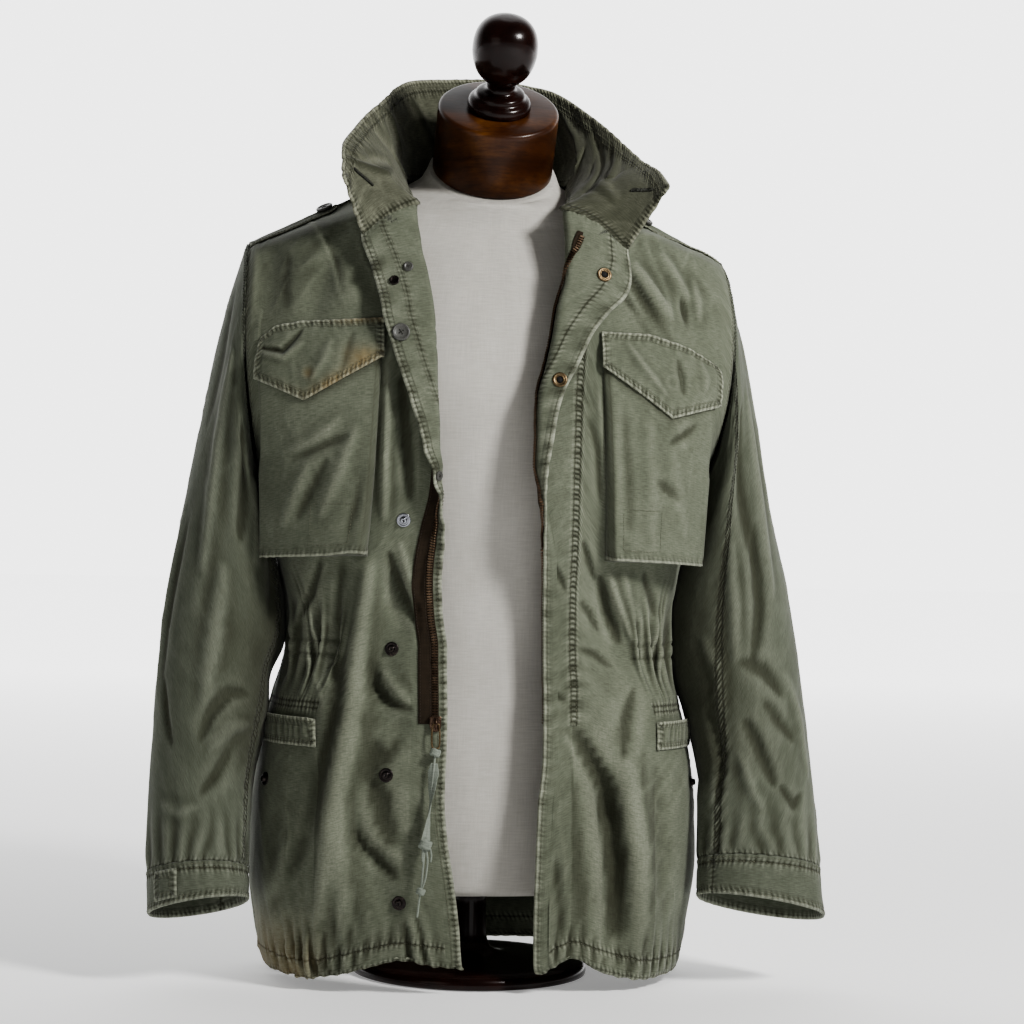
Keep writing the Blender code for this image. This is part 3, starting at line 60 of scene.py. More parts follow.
JACKET = "jacket"
PULL = "zip_pull"
MILLI = 0.001

# ---- sizes shared by the cloth pieces, metres --------------------------------
CLOTH = 0.0016          # wall of a cloth shell
EDGE = 0.0026           # a turned and stitched edge
COLLAR_WALL = 0.0030
PATCH = 0.0014          # wall of pockets, flaps and straps
LIFT = 0.0007           # gap left beneath them
SEAM = 0.0004           # gap between pieces at a seam
POWER = 2.6             # squareness of the body sections
BEND = 0.0055           # radius at which a lapel turns over
LAPEL_CURL = 1 / 0.35   # radians a metre beyond that bend
HALF_TURN = math.radians(172)
ARM_TOP = (0.2365, 0.0, 0.717)
ARM_BOTTOM = (0.2225, 0.0, 0.497)
ARM_DEPTH = 0.078       # half the armhole from front to back
ARM_BULGE = 0.0095      # how far it swells outward between top and bottom
WAIST_Z = 0.325         # height of the waist cord
GATHER = 0.0032         # height of its pleats in the solids
HEAD_X = 0.006          # the neck stands a little to the wearer's left
NECK = 0.084            # half width of the neck seam
NECK_BACK = 0.070
NECK_Z = 0.790
DRAPE = 1.5             # how strongly the creases stand
FULL_TURN = 6.2832
TWIN_APART = 0.0028     # from a lapped seam's middle to either row of stitches
FIRST_ROW = 0.0030      # from an edge to its first row of stitches
DEGREE_ROUND = 0.00105  # length of a degree round a sleeve
RING_APART = 0.044      # from one ring of a sleeve to the next
# rows of the fronts and the back: underarm, top of the lapel, shoulder seam
UNDERARM, LAPEL_TOP, SHOULDER = 16, 24, 26
# columns of the fronts: fold, flap seam, inner and outer line of the pockets, side seam
STRIP, SPLIT, PIN, POUT, SIDE = 5, 7, 9, 15, 18
BACK_COLS = 20
LEFT_SHIFT = (0.0120, 0.0070)   # how much further in the left pocket's two lines lie


class Side(Enum):
    """The wearer's side, as the sign of x."""

    RIGHT = -1
    LEFT = 1

    @property
    def word(self) -> str:
        """Name used in the pieces' names."""
        return self.name.lower()

    def pick(self, right: object, left: object) -> object:
        """The first for the wearer's right side, the second for the left."""
        return right if self is Side.RIGHT else left


def table(units: str, *rows: tuple) -> tuple:
    """Rows of sizes brought to metres.

    Args:
        units: a letter for each column, m for millimetres and n for a plain number.
        rows: the rows as measured.

    Returns:
        the rows, with lengths in metres.
    """
    scale = [1000 if letter == "m" else 1 for letter in units]
    return tuple(tuple(value / k for value, k in zip(row, scale)) for row in rows)


def creases(*rows: tuple, route: tuple = (MILLI, MILLI)) -> tuple:
    """Creases of a piece of cloth.

    Args:
        rows: half width and height in millimetres, skew, then the points of the route.
        route: metres in one unit of either coordinate of those points.

    Returns:
        the route, half width, height and skew of each.
    """
    found = []
    for half, tall, skew, *line in rows:
        points = tuple((a * route[0], b * route[1]) for a, b in zip(line[::2], line[1::2]))
        found.append((points, half * MILLI, tall * MILLI, skew))
    return tuple(found)


# z, half width, front depth, back depth
BODY = table("mmmm",
    (0, 201, 139, 123), (30, 207.5, 143, 127), (70, 216.5, 146, 131), (120, 221.5, 148, 133),
    (170, 220.5, 147, 132), (220, 214.5, 143, 127), (270, 204, 135, 119), (325, 190.5, 122, 106),
    (360, 192, 122, 106), (400, 199, 126, 111), (450, 213, 134, 120), (497, 222.5, 140, 126))
# row, height at the front fold, height at the side seam or armhole
FRONT_ROWS = table("nmm",
    (0, 12, 14), (1, 60, 60), (2, 100, 100), (3, 140, 140), (4, 178, 178), (5, 213, 213),
    (6, 235, 235), (7, 257, 257), (8, 283, 283), (9, 305, 305), (10, 325, 325), (11, 345, 345),
    (12, 378, 378), (13, 414, 414), (14, 440, 440), (15, 468, 468), (16, 497, 497), (17, 522, 508),
    (18, 550, 533), (19, 582, 563), (20, 613, 592), (21, 645, 620), (22, 680, 652), (23, 717, 682),
    (24, 755, 703), (25, 774, 712.5), (26, 790, 717))
# z, front depth at the fold above the armholes
FOLD_DEPTH = table("mm",
    (497, 138.8), (540, 137.5), (585, 133), (630, 125.5), (675, 113.5), (715, 100.5), (755, 86),
    (774, 46), (790, 8))
# z, fold line x, lapel width, turn in degrees
RIGHT_FOLD = table("mmmn",
    (10, 37.5, 14, 0), (68, 44, 14, 0), (108, 50, 14, 0), (148, 56.7, 14, 0), (185, 60, 14, 0),
    (264, 58, 14, 0), (325, 58, 14, 0), (359, 62.8, 14, 0), (400, 65.5, 14.5, 6),
    (440, 62.5, 16.5, 50), (474, 59, 20, 112), (519, 62.5, 27, 158), (565, 65, 38, 170),
    (613, 66.5, 53, 172), (649, 69, 60, 172), (685, 74.5, 59, 172), (711, 80, 58, 170),
    (755, 85, 63, 165), (774, 84.5, 63, 165), (790, 84, 63, 165))
LEFT_FOLD = table("mmmn",
    (10, 64, 14, 0), (42, 58.5, 14, 0), (82, 57.6, 14, 0), (122, 58.1, 14, 0), (175, 59.3, 14, 0),
    (228, 63.9, 14, 0), (308, 64.5, 14, 0), (374, 63, 14, 4), (414, 60.5, 14.5, 25),
    (445, 54, 16, 70), (480, 45, 18, 122), (510, 41, 23, 155), (545, 41, 28, 168),
    (573, 44, 32, 172), (601, 51, 39, 172), (629, 57, 46, 172), (657, 62, 58, 172),
    (687, 70, 68, 172), (720, 71.5, 73, 170), (755, 70, 72, 165), (774, 79, 72, 165),
    (790, 84, 72, 165))
# z, storm flap seam, pocket inner line, pocket outer line
GUIDES = table("mmmm",
    (0, 80, 160, 188), (200, 79, 162, 191), (257, 79, 164, 188), (300, 79, 146, 176),
    (325, 78.5, 136, 173), (360, 78, 128, 178), (414, 77.5, 119.5, 196), (450, 77, 118, 203),
    (497, 76.5, 116, 211), (555, 77, 114, 220), (600, 79.5, 112, 225), (645, 87, 112.5, 224),
    (690, 94, 117, 216), (755, 101, 125, 205), (790, 104, 132, 198))
# x, hem height
RIGHT_HEM = table("mm",
    (24, 26), (50, 31), (83, 36), (110, 27), (140, 16), (170, 10), (200, 12), (230, 14))
LEFT_HEM = table("mm",
    (40, 20), (52, 21), (66, 31), (83, 39), (105, 26), (135, 15), (165, 10), (230, 14))
# side, x and z of the upper end, of the lower end, half width, height
FOLDS = table("nmmmmmm",
    (-1, 116, 405, 150, 160, 20, 7.5), (-1, 150, 160, 160, 40, 22, 5),
    (-1, 97, 380, 130, 170, 16, -6), (-1, 112, 410, 86, 350, 10, -4.5),
    (-1, 125, 300, 92, 255, 14, -5.5), (-1, 150, 730, 176, 650, 13, -5.5),
    (-1, 215, 700, 219, 655, 12, -5), (-1, 128, 150, 98, 90, 14, -5),
    (1, 79, 235, 108, 180, 15, -6), (1, 108, 180, 121, 45, 18, -8), (1, 100, 385, 124, 320, 14, -6),
    (1, 136, 230, 150, 60, 22, 6.5), (1, 118, 722, 162, 640, 12, 5),
    (1, 190, 695, 196, 650, 12, -4.5), (1, 92, 290, 118, 255, 12, 4.5))
# ring, outer x y z, inner x y z, half depth, forward tilt in degrees
RIGHT_SLEEVE = table("nmmmmmmmn",
    (0, 236.5, 0, 717, 222.5, 0, 497, 78, 0), (1, 244.5, 0, 694, 224.5, 0, 482, 78, 0),
    (2, 253, -1, 664, 222.5, -1, 462, 76.5, 0), (3, 262, -2, 625, 217, -3, 438, 75, 0),
    (4, 271, -1, 578, 208.5, -3, 410, 70, 2), (5, 281, -3, 526, 201, -6, 378, 66.5, 4),
    (6, 291, -8, 472, 198.5, -11, 345, 64, 6), (7, 300.5, -15, 418, 201.5, -19, 311, 62, 9),
    (8, 308.5, -24, 364, 209.5, -29, 277, 59.5, 12), (9, 314, -33, 310, 216.5, -39, 243, 56.5, 14),
    (10, 317.5, -42, 258, 219.5, -47, 209, 54, 16), (11, 320, -50, 204, 222.5, -53, 173, 51.5, 17),
    (12, 321.2, -57, 152, 223.5, -58, 138, 49.5, 18), (13, 321.5, -62, 106, 224, -62, 110, 48, 18))
LEFT_SLEEVE = table("nmmmmmmmn",
    (0, 236.5, 0, 717, 222.5, 0, 497, 78, 0), (1, 244, 0, 693, 224.5, 0, 482, 78, 0),
    (2, 252, -1, 661, 222.5, -2, 462, 76.5, 0), (3, 261.5, -3, 618, 217, -5, 438, 75, 0),
    (4, 272, -4, 567, 208.5, -6, 410, 70, 2), (5, 283.5, -8, 511, 201, -11, 378, 66, 4),
    (6, 295.5, -15, 453, 198.5, -19, 345, 63, 6), (7, 306.5, -25, 396, 202, -30, 311, 60, 9),
    (8, 315.5, -36, 340, 208.5, -42, 279, 57.5, 12),
    (9, 321.5, -48, 286, 214.5, -55, 247, 54.5, 14), (10, 325.5, -60, 236, 216.5, -66, 214, 51, 15),
    (11, 329.5, -70, 190, 213.5, -74, 182, 47.5, 16),
    (12, 333, -78, 150, 213.5, -80, 152, 44.5, 17), (13, 335.5, -83, 114, 213, -84, 124, 42.5, 18))
RIGHT_CUFF_END = (0.3205, -0.067, 0.067, 0.2230, -0.067, 0.081, 0.0475, 18)
LEFT_CUFF_END = (0.3400, -0.090, 0.068, 0.2115, -0.091, 0.090, 0.0415, 18)
# share of the collar's length, x, y, z of its top edge
COLLAR_TOP = table("nmmm",
    (0, -153, -124, 774), (0.07, -152, -98, 800), (0.17, -136, -52, 829), (0.3, -108, -6, 862),
    (0.4, -72, 52, 893), (0.5, 6, 88, 903), (0.6, 69, 62, 891), (0.7, 109, 8, 856),
    (0.83, 143, -44, 813), (0.93, 160, -86, 791), (1, 164.5, -114, 776))
# the form: z, y, tilt, half width, front, back, power
TORSO = table("mmnmmmn",
    (88, 0, 0, 150, 96, 90, 2.3), (93, 0, 0, 156, 101, 95, 2.3), (150, 0, 0, 164, 107, 102, 2.3),
    (225, 0, 0, 159, 103, 99, 2.3), (320, 0, 0, 142, 92, 86, 2.3), (400, 0, 0, 146, 96, 88, 2.3),
    (490, 0, 0, 166, 110, 96, 2.3), (570, 0, 0, 179, 114, 100, 2.3), (630, 0, 0, 188, 105, 98, 2.2),
    (680, 0, 0, 197, 88, 89, 2.1), (712, 0, 0, 201, 73, 76, 2), (729, 0, 0, 196, 64, 60, 1.9),
    (740, 0, 0, 176, 61, 58, 1.7), (753, 1, 3, 148, 63, 56, 1.6), (766, 2, 8, 118, 66, 54, 1.6),
    (778, 3, 16, 89, 67, 53, 1.6), (788, 4, 26, 70.5, 66.5, 53, 1.7),
    (794.5, 5, 32, 66.5, 65.5, 55, 1.9), (800, 5, 35.8, 63.5, 63.5, 60, 2))


# ---- small maths ---------------------------------------------------------------
class Curve:
    """Smooth curve through one column of a table, held level past its ends."""

    def __init__(self, rows: tuple, column: int) -> None:
        """Work out tangents that never overshoot the points.

        Args:
            rows: rows whose first entry is the place along the curve.
            column: which entry of a row the curve follows.
        """
        self.xs = np.array([row[0] for row in rows], float)
        self.ys = np.array([row[column] for row in rows], float)
        self.step = np.diff(self.xs)
        slope = np.diff(self.ys) / self.step
        product = slope[:-1] * slope[1:]
        w1 = 2 * self.step[1:] + self.step[:-1]
        w2 = self.step[1:] + 2 * self.step[:-1]
        mean = (w1 + w2) / (w1 / np.where(product > 0, slope[:-1], 1.0)
                            + w2 / np.where(product > 0, slope[1:], 1.0))
        middle = np.where(product > 0, mean, 0.0)
        self.tangent = np.concatenate([[slope[0]], middle, [slope[-1]]])

    def __call__(self, x: Array) -> Array:
        """The curve's value at x.

        Args:
            x: places along the curve.

        Returns:
            the value at each of them.
        """
        x = np.clip(np.asarray(x, float), self.xs[0], self.xs[-1])
        i = np.clip(np.searchsorted(self.xs, x, side="right") - 1, 0, len(self.xs) - 2)
        h = self.step[i]
        t = (x - self.xs[i]) / h
        return (self.ys[i] * (1 + 2 * t) * (1 - t) ** 2 + self.tangent[i] * h * t * (1 - t) ** 2
                + self.ys[i + 1] * t * t * (3 - 2 * t) + self.tangent[i + 1] * h * t * t * (t - 1))


def ease(x: Array, low: float, high: float) -> Array:
    """0 below low, 1 above high, smooth between."""
    t = np.clip((np.asarray(x, float) - low) / (high - low), 0.0, 1.0)
    return t * t * (3 - 2 * t)


def bell(x: Array, half: float) -> Array:
    """Soft bump of height one and the given half width."""
    return np.exp(-(np.asarray(x) / half) ** 2)


def unit(v: Array) -> Array:
    """Rows of v scaled to length one."""
    return v / np.maximum(np.linalg.norm(v, axis=-1, keepdims=True), 1e-12)


def run_of(points: Array) -> Array:
    """Length of a line of points from its start to each of them."""
    return np.concatenate([[0], np.cumsum(np.linalg.norm(np.diff(points, axis=0), axis=1))])


def placed(at: Array, run: Array, values: Array) -> Array:
    """Vectors of a line at distances along it."""
    return np.stack([np.interp(at, run, values[:, k]) for k in range(3)], -1)


def noise(u: Array, v: Array, seed: int) -> Array:
    """Smooth noise from -1 to 1 over two coordinates.

    Args:
        u: first coordinate, one cell of noise to the unit.
        v: second coordinate.
        seed: which pattern.

    Returns:
        the noise at each point.
    """
    u, v = np.broadcast_arrays(np.asarray(u, float), np.asarray(v, float))
    iu, iv = np.floor(u).astype(np.int64), np.floor(v).astype(np.int64)
    fu, fv = u - iu, v - iv
    fu, fv = fu * fu * (3 - 2 * fu), fv * fv * (3 - 2 * fv)

    def corner(a: Array, b: Array) -> Array:
        """Pseudo random value of a lattice point.

        Args:
            a: column of the lattice.
            b: row of the lattice.

        Returns:
            a number from -1 to 1.
        """
        h = (a * 374761393 + b * 668265263 + seed * 974711) & 0x7FFFFFFF
        h = ((h ^ (h >> 13)) * 1274126177) & 0x7FFFFFFF
        return ((h ^ (h >> 16)) & 0xFFFF) / 32767.5 - 1

    low = corner(iu, iv) * (1 - fu) + corner(iu + 1, iv) * fu
    high = corner(iu, iv + 1) * (1 - fu) + corner(iu + 1, iv + 1) * fu
    return low * (1 - fv) + high * fv


def clouds(u: Array, v: Array, seed: int) -> Array:
    """Two octaves of noise."""
    return noise(u, v, seed) * 0.7 + noise(u * 2.1, v * 2.1, seed + 7) * 0.3


# ---- surfaces of the frame, made continuous ----------------------------------------
BODY_WIDTH, BODY_FRONT, BODY_BACK = (Curve(BODY, k) for k in (1, 2, 3))
ROW_FOLD_Z, ROW_SIDE_Z = Curve(FRONT_ROWS, 1), Curve(FRONT_ROWS, 2)
FOLD_Y = Curve(FOLD_DEPTH, 1)
GUIDE_SPLIT, GUIDE_PIN, GUIDE_POUT = (Curve(GUIDES, k) for k in (1, 2, 3))


def side_point(z: Array, facing: int) -> tuple[Array, Array]:
    """Side seam or armhole edge at a height.

    Args:
        z: height.
        facing: -1 for the front edge of the armhole, 1 for the back edge.

    Returns:
        x and y of the edge.
    """
    middle = (ARM_TOP[2] + ARM_BOTTOM[2]) / 2
    half = (ARM_TOP[2] - ARM_BOTTOM[2]) / 2
    turn = np.arccos(np.clip((middle - z) / half, -1.0, 1.0))
    x_mid, x_half = (ARM_TOP[0] + ARM_BOTTOM[0]) / 2, (ARM_BOTTOM[0] - ARM_TOP[0]) / 2
    loop_x = x_mid + np.cos(turn) * x_half + ARM_BULGE * np.sin(turn) ** 2
    loop_y = ARM_DEPTH * np.sin(turn) * facing
    over = z > ARM_BOTTOM[2]
    return np.where(over, loop_x, BODY_WIDTH(z)), np.where(over, loop_y, 0.0)


def seam_y(x: Array) -> Array:
    """Depth of the shoulder seam at distance x from the centre."""
    return -0.008 * np.clip((ARM_TOP[0] - x) / (ARM_TOP[0] - NECK), 0, 1)


def seam_z(x: Array) -> Array:
    """Height of the shoulder seam at distance x from the centre."""
    share = np.clip((ARM_TOP[0] - x) / (ARM_TOP[0] - NECK), 0, 1)
    return ARM_TOP[2] + (NECK_Z - ARM_TOP[2]) * share


def ridge(x: Array, z: Array, x0: float, z0: float, x1: float, z1: float, half: float) -> Array:
    """Soft ridge of height one along a segment.

    Args:
        x: first coordinate of every point.
        z: second coordinate.
        x0: start of the segment.
        z0: its second coordinate.
        x1: end of the segment.
        z1: its second coordinate.
        half: half width of the ridge.

    Returns:
        the height of the ridge at each point.
    """
    dx, dz = x1 - x0, z1 - z0
    length = math.hypot(dx, dz)
    t = ((x - x0) * dx + (z - z0) * dz) / length ** 2
    across = (-(x - x0) * dz + (z - z0) * dx) / length
    over = np.maximum(np.abs(t - 0.5) - 0.5, 0) * length
    return np.exp(-(across / half) ** 2 - (over / (1.2 * half)) ** 2)


@dataclass
class FrontSurface:
    """One front with its lapel: rows run up, columns from the free edge to the side."""

    side: Side

    def __post_init__(self) -> None:
        """Prepare the fold curves of this side."""
        fold = self.side.pick(RIGHT_FOLD, LEFT_FOLD)
        self.fold_x, self.lapel, self.turn = (Curve(fold, k) for k in (1, 2, 3))
        self.hem = Curve(self.side.pick(RIGHT_HEM, LEFT_HEM), 1)

    def flat(self, row: Array, col: Array) -> tuple[Array, ...]:
        """Body surface without the lapel strip.

        Args:
            row: rows of the front.
            col: its columns.

        Returns:
            points, tangents toward the side, outward directions and fold heights.
        """
        zq, za = ROW_FOLD_Z(row), ROW_SIDE_Z(row)
        xq = self.fold_x(zq)
        low_y = -BODY_FRONT(zq) * (1 - (xq / BODY_WIDTH(zq)) ** POWER) ** (1 / POWER)
        yq = np.where(row > UNDERARM, -FOLD_Y(zq), low_y)
        xa, ya = side_point(za, -1)
        ya = np.minimum(ya, -1e-4)
        u1, v1, u2, v2 = (np.abs(k) ** POWER for k in (xq, yq, xa, ya))
        det = u1 * v2 - u2 * v1
        wide = ((v2 - v1) / det) ** (-1 / POWER)
        deep = ((u1 - u2) / det) ** (-1 / POWER)
        zg = (zq + za) / 2
        shift = ease(zg, 0.34, 0.41) * (1 - ease(zg, 0.66, 0.72)) * (self.side is Side.LEFT)
        inner = GUIDE_PIN(zg) - LEFT_SHIFT[0] * shift
        outer = GUIDE_POUT(zg) - LEFT_SHIFT[1] * shift
        marks = [np.arcsin(np.clip((k / wide) ** (POWER / 2), 0, 1))
                 for k in (xq, GUIDE_SPLIT(zg), inner, outer, xa)]
        stops = (STRIP, SPLIT, PIN, POUT, SIDE)
        c = np.clip(col, STRIP, SIDE)
        ang = marks[4]
        for k in range(4):
            t = (c - stops[k]) / (stops[k + 1] - stops[k])
            here = (c >= stops[k]) & (c < stops[k + 1])
            ang = np.where(here, marks[k] * (1 - t) + marks[k + 1] * t, ang)
        x = wide * np.sin(ang) ** (2 / POWER)
        y = -deep * np.maximum(np.cos(ang), 0) ** (2 / POWER)
        z = zq + (za - zq) * np.clip((x - xq) / np.maximum(xa - xq, 1e-6), 0, 1)
        near = ease(row, SHOULDER - 1.5, SHOULDER)
        y = y * (1 - near) + seam_y(x) * near
        slope = (deep / wide) * (x / wide) ** (POWER - 1) * np.maximum(
            1 - (x / wide) ** POWER, 1e-4) ** (1 / POWER - 1)
        tangent = unit(np.stack([np.ones_like(x), slope], -1))
        out = np.stack([tangent[..., 1], -tangent[..., 0]], -1)
        return np.stack([x, y, z], -1), tangent, out, zq

    def points(self, row: Array, col: Array) -> tuple[Array, Array]:
        """Points and outward directions at rows and columns.

        Args:
            row: rows, from the hem up.
            col: columns, from the free edge to the side.

        Returns:
            points, and outward directions.
        """
        row, col = np.broadcast_arrays(np.asarray(row, float), np.asarray(col, float))
        base, tangent, out, zq = self.flat(row, col)
        width, angle_max = self.lapel(zq), np.radians(self.turn(zq))
        bend = np.minimum(BEND * HALF_TURN, 0.62 * width)
        s = np.clip(STRIP - col, 0, STRIP)
        dist = np.where(s <= 3, bend * s / 3, bend + (width - bend) * (0.45 * (s - 3)))
        dist = np.where(s > 4, bend + (width - bend) * (0.45 + 0.55 * (s - 4)), dist)
        turned = BEND * angle_max
        curl = LAPEL_CURL * angle_max / HALF_TURN + 1e-4
        rest = np.maximum(dist - turned, 0)
        th1, th2 = np.minimum(dist, turned) / BEND, angle_max + curl * rest
        along = BEND * np.sin(th1) + np.where(
            rest > 0, (np.sin(th2) - np.sin(angle_max)) / curl, 0)
        lift = BEND * (1 - np.cos(th1)) + np.where(
            rest > 0, (np.cos(angle_max) - np.cos(th2)) / curl, 0)
        heading = np.where(rest > 0, th2, th1)
        drop = 0.55 * ease(zq, 0.62, 0.755) * dist * dist / width
        strip = base.copy()
        strip[..., :2] += -tangent * along[..., None] + out * lift[..., None]
        strip[..., 2] -= drop
        facing = np.zeros_like(base)
        facing[..., :2] = out * np.cos(heading)[..., None] + tangent * np.sin(heading)[..., None]
        plain = np.zeros_like(base)
        plain[..., :2] = out
        on_strip = (col < STRIP)[..., None]
        points = np.where(on_strip, strip, base)
        facing = np.where(on_strip, facing, plain)
        share = np.clip(1 - row, 0, 1)
        points[..., 2] += share * (self.hem(points[..., 0]) - points[..., 2])
        points = points + facing * self.folds(row, col, points)[..., None]
        points[..., 0] *= self.side.value
        facing[..., 0] *= self.side.value
        return points, facing

    def folds(self, row: Array, col: Array, points: Array) -> Array:
        """Height of the large folds and gathers that the solid has too.

        Args:
            row: rows of the front.
            col: its columns.
            points: the points before the folds.

        Returns:
            the height at each point.
        """
        x, z = points[..., 0], points[..., 2]
        height = np.zeros_like(x)
        for side, *line, half, tall in FOLDS:
            if side == self.side.value:
                height += tall * ridge(x, z, *line, half)
        height += GATHER * bell(z - WAIST_Z, 0.030) * ease(col, 8.0, 10.0) * np.cos(math.pi * col)
        if self.side is Side.RIGHT:
            low = np.exp(-np.maximum(z - 0.02, 0) / 0.030)
            tuck = 0.0025 * low * np.cos(math.pi * col)
            height += tuck * ease(col, 6, 8) * (1 - ease(col, 13, 15))
        return height * ease(SIDE - col, 0, 1.6) * ease(SHOULDER - row, 0, 3) * ease(col, 3.9, 6.5)


class BackSurface:
    """The back: columns run from the wearer's right side seam to the left one."""

    def points(self, row: Array, col: Array) -> tuple[Array, Array]:
        """Points and outward directions at rows and columns.

        Args:
            row: rows, from the hem up.
            col: columns, from the wearer's right to the left.

        Returns:
            points, and outward directions.
        """
        row, col = np.broadcast_arrays(np.asarray(row, float), np.asarray(col, float))
        za = ROW_SIDE_Z(row)
        low = np.minimum(za, ARM_BOTTOM[2])
        u = col / BACK_COLS * 2 - 1
        ang = u * math.pi / 2
        x0 = np.sign(u) * BODY_WIDTH(low) * np.abs(np.sin(ang)) ** (2 / POWER)
        y0 = BODY_BACK(low) * np.maximum(np.cos(ang), 0) ** (2 / POWER)
        out = np.abs(u) * BACK_COLS / 2
        bow = np.minimum(out, 3.0) / 3.0 * math.pi / 2
        seam = np.maximum(out - 3.0, 0.0) / (BACK_COLS / 2 - 3.0)
        xt = np.sign(u) * (NECK * np.sin(bow) + (ARM_TOP[0] - NECK) * seam)
        yt = np.where(seam > 0, seam_y(np.abs(xt)), -0.008 + (NECK_BACK + 0.008) * np.cos(bow))
        zt = np.where(seam > 0, seam_z(np.abs(xt)), NECK_Z + 0.012 * np.cos(bow) ** 2)
        w = np.clip((row - UNDERARM) / (SHOULDER - UNDERARM), 0, 1)
        climb = 0.35 * w + 0.65 * np.sin(w * math.pi / 2)
        x = x0 * (1 - w) + xt * w
        y = yt + (y0 - yt) * np.maximum(1 - w ** 2.2, 0) ** 0.62
        z = np.where(w > 0, low + (zt - low) * climb, za)
        xa, ya = side_point(za, 1)
        near = np.where(w > 0, ease(np.abs(u), 0.45, 1.0) ** 1.5, 0)
        x = x + np.sign(u) * (xa - BODY_WIDTH(low) * (1 - w) - ARM_TOP[0] * w) * near
        y = y + ya * near
        z = z + np.where(w > 0, za - low - (ARM_TOP[2] - low) * climb, 0) * near
        z = z + np.clip(1 - row, 0, 1) * (0.014 - z)
        edge = ease(col, 0, 1.6) * ease(BACK_COLS - col, 0, 1.6)
        tall = GATHER * bell(z - WAIST_Z, 0.030) * np.cos(math.pi * col) * edge
        outward = unit(np.stack([x / 0.21 ** 2, y / 0.13 ** 2, np.full_like(x, 0.5)], -1))
        level = unit(outward * np.array([1, 1, 0]))
        points = np.stack([x + level[..., 0] * tall, y + level[..., 1] * tall + SEAM, z], -1)
        return points, outward


def ring_points(outer: Array, inner: Array, depth: Array, tilt: Array, turn: Array,
                sign: int, bulge: Array) -> Array:
    """Points round an oval: turn 0 is the inner side, 90 the front, 180 the outer.

    Args:
        outer: outermost point of each ring.
        inner: innermost point.
        depth: half depth from front to back.
        tilt: how far the ring leans forward, in radians.
        turn: turn of each point, in radians.
        sign: -1 for the right side, 1 for the left.
        bulge: how far the ring swells outward.

    Returns:
        the points.
    """
    middle = (outer + inner) / 2
    c, s = np.cos(turn)[..., None], np.sin(turn)[..., None]
    forward = np.stack([np.zeros_like(tilt), -np.cos(tilt), np.sin(tilt)], -1)
    p = middle + (inner - middle) * c + forward * (depth[..., None] * s)
    p[..., 0] += bulge * np.sin(turn) ** 2
    p[..., 0] *= sign
    return p


@dataclass
class SleeveSurface:
    """One sleeve: rows are rings from the armhole down, columns turn round it."""

    side: Side

    def points(self, row: Array, col: Array) -> tuple[Array, Array]:
        """Points and outward directions at rings and turns in radians.

        Args:
            row: rings, from the armhole down.
            col: turns in radians.

        Returns:
            points, and outward directions.
        """
        row, col = np.broadcast_arrays(np.asarray(row, float), np.asarray(col, float))
        rings = self.side.pick(RIGHT_SLEEVE, LEFT_SLEEVE)
        outer = np.stack([Curve(rings, k)(row) for k in (1, 2, 3)], -1)
        inner = np.stack([Curve(rings, k)(row) for k in (4, 5, 6)], -1)
        depth, tilt = Curve(rings, 7)(row), np.radians(Curve(rings, 8)(row))
        bulge = ARM_BULGE * np.exp(-row / 4.0)
        p = ring_points(outer, inner, depth, tilt, col, self.side.value, bulge)
        p[..., 0] += self.side.value * 2 * SEAM * np.clip(1 - row, 0, 1)
        return p, p - p.mean(axis=1, keepdims=True)


@dataclass
class CuffSurface:
    """One cuff: rows run from the seam (0) to the open end (1)."""

    side: Side

    def points(self, row: Array, col: Array) -> tuple[Array, Array]:
        """Points and outward directions at shares of the cuff and turns.

        Args:
            row: shares of the way from the seam to the open end.
            col: turns in radians.

        Returns:
            points, and outward directions.
        """
        row, col = np.broadcast_arrays(np.asarray(row, float), np.asarray(col, float))
        first = np.array(self.side.pick(RIGHT_SLEEVE, LEFT_SLEEVE)[-1][1:], float)
        last = np.array(self.side.pick(RIGHT_CUFF_END, LEFT_CUFF_END), float)
        mix = first + (last - first) * row[..., None]
        drop = 0.0005 * (1 - row)
        outer, inner = mix[..., 0:3].copy(), mix[..., 3:6].copy()
        outer[..., 2] -= drop
        inner[..., 2] -= drop
        p = ring_points(outer, inner, mix[..., 6] + 0.0006, np.radians(mix[..., 7]), col,
                        self.side.value, np.zeros_like(row))
        return p, p - p.mean(axis=1, keepdims=True)


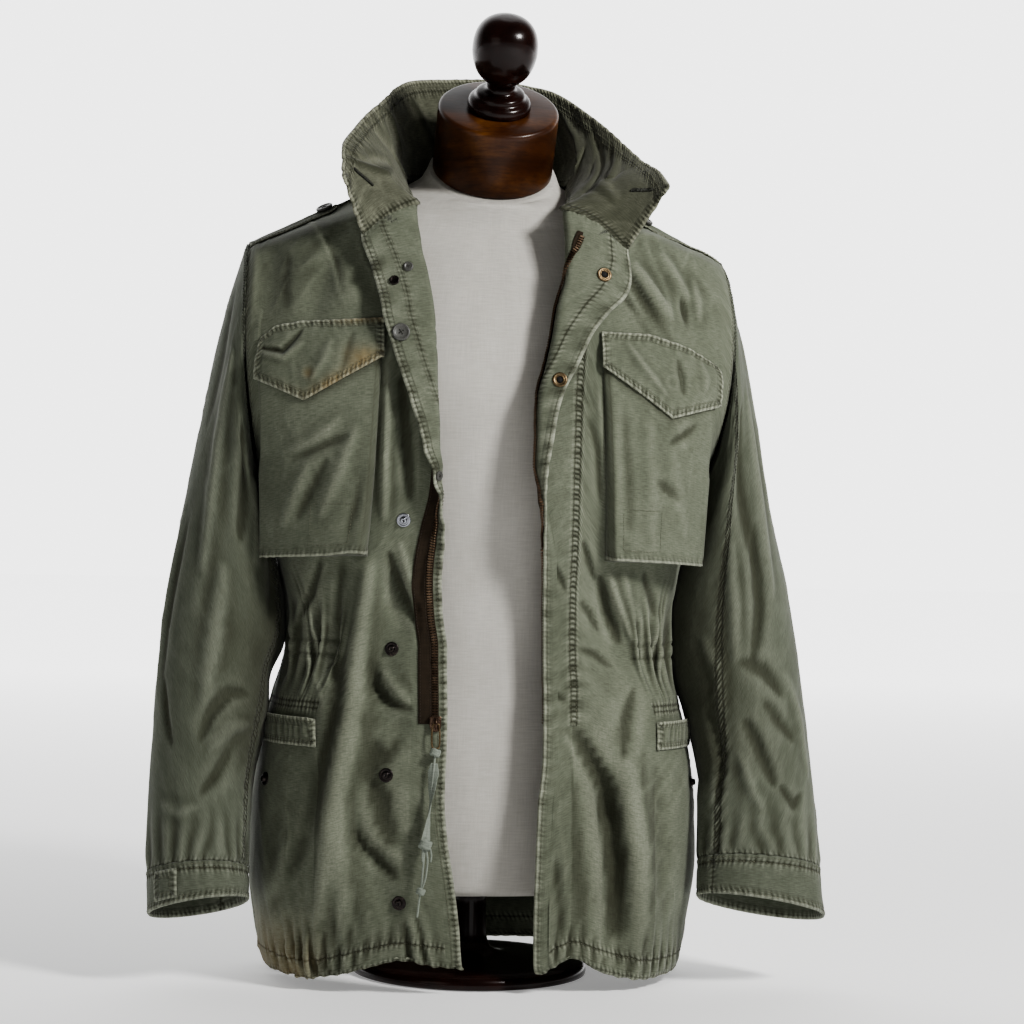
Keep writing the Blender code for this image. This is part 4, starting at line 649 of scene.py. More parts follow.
class CollarSurface:
    """The standing collar: rows climb from the neck seam, columns go round the neck."""

    def __init__(self, right: FrontSurface, left: FrontSurface, back: BackSurface) -> None:
        """Trace the neck seam over the lapel tops and round the back.

        Args:
            right: the wearer's right front.
            left: the wearer's left front.
            back: the back.
        """
        up = np.linspace(LAPEL_TOP, SHOULDER, 30)
        lapel = np.linspace(0, STRIP, 60)
        half = BACK_COLS // 2
        route = [right.points(np.full(60, LAPEL_TOP), lapel)[0],
                 right.points(up, np.full(30, STRIP))[0][1:],
                 back.points(np.full(80, SHOULDER), np.linspace(half - 2.9, half + 2.9, 80))[0],
                 left.points(up[::-1], np.full(30, STRIP))[0],
                 left.points(np.full(60, LAPEL_TOP), lapel[::-1])[0][1:]]
        line = np.concatenate(route)
        run = run_of(line)
        self.share, self.line = run / run[-1], line

    def points(self, row: Array, col: Array) -> tuple[Array, Array]:
        """Points and outward directions at heights and places from 0 to 1.

        Args:
            row: shares of the height.
            col: places from one end to the other, 0 to 1.

        Returns:
            points, and outward directions.
        """
        row, col = np.broadcast_arrays(np.asarray(row, float), np.asarray(col, float))
        base = placed(col, self.share, self.line)
        top = np.stack([Curve(COLLAR_TOP, k)(col) for k in (1, 2, 3)], -1)
        base = base + unit(top - base) * 0.0012
        points = base * (1 - row[..., None]) + top * row[..., None]
        middle = (top + base) / 2 - np.array([HEAD_X, -0.01, 0.0])
        return points, unit(middle * np.array([1, 1, 0]))


# ---- meshes ------------------------------------------------------------------------
def link(obj: Piece, body: str = JACKET) -> Piece:
    """Put an object in the scene and let it ride on a body."""
    bpy.context.scene.collection.objects.link(obj)
    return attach(obj, body)


def mesh_object(name: str, verts: Array, faces: Array, finish: Material,
                body: str = JACKET, smooth: bool = True) -> Piece:
    """Object from vertices and equal-sided faces, riding on a body.

    Args:
        name: the piece's name.
        verts: its vertices.
        faces: its faces, all with the same number of sides.
        finish: its material.
        body: the body that it rides on.
        smooth: whether it is shaded smooth.

    Returns:
        the new object.
    """
    mesh = bpy.data.meshes.new(name)
    verts, faces = np.asarray(verts, np.float32), np.asarray(faces, np.int32)
    sides = faces.shape[1]
    mesh.vertices.add(len(verts))
    mesh.vertices.foreach_set("co", verts.ravel())
    mesh.loops.add(faces.size)
    mesh.loops.foreach_set("vertex_index", faces.ravel())
    mesh.polygons.add(len(faces))
    mesh.polygons.foreach_set("loop_start", np.arange(0, faces.size, sides, dtype=np.int32))
    mesh.polygons.foreach_set("use_smooth", np.full(len(faces), smooth))
    mesh.update(calc_edges=True)
    mesh.validate()
    mesh.materials.append(finish)
    return link(bpy.data.objects.new(name, mesh), body)


def grid_faces(rows: int, cols: int, wrap: bool = True, closed: bool = False) -> Array:
    """Quads between neighbours in a grid of points.

    Args:
        rows: its rows.
        cols: points in each row.
        wrap: whether the end of a row meets its start.
        closed: whether the last row meets the first.

    Returns:
        four indices for each cell of the grid.
    """
    i, j = np.meshgrid(np.arange(rows if closed else rows - 1),
                       np.arange(cols if wrap else cols - 1), indexing="ij")
    k, m = (j + 1) % cols, (i + 1) % rows
    return np.stack([i * cols + j, i * cols + k, m * cols + k, m * cols + j], -1)


@dataclass
class Cloth:
    """A grid of cloth with the fields that shape and colour it."""

    surface: object
    rows: Array
    cols: Array
    closed: bool = False
    seed: int = 1
    cells: Array | None = None
    origin: tuple = (0.0, 0.0)
    height: Array = field(init=False)
    # paler colour where worn, and painted highlight on raised places and on the lit collar wing
    wear_and_painted_light: Array = field(init=False)
    # darker colour: mostly painted shade in creases, troughs, grooves and shaded parts, and a
    # darker patch near the right shoulder
    painted_shade_and_dirt: Array = field(init=False)
    stain: Array = field(init=False)
    lines: dict = field(init=False)

    def __post_init__(self) -> None:
        """Evaluate the surface and measure the grid."""
        self.r, self.c = np.meshgrid(self.rows, self.cols, indexing="ij")
        self.p, hint = self.surface.points(self.r, self.c)
        self.n, self.flip = self.normals(self.p, hint)
        across = np.linalg.norm(np.diff(self.p, axis=1), axis=2)
        down = np.linalg.norm(np.diff(self.p, axis=0), axis=2)
        zero = np.zeros((len(self.rows), 1))
        self.u = np.concatenate([zero, np.cumsum(across, axis=1)], axis=1)
        self.v = np.concatenate([np.zeros((1, len(self.cols))), np.cumsum(down, axis=0)])
        shape = self.r.shape
        self.height, self.wear_and_painted_light = np.zeros(shape), np.zeros(shape)
        self.painted_shade_and_dirt, self.stain = np.zeros(shape), np.zeros(shape)
        self.lines = {key: np.tile([1.0, 0.0, 0.0], (*shape, 1)) for key in ("seam", "rim")}

    def normals(self, p: Array, hint: Array) -> tuple[Array, bool]:
        """Grid normals on the hinted side, and whether the grid runs backwards.

        Args:
            p: the grid of points.
            hint: directions that point outward, roughly.

        Returns:
            unit normals, and whether the faces have to be turned round.
        """
        if self.closed:
            wide = np.concatenate([p[:, -1:], p, p[:, :1]], axis=1)
            along = (wide[:, 2:] - wide[:, :-2])
        else:
            along = np.gradient(p, axis=1)
        n = unit(np.cross(along, np.gradient(p, axis=0)))
        flip = bool(np.sum(n * hint) < 0)
        return (-n if flip else n), flip

    @property
    def x(self) -> Array:
        """Distance from the centre plane."""
        return np.abs(self.p[..., 0])

    @property
    def z(self) -> Array:
        """Height above the floor."""
        return self.p[..., 2]

    def from_col(self, col: float) -> Array:
        """Signed distance across the cloth from a column."""
        at = np.array([np.interp(col, self.cols, line) for line in self.u])
        return self.u - at[:, None]

    def from_row(self, row: float) -> Array:
        """Signed distance along the cloth from a row."""
        at = np.array([np.interp(row, self.rows, line) for line in self.v.T])
        return self.v - at[None, :]

    def girth(self) -> Array:
        """Length of each row."""
        return np.linalg.norm(np.diff(self.p, axis=1), axis=2).sum(axis=1, keepdims=True)

    def crease(self, a: Array, b: Array, line: tuple, half: float, tall: float,
               skew: float, where: Array | float) -> None:
        """Raise or sink a crease along a route, paler where raised, worn and as painted highlight,
        and darkened as painted shade where sunk.

        Args:
            a: first coordinate of every point of the cloth.
            b: second coordinate.
            line: the route's points in those coordinates.
            half: half width.
            tall: height; below zero the crease sinks in.
            skew: from -1 to 1, which flank is the steeper one.
            where: share of the crease that each point takes.
        """
        best = np.full(self.r.shape, 1e9)
        side = np.zeros(self.r.shape)
        place = np.zeros(self.r.shape)
        lengths = [math.dist(p, q) for p, q in zip(line, line[1:])]
        total, run = sum(lengths), 0.0
        for (a0, b0), (a1, b1), length in zip(line, line[1:], lengths):
            da, db = (a1 - a0) / length, (b1 - b0) / length
            t = np.clip((a - a0) * da + (b - b0) * db, 0, length)
            dist = np.hypot(a - a0 - t * da, b - b0 - t * db)
            across = (a - a0) * db - (b - b0) * da
            near = dist < best
            best = np.where(near, dist, best)
            side = np.where(near, np.tanh(across / half * 2), side)
            place = np.where(near, run + t, place)
            run += length
        taper = np.sin(np.clip(place / total, 0, 1) * math.pi) ** 0.6
        wide = 0.82 * half * (1 + skew * side) * (0.45 + 0.55 * taper)
        shape = np.exp(-(best / np.maximum(wide, 1e-5)) ** 2) * (0.25 + 0.75 * taper) * where
        self.height += DRAPE * tall * shape
        # raised creases paler where worn and as painted highlight, sunk ones darkened as painted
        # shade
        self.wear_and_painted_light += 0.15 * max(tall, 0) / 0.004 * shape ** 2
        self.painted_shade_and_dirt += 0.62 * max(-tall, 0) / 0.004 * shape

    def wave(self, d: Array, t: Array, reach: float, wave: float, tall: float,
             where: Array | float = 1.0) -> None:
        """Soft uneven ripples across a line, paler on their crests where worn and as painted
        highlight, and darkened in their troughs as painted shade.

        Args:
            d: distance from the line.
            t: place along it.
            reach: how far the ripples run from the line.
            wave: distance from one ripple to the next.
            tall: their height.
            where: share that each point takes.
        """
        self.seed += 3
        phase = t / wave + 0.9 * noise(t / (wave * 3), d / 0.05, self.seed)
        size = 0.62 + 0.38 * noise(t / (wave * 2.3), 0.0, self.seed + 1)
        ripple = np.sin(2 * math.pi * phase) * size * np.exp(-(np.abs(d) / reach) ** 1.6) * where
        self.height += tall * ripple
        # crests paler where worn and as painted highlight, troughs darkened as painted shade
        self.wear_and_painted_light += 0.20 * np.maximum(ripple, 0)
        self.painted_shade_and_dirt += 0.20 * np.maximum(-ripple, 0)

    def mark(self, key: str, d: Array, t: Array, where: Array | float, twin: bool = False) -> None:
        """Note the nearest sewn line of a kind: distance, place and strength, 2 more if twin.

        Args:
            key: the kind of line.
            d: distance from the line.
            t: place along it.
            where: strength at each point.
            twin: whether it has two rows, or one close one.
        """
        known = self.lines[key]
        near = (np.abs(d) < np.abs(known[..., 0])) & (np.broadcast_to(where, d.shape) > 0)
        strong = np.clip(2.4 * (1 - np.abs(d) / 0.016), 0, 1) * np.asarray(where)
        strong = strong + 2.0 * (strong > 0) * twin
        for k, value in enumerate((d, t, strong)):
            known[..., k] = np.where(near, value, known[..., k])

    def seam_line(self, d: Array, t: Array, where: Array | float, tall: float,
                  wave: float, twin: bool = False) -> None:
        """A sewn seam: its groove and short puckers are in the finish, long ones here.

        Args:
            d: distance from the seam.
            t: place along it.
            where: strength at each point.
            tall: height of its long puckers.
            wave: from one pucker to the next.
            twin: whether it is a lapped seam with two rows.
        """
        self.mark("seam", d, t, where, twin)
        self.wave(d, t, 0.0085, wave, tall, where)
        self.height -= 0.0007 * bell(d, 0.0026) * where

    def rim_line(self, d: Array, t: Array, tall: float, wave: float, fine: bool = False) -> None:
        """A turned and stitched edge, with one close row of stitches if fine.

        Args:
            d: distance from the edge.
            t: place along it.
            tall: height of its puckers.
            wave: from one pucker to the next.
            fine: whether it has one close row.
        """
        self.mark("rim", d, t, 1.0, fine)
        self.wave(d, t, 0.0090, wave, tall)
        self.height -= 0.0004 * bell(np.abs(d) - 0.0055, 0.0016)

    def wall(self) -> Array:
        """Wall thickness, fuller at the turned edges."""
        return CLOTH + (EDGE - CLOTH) * bell(self.lines["rim"][..., 0], 0.0065)

    def col_at(self, rows: Array, distance: float, start: float = 0.0) -> Array:
        """Columns at a distance from a column, for some rows.

        Args:
            rows: the rows.
            distance: distance across the cloth.
            start: the column to measure from.

        Returns:
            a column for each row.
        """
        from_start = self.from_col(start)
        lines = [np.interp(distance, line, self.cols) for line in from_start]
        return np.interp(rows, self.rows, lines)

    def row_at(self, cols: Array, distance: float, start: float = 0.0) -> Array:
        """Rows at a distance from a row, for some columns.

        Args:
            cols: the columns.
            distance: distance along the cloth.
            start: the row to measure from.

        Returns:
            a row for each column.
        """
        from_start = self.from_row(start)
        lines = [np.interp(distance, line, self.rows) for line in from_start.T]
        return np.interp(cols, self.cols, lines)

    def quads(self) -> Array:
        """Four indices for each cell in use."""
        cells = grid_faces(*self.r.shape, self.closed)
        return (cells if self.cells is None else cells[self.cells]).reshape(-1, 4)

    def grid(self) -> tuple[Array, Array]:
        """The dressed face as vertices and quads."""
        return self.moved().reshape(-1, 3), self.quads()

    def edges(self) -> tuple[tuple[Array, Array], ...]:
        """Distances from first and last row and column, each with the measure along it."""
        return ((self.from_row(self.rows[0]), self.u), (-self.from_row(self.rows[-1]), self.u),
                (self.from_col(self.cols[0]), self.v), (-self.from_col(self.cols[-1]), self.v))

    def hem(self, tall: float, wave: float, count: int = 4) -> None:
        """Turn and stitch the edges, or the first few of them."""
        for distance, along in self.edges()[:count]:
            self.rim_line(distance, along, tall, wave)

    def lay(self, lines: tuple, a: Array, b: Array, where: Array | float = 1.0,
            wide: float = 1.0, deep: float = 1.0) -> None:
        """Lay a set of creases.

        Args:
            lines: route, half width, height and skew of each.
            a: first coordinate of every point of the cloth.
            b: second coordinate.
            where: share of the creases that each point takes.
            wide: times their width.
            deep: times their height.
        """
        for line, half, tall, skew in lines:
            self.crease(a, b, line, wide * half, deep * tall, skew, where)

    def rumple(self, wave: float, tall: float, seed: int) -> None:
        """Uneven soft waves over the whole piece."""
        self.height += DRAPE * tall * clouds(self.u / wave, self.v / (wave * 1.5), seed)

    def wrinkle(self, wide: float, long: float, tall: float, lean: float, seed: int,
                where: Array | float = 1.0) -> None:
        """Scattered sharp wrinkles that run along one direction.

        Args:
            wide: distance across from one wrinkle to the next.
            long: how far one runs.
            tall: their height.
            lean: angle of the run from upright, in degrees.
            seed: which pattern.
            where: share that each point takes.
        """
        a, b = math.cos(math.radians(lean)), math.sin(math.radians(lean))
        across, along = self.u * a + self.v * b, self.v * a - self.u * b
        sway = 0.45 * noise(across / (2.5 * wide), along / long, seed + 3)
        line = noise(across / wide + sway, along / long, seed)
        ridge = np.clip(1 - 2.6 * np.abs(line), 0, 1) ** 2
        spots = ease(noise(across / (3 * wide), along / (1.2 * long), seed + 5), -0.15, 0.45)
        self.height += DRAPE * tall * ridge * spots * where

    def wear_and_shade_by_shape(self) -> None:
        """Pale the cloth where it stands out, worn and as painted highlight, and darken it as
        painted shade where it sinks in.
        """
        reach = 3
        edge = "wrap" if self.closed else "edge"
        wide = np.pad(np.pad(self.height, ((reach, reach), (0, 0)), "edge"),
                      ((0, 0), (reach, reach)), edge)
        rows, cols = self.height.shape
        around = sum(wide[i:i + rows, j:j + cols] for i in (0, reach, 2 * reach)
                     for j in (0, reach, 2 * reach)) / 9
        bend = (self.height - around) / 0.0010
        # paler where the cloth stands out, worn and as painted highlight; darker as painted shade
        # where it sinks in
        self.wear_and_painted_light += 0.28 * np.clip(bend, 0, 1.3)
        self.painted_shade_and_dirt += 0.60 * np.clip(-bend, 0, 1.2)

    def moved(self) -> Array:
        """The points with their height added."""
        return self.p + self.n * self.height[..., None]

    def at(self, row: Array, col: Array, height: Array | float = 0.0) -> tuple[Array, Array]:
        """Points and normals above the dressed cloth at rows and columns.

        Args:
            row: rows of the grid.
            col: its columns.
            height: height above the cloth.

        Returns:
            points and unit normals.
        """
        row, col = np.broadcast_arrays(np.asarray(row, float), np.asarray(col, float))
        i = np.interp(row, self.rows, np.arange(len(self.rows)))
        j = np.interp(col, self.cols, np.arange(len(self.cols)))
        i0 = np.clip(np.floor(i).astype(int), 0, len(self.rows) - 2)
        j0 = np.clip(np.floor(j).astype(int), 0, len(self.cols) - 2)
        fi, fj = (i - i0)[..., None], (j - j0)[..., None]

        def mix(a: Array) -> Array:
            """Bilinear value of a field of the grid."""
            return ((a[i0, j0] * (1 - fi) + a[i0 + 1, j0] * fi) * (1 - fj)
                    + (a[i0, j0 + 1] * (1 - fi) + a[i0 + 1, j0 + 1] * fi) * fj)

        n = unit(mix(self.n))
        return mix(self.moved()) + n * np.asarray(height)[..., None], n

    def shell(self, name: str, thick: Array | float, finish: Material,
              nodes: tuple = ()) -> Piece:
        """Closed shell with rounded rims, standing for its CAD nodes.

        Args:
            name: the piece's name.
            thick: wall thickness at each point.
            finish: its material.
            nodes: the CAD nodes that it replaces.

        Returns:
            the finished object.
        """
        self.wear_and_shade_by_shape()
        thick = np.broadcast_to(np.asarray(thick, float), self.r.shape)
        outer = self.moved()
        inner = outer - self.n * thick[..., None]
        quads = self.quads()[:, ::-1] if self.flip else self.quads()
        count = self.r.size
        start, end = quads.ravel(), np.roll(quads, -1, axis=1).ravel()
        rim = ~np.isin(start * count + end, end * count + start)
        start, end = start[rim], end[rim]
        flat_p, flat_i, flat_n = outer.reshape(-1, 3), inner.reshape(-1, 3), self.n.reshape(-1, 3)
        away = np.zeros((count, 3))
        push = np.cross(flat_p[end] - flat_p[start], flat_n[start])
        np.add.at(away, start, push)
        np.add.at(away, end, push)
        lip = np.unique(start)
        index = np.full(count, -1)
        index[lip] = 2 * count + np.arange(len(lip))
        half = thick.reshape(-1)[lip, None] * 0.5
        middle = (flat_p[lip] + flat_i[lip]) / 2 + unit(away[lip]) * half
        verts = np.concatenate([flat_p, flat_i, middle])
        faces = np.concatenate([
            quads, quads[:, ::-1] + count,
            np.stack([end, start, index[start], index[end]], -1),
            np.stack([index[end], index[start], start + count, end + count], -1)])
        used = np.zeros(len(verts), bool)
        used[faces.ravel()] = True
        remap = np.cumsum(used) - 1
        obj = mesh_object(name, verts[used], remap[faces], finish)
        tone = np.clip(np.stack([self.wear_and_painted_light, self.painted_shade_and_dirt, self.stain], -1), 0, 1)
        for key, values in (("tone", tone), *self.lines.items()):
            values = values.reshape(-1, 3)
            self.attribute(obj, key, np.concatenate([values, values, values[lip]])[used])
        uv = np.stack([self.u + self.origin[0], self.v + self.origin[1]], -1).reshape(-1, 2)
        self.unwrap(obj, np.concatenate([uv, uv, uv[lip]])[used])
        if nodes:
            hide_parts(*nodes)
        LOG.info("%s: %d faces, cloth %.4f m2", name, len(faces), self.area())
        return obj

    def area(self) -> float:
        """Area of the dressed face in square metres.

        Returns:
            the area.
        """
        verts, quads = self.grid()
        a, b, c, d = (verts[quads[:, k]] for k in range(4))
        return float(np.linalg.norm(np.cross(c - a, d - b), axis=1).sum() / 2)

    @staticmethod
    def attribute(obj: Piece, key: str, values: Array) -> None:
        """Store a vector for each vertex."""
        data = obj.data.attributes.new(key, "FLOAT_VECTOR", "POINT").data
        data.foreach_set("vector", values.astype(np.float32).ravel())

    @staticmethod
    def unwrap(obj: Piece, uv: Array) -> None:
        """Store the cloth's own measure, in metres, as its map.

        Args:
            obj: the piece.
            uv: place on the cloth for each vertex.
        """
        loops = np.zeros(len(obj.data.loops), np.int32)
        obj.data.loops.foreach_get("vertex_index", loops)
        layer = obj.data.uv_layers.new(name="cloth")
        layer.data.foreach_set("uv", uv[loops].astype(np.float32).ravel())


class Threads:
    """Stitches of one colour, gathered into a single mesh."""

    def __init__(self, name: str) -> None:
        """Start with no stitches.

        Args:
            name: name of the mesh.
        """
        self.name = name
        self.verts: list[Array] = []
        self.count = 0

    def run(self, cloth: Cloth, rows: Array, cols: Array, inside: float = 0.0,
            pitch: float = 0.0033, long: float = 0.0024, half: float = 0.00032) -> None:
        """Sew along a route on a piece of cloth.

        Args:
            cloth: the piece that carries the stitches.
            rows: the route's rows.
            cols: the route's columns.
            inside: wall thickness, to sew on the inner face.
            pitch: from one stitch to the next.
            long: a stitch's length.
            half: half its thickness.
        """
        t = np.linspace(0, 1, 400)
        s = np.linspace(0, 1, len(rows))
        p, n = cloth.at(np.interp(t, s, rows), np.interp(t, s, cols), -inside)
        if inside:
            n = -n
        run = run_of(p)
        at = np.arange(pitch / 2, run[-1] - pitch / 2, pitch)
        if not len(at):
            return

        mid, up = placed(at, run, p), unit(placed(at, run, n))
        along = unit(placed(at + long / 2, run, p) - placed(at - long / 2, run, p))
        across = np.cross(along, up)
        mid = mid + up * half * 0.5
        ring = []
        for share, wide in ((-0.5, 0.1), (-0.28, 1.0), (0.28, 1.0), (0.5, 0.1)):
            for ca, sa in ((0.95, -0.3), (0.0, 1.0), (-0.95, -0.3)):
                ring.append(mid + along * long * share + (across * ca + up * sa) * half * wide)
        self.verts.append(np.stack(ring, 1).reshape(-1, 3))
        self.count += len(at)

    def build(self, finish: Material) -> Piece:
        """Join the stitches into one object.

        Args:
            finish: the material of the thread.

        Returns:
            the stitches as one piece.
        """
        cell = [(a * 3 + b, a * 3 + (b + 1) % 3, a * 3 + 3 + (b + 1) % 3, a * 3 + 3 + b)
                for a in range(3) for b in range(3)]
        faces = (np.array(cell)[None] + 12 * np.arange(self.count)[:, None, None]).reshape(-1, 4)
        obj = mesh_object(self.name, np.concatenate(self.verts), faces, finish)
        LOG.info("%s: %d stitches", self.name, self.count)
        return obj


def turned(profile: tuple, foot: Array, axis: Array, around: int) -> tuple[Array, Array]:
    """Solid of revolution with caps as fans of quads.

    Args:
        profile: radius and height pairs from the foot up.
        foot: where it stands.
        axis: its direction.
        around: points round it.

    Returns:
        vertices and quads.
    """
    axis = unit(np.asarray(axis, float))
    side = unit(np.cross(axis, [0.31, 0.22, 0.93]))
    other = np.cross(axis, side)
    a = np.arange(around) * 2 * math.pi / around
    circle = np.cos(a)[:, None] * side + np.sin(a)[:, None] * other
    profile = ((1e-5, profile[0][1]), *profile, (1e-5, profile[-1][1]))
    rings = [np.asarray(foot) + axis * h + circle * r for r, h in profile]
    return np.concatenate(rings), grid_faces(len(profile), around).reshape(-1, 4)


def search_tree(parts: list[tuple[Array, Array]]) -> BVHTree:
    """Search tree over the faces of several meshes."""
    verts, faces = joined(parts)
    return BVHTree.FromPolygons(verts.tolist(), faces.tolist())


def face_tree(objects: list[Piece]) -> BVHTree:
    """Search tree over the faces of finished pieces made of quads.

    Args:
        objects: the pieces.

    Returns:
        the search tree.
    """
    parts = []
    for obj in objects:
        verts = np.zeros(3 * len(obj.data.vertices))
        faces = np.zeros(len(obj.data.loops), np.int32)
        obj.data.vertices.foreach_get("co", verts)
        obj.data.loops.foreach_get("vertex_index", faces)
        parts.append((verts.reshape(-1, 3), faces.reshape(-1, 4)))
    return search_tree(parts)


def joined(parts: list[tuple[Array, Array]]) -> tuple[Array, Array]:
    """Several meshes of quads as one.

    Args:
        parts: vertices and quads of each mesh.

    Returns:
        vertices and quads of them all.
    """
    verts, faces, count = [], [], 0
    for v, f in parts:
        verts.append(v)
        faces.append(f + count)
        count += len(v)
    return np.concatenate(verts), np.concatenate(faces)


def tube(points: Array, radii: Array, around: int = 10, closed: bool = False,
         flat: float = 1.0, twist: float = 0.0) -> tuple[Array, Array]:
    """Tube along points with a radius for each, capped unless closed.

    Args:
        points: its middle line.
        radii: its radius at each point.
        around: points round it.
        closed: whether its ends meet.
        flat: how much wider than thick it is.
        twist: turn from one end to the other, in radians.

    Returns:
        vertices and quads.
    """
    points, radii = np.asarray(points, float), np.asarray(radii, float)
    if closed:
        along = np.roll(points, -1, 0) - np.roll(points, 1, 0)
    else:
        along = np.gradient(points, axis=0)
    along = unit(along)
    up = unit(np.cross(along[0], [0.3, 0.9, 0.2]))
    rings = []
    a = np.arange(around) * 2 * math.pi / around
    wide, thin = math.sqrt(flat), 1 / math.sqrt(flat)
    for i, (p, d, r) in enumerate(zip(points, along, radii)):
        up = unit(up - d * np.dot(up, d))
        side = np.cross(d, up)
        t = twist * i / len(points)
        one, two = up * math.cos(t) + side * math.sin(t), side * math.cos(t) - up * math.sin(t)
        rings.append(p + r * (np.cos(a)[:, None] * one * wide + np.sin(a)[:, None] * two * thin))
    if not closed:
        rings = [np.tile(points[0], (around, 1)) + (rings[0] - points[0]) * 0.01, *rings,
                 np.tile(points[-1], (around, 1)) + (rings[-1] - points[-1]) * 0.01]
    faces = grid_faces(len(rings), around, closed=closed).reshape(-1, 4)
    return np.concatenate(rings), faces


def resample(points: Array, count: int) -> Array:
    """Smooth curve through points, evenly spaced.

    Args:
        points: the points that it passes.
        count: how many points it gets.

    Returns:
        the points of the curve.
    """
    points = np.asarray(points, float)
    run = run_of(points)
    t = np.linspace(0, run[-1], count)
    rows = tuple((r, *p) for r, p in zip(run, points))
    return np.stack([Curve(rows, k + 1)(t) for k in range(points.shape[1])], -1)


# ---- finishes ------------------------------------------------------------------------
Socket = bpy.types.NodeSocket


class Value:
    """Output of a node that adds, subtracts and multiplies like a number."""

    def __init__(self, graph: "Graph", socket: Socket) -> None:
        """Note the output and the graph that it is in."""
        self.graph = graph
        self.socket = socket

    def __add__(self, other: object) -> "Value":
        """Sum with another value or a number."""
        return self.graph.math("ADD", self, other)

    def __sub__(self, other: object) -> "Value":
        """Difference from another value or a number."""
        return self.graph.math("SUBTRACT", self, other)

    def __rsub__(self, other: object) -> "Value":
        """A number less this value."""
        return self.graph.math("SUBTRACT", other, self)

    def __mul__(self, other: object) -> "Value":
        """Product with another value or a number."""
        return self.graph.math("MULTIPLY", self, other)


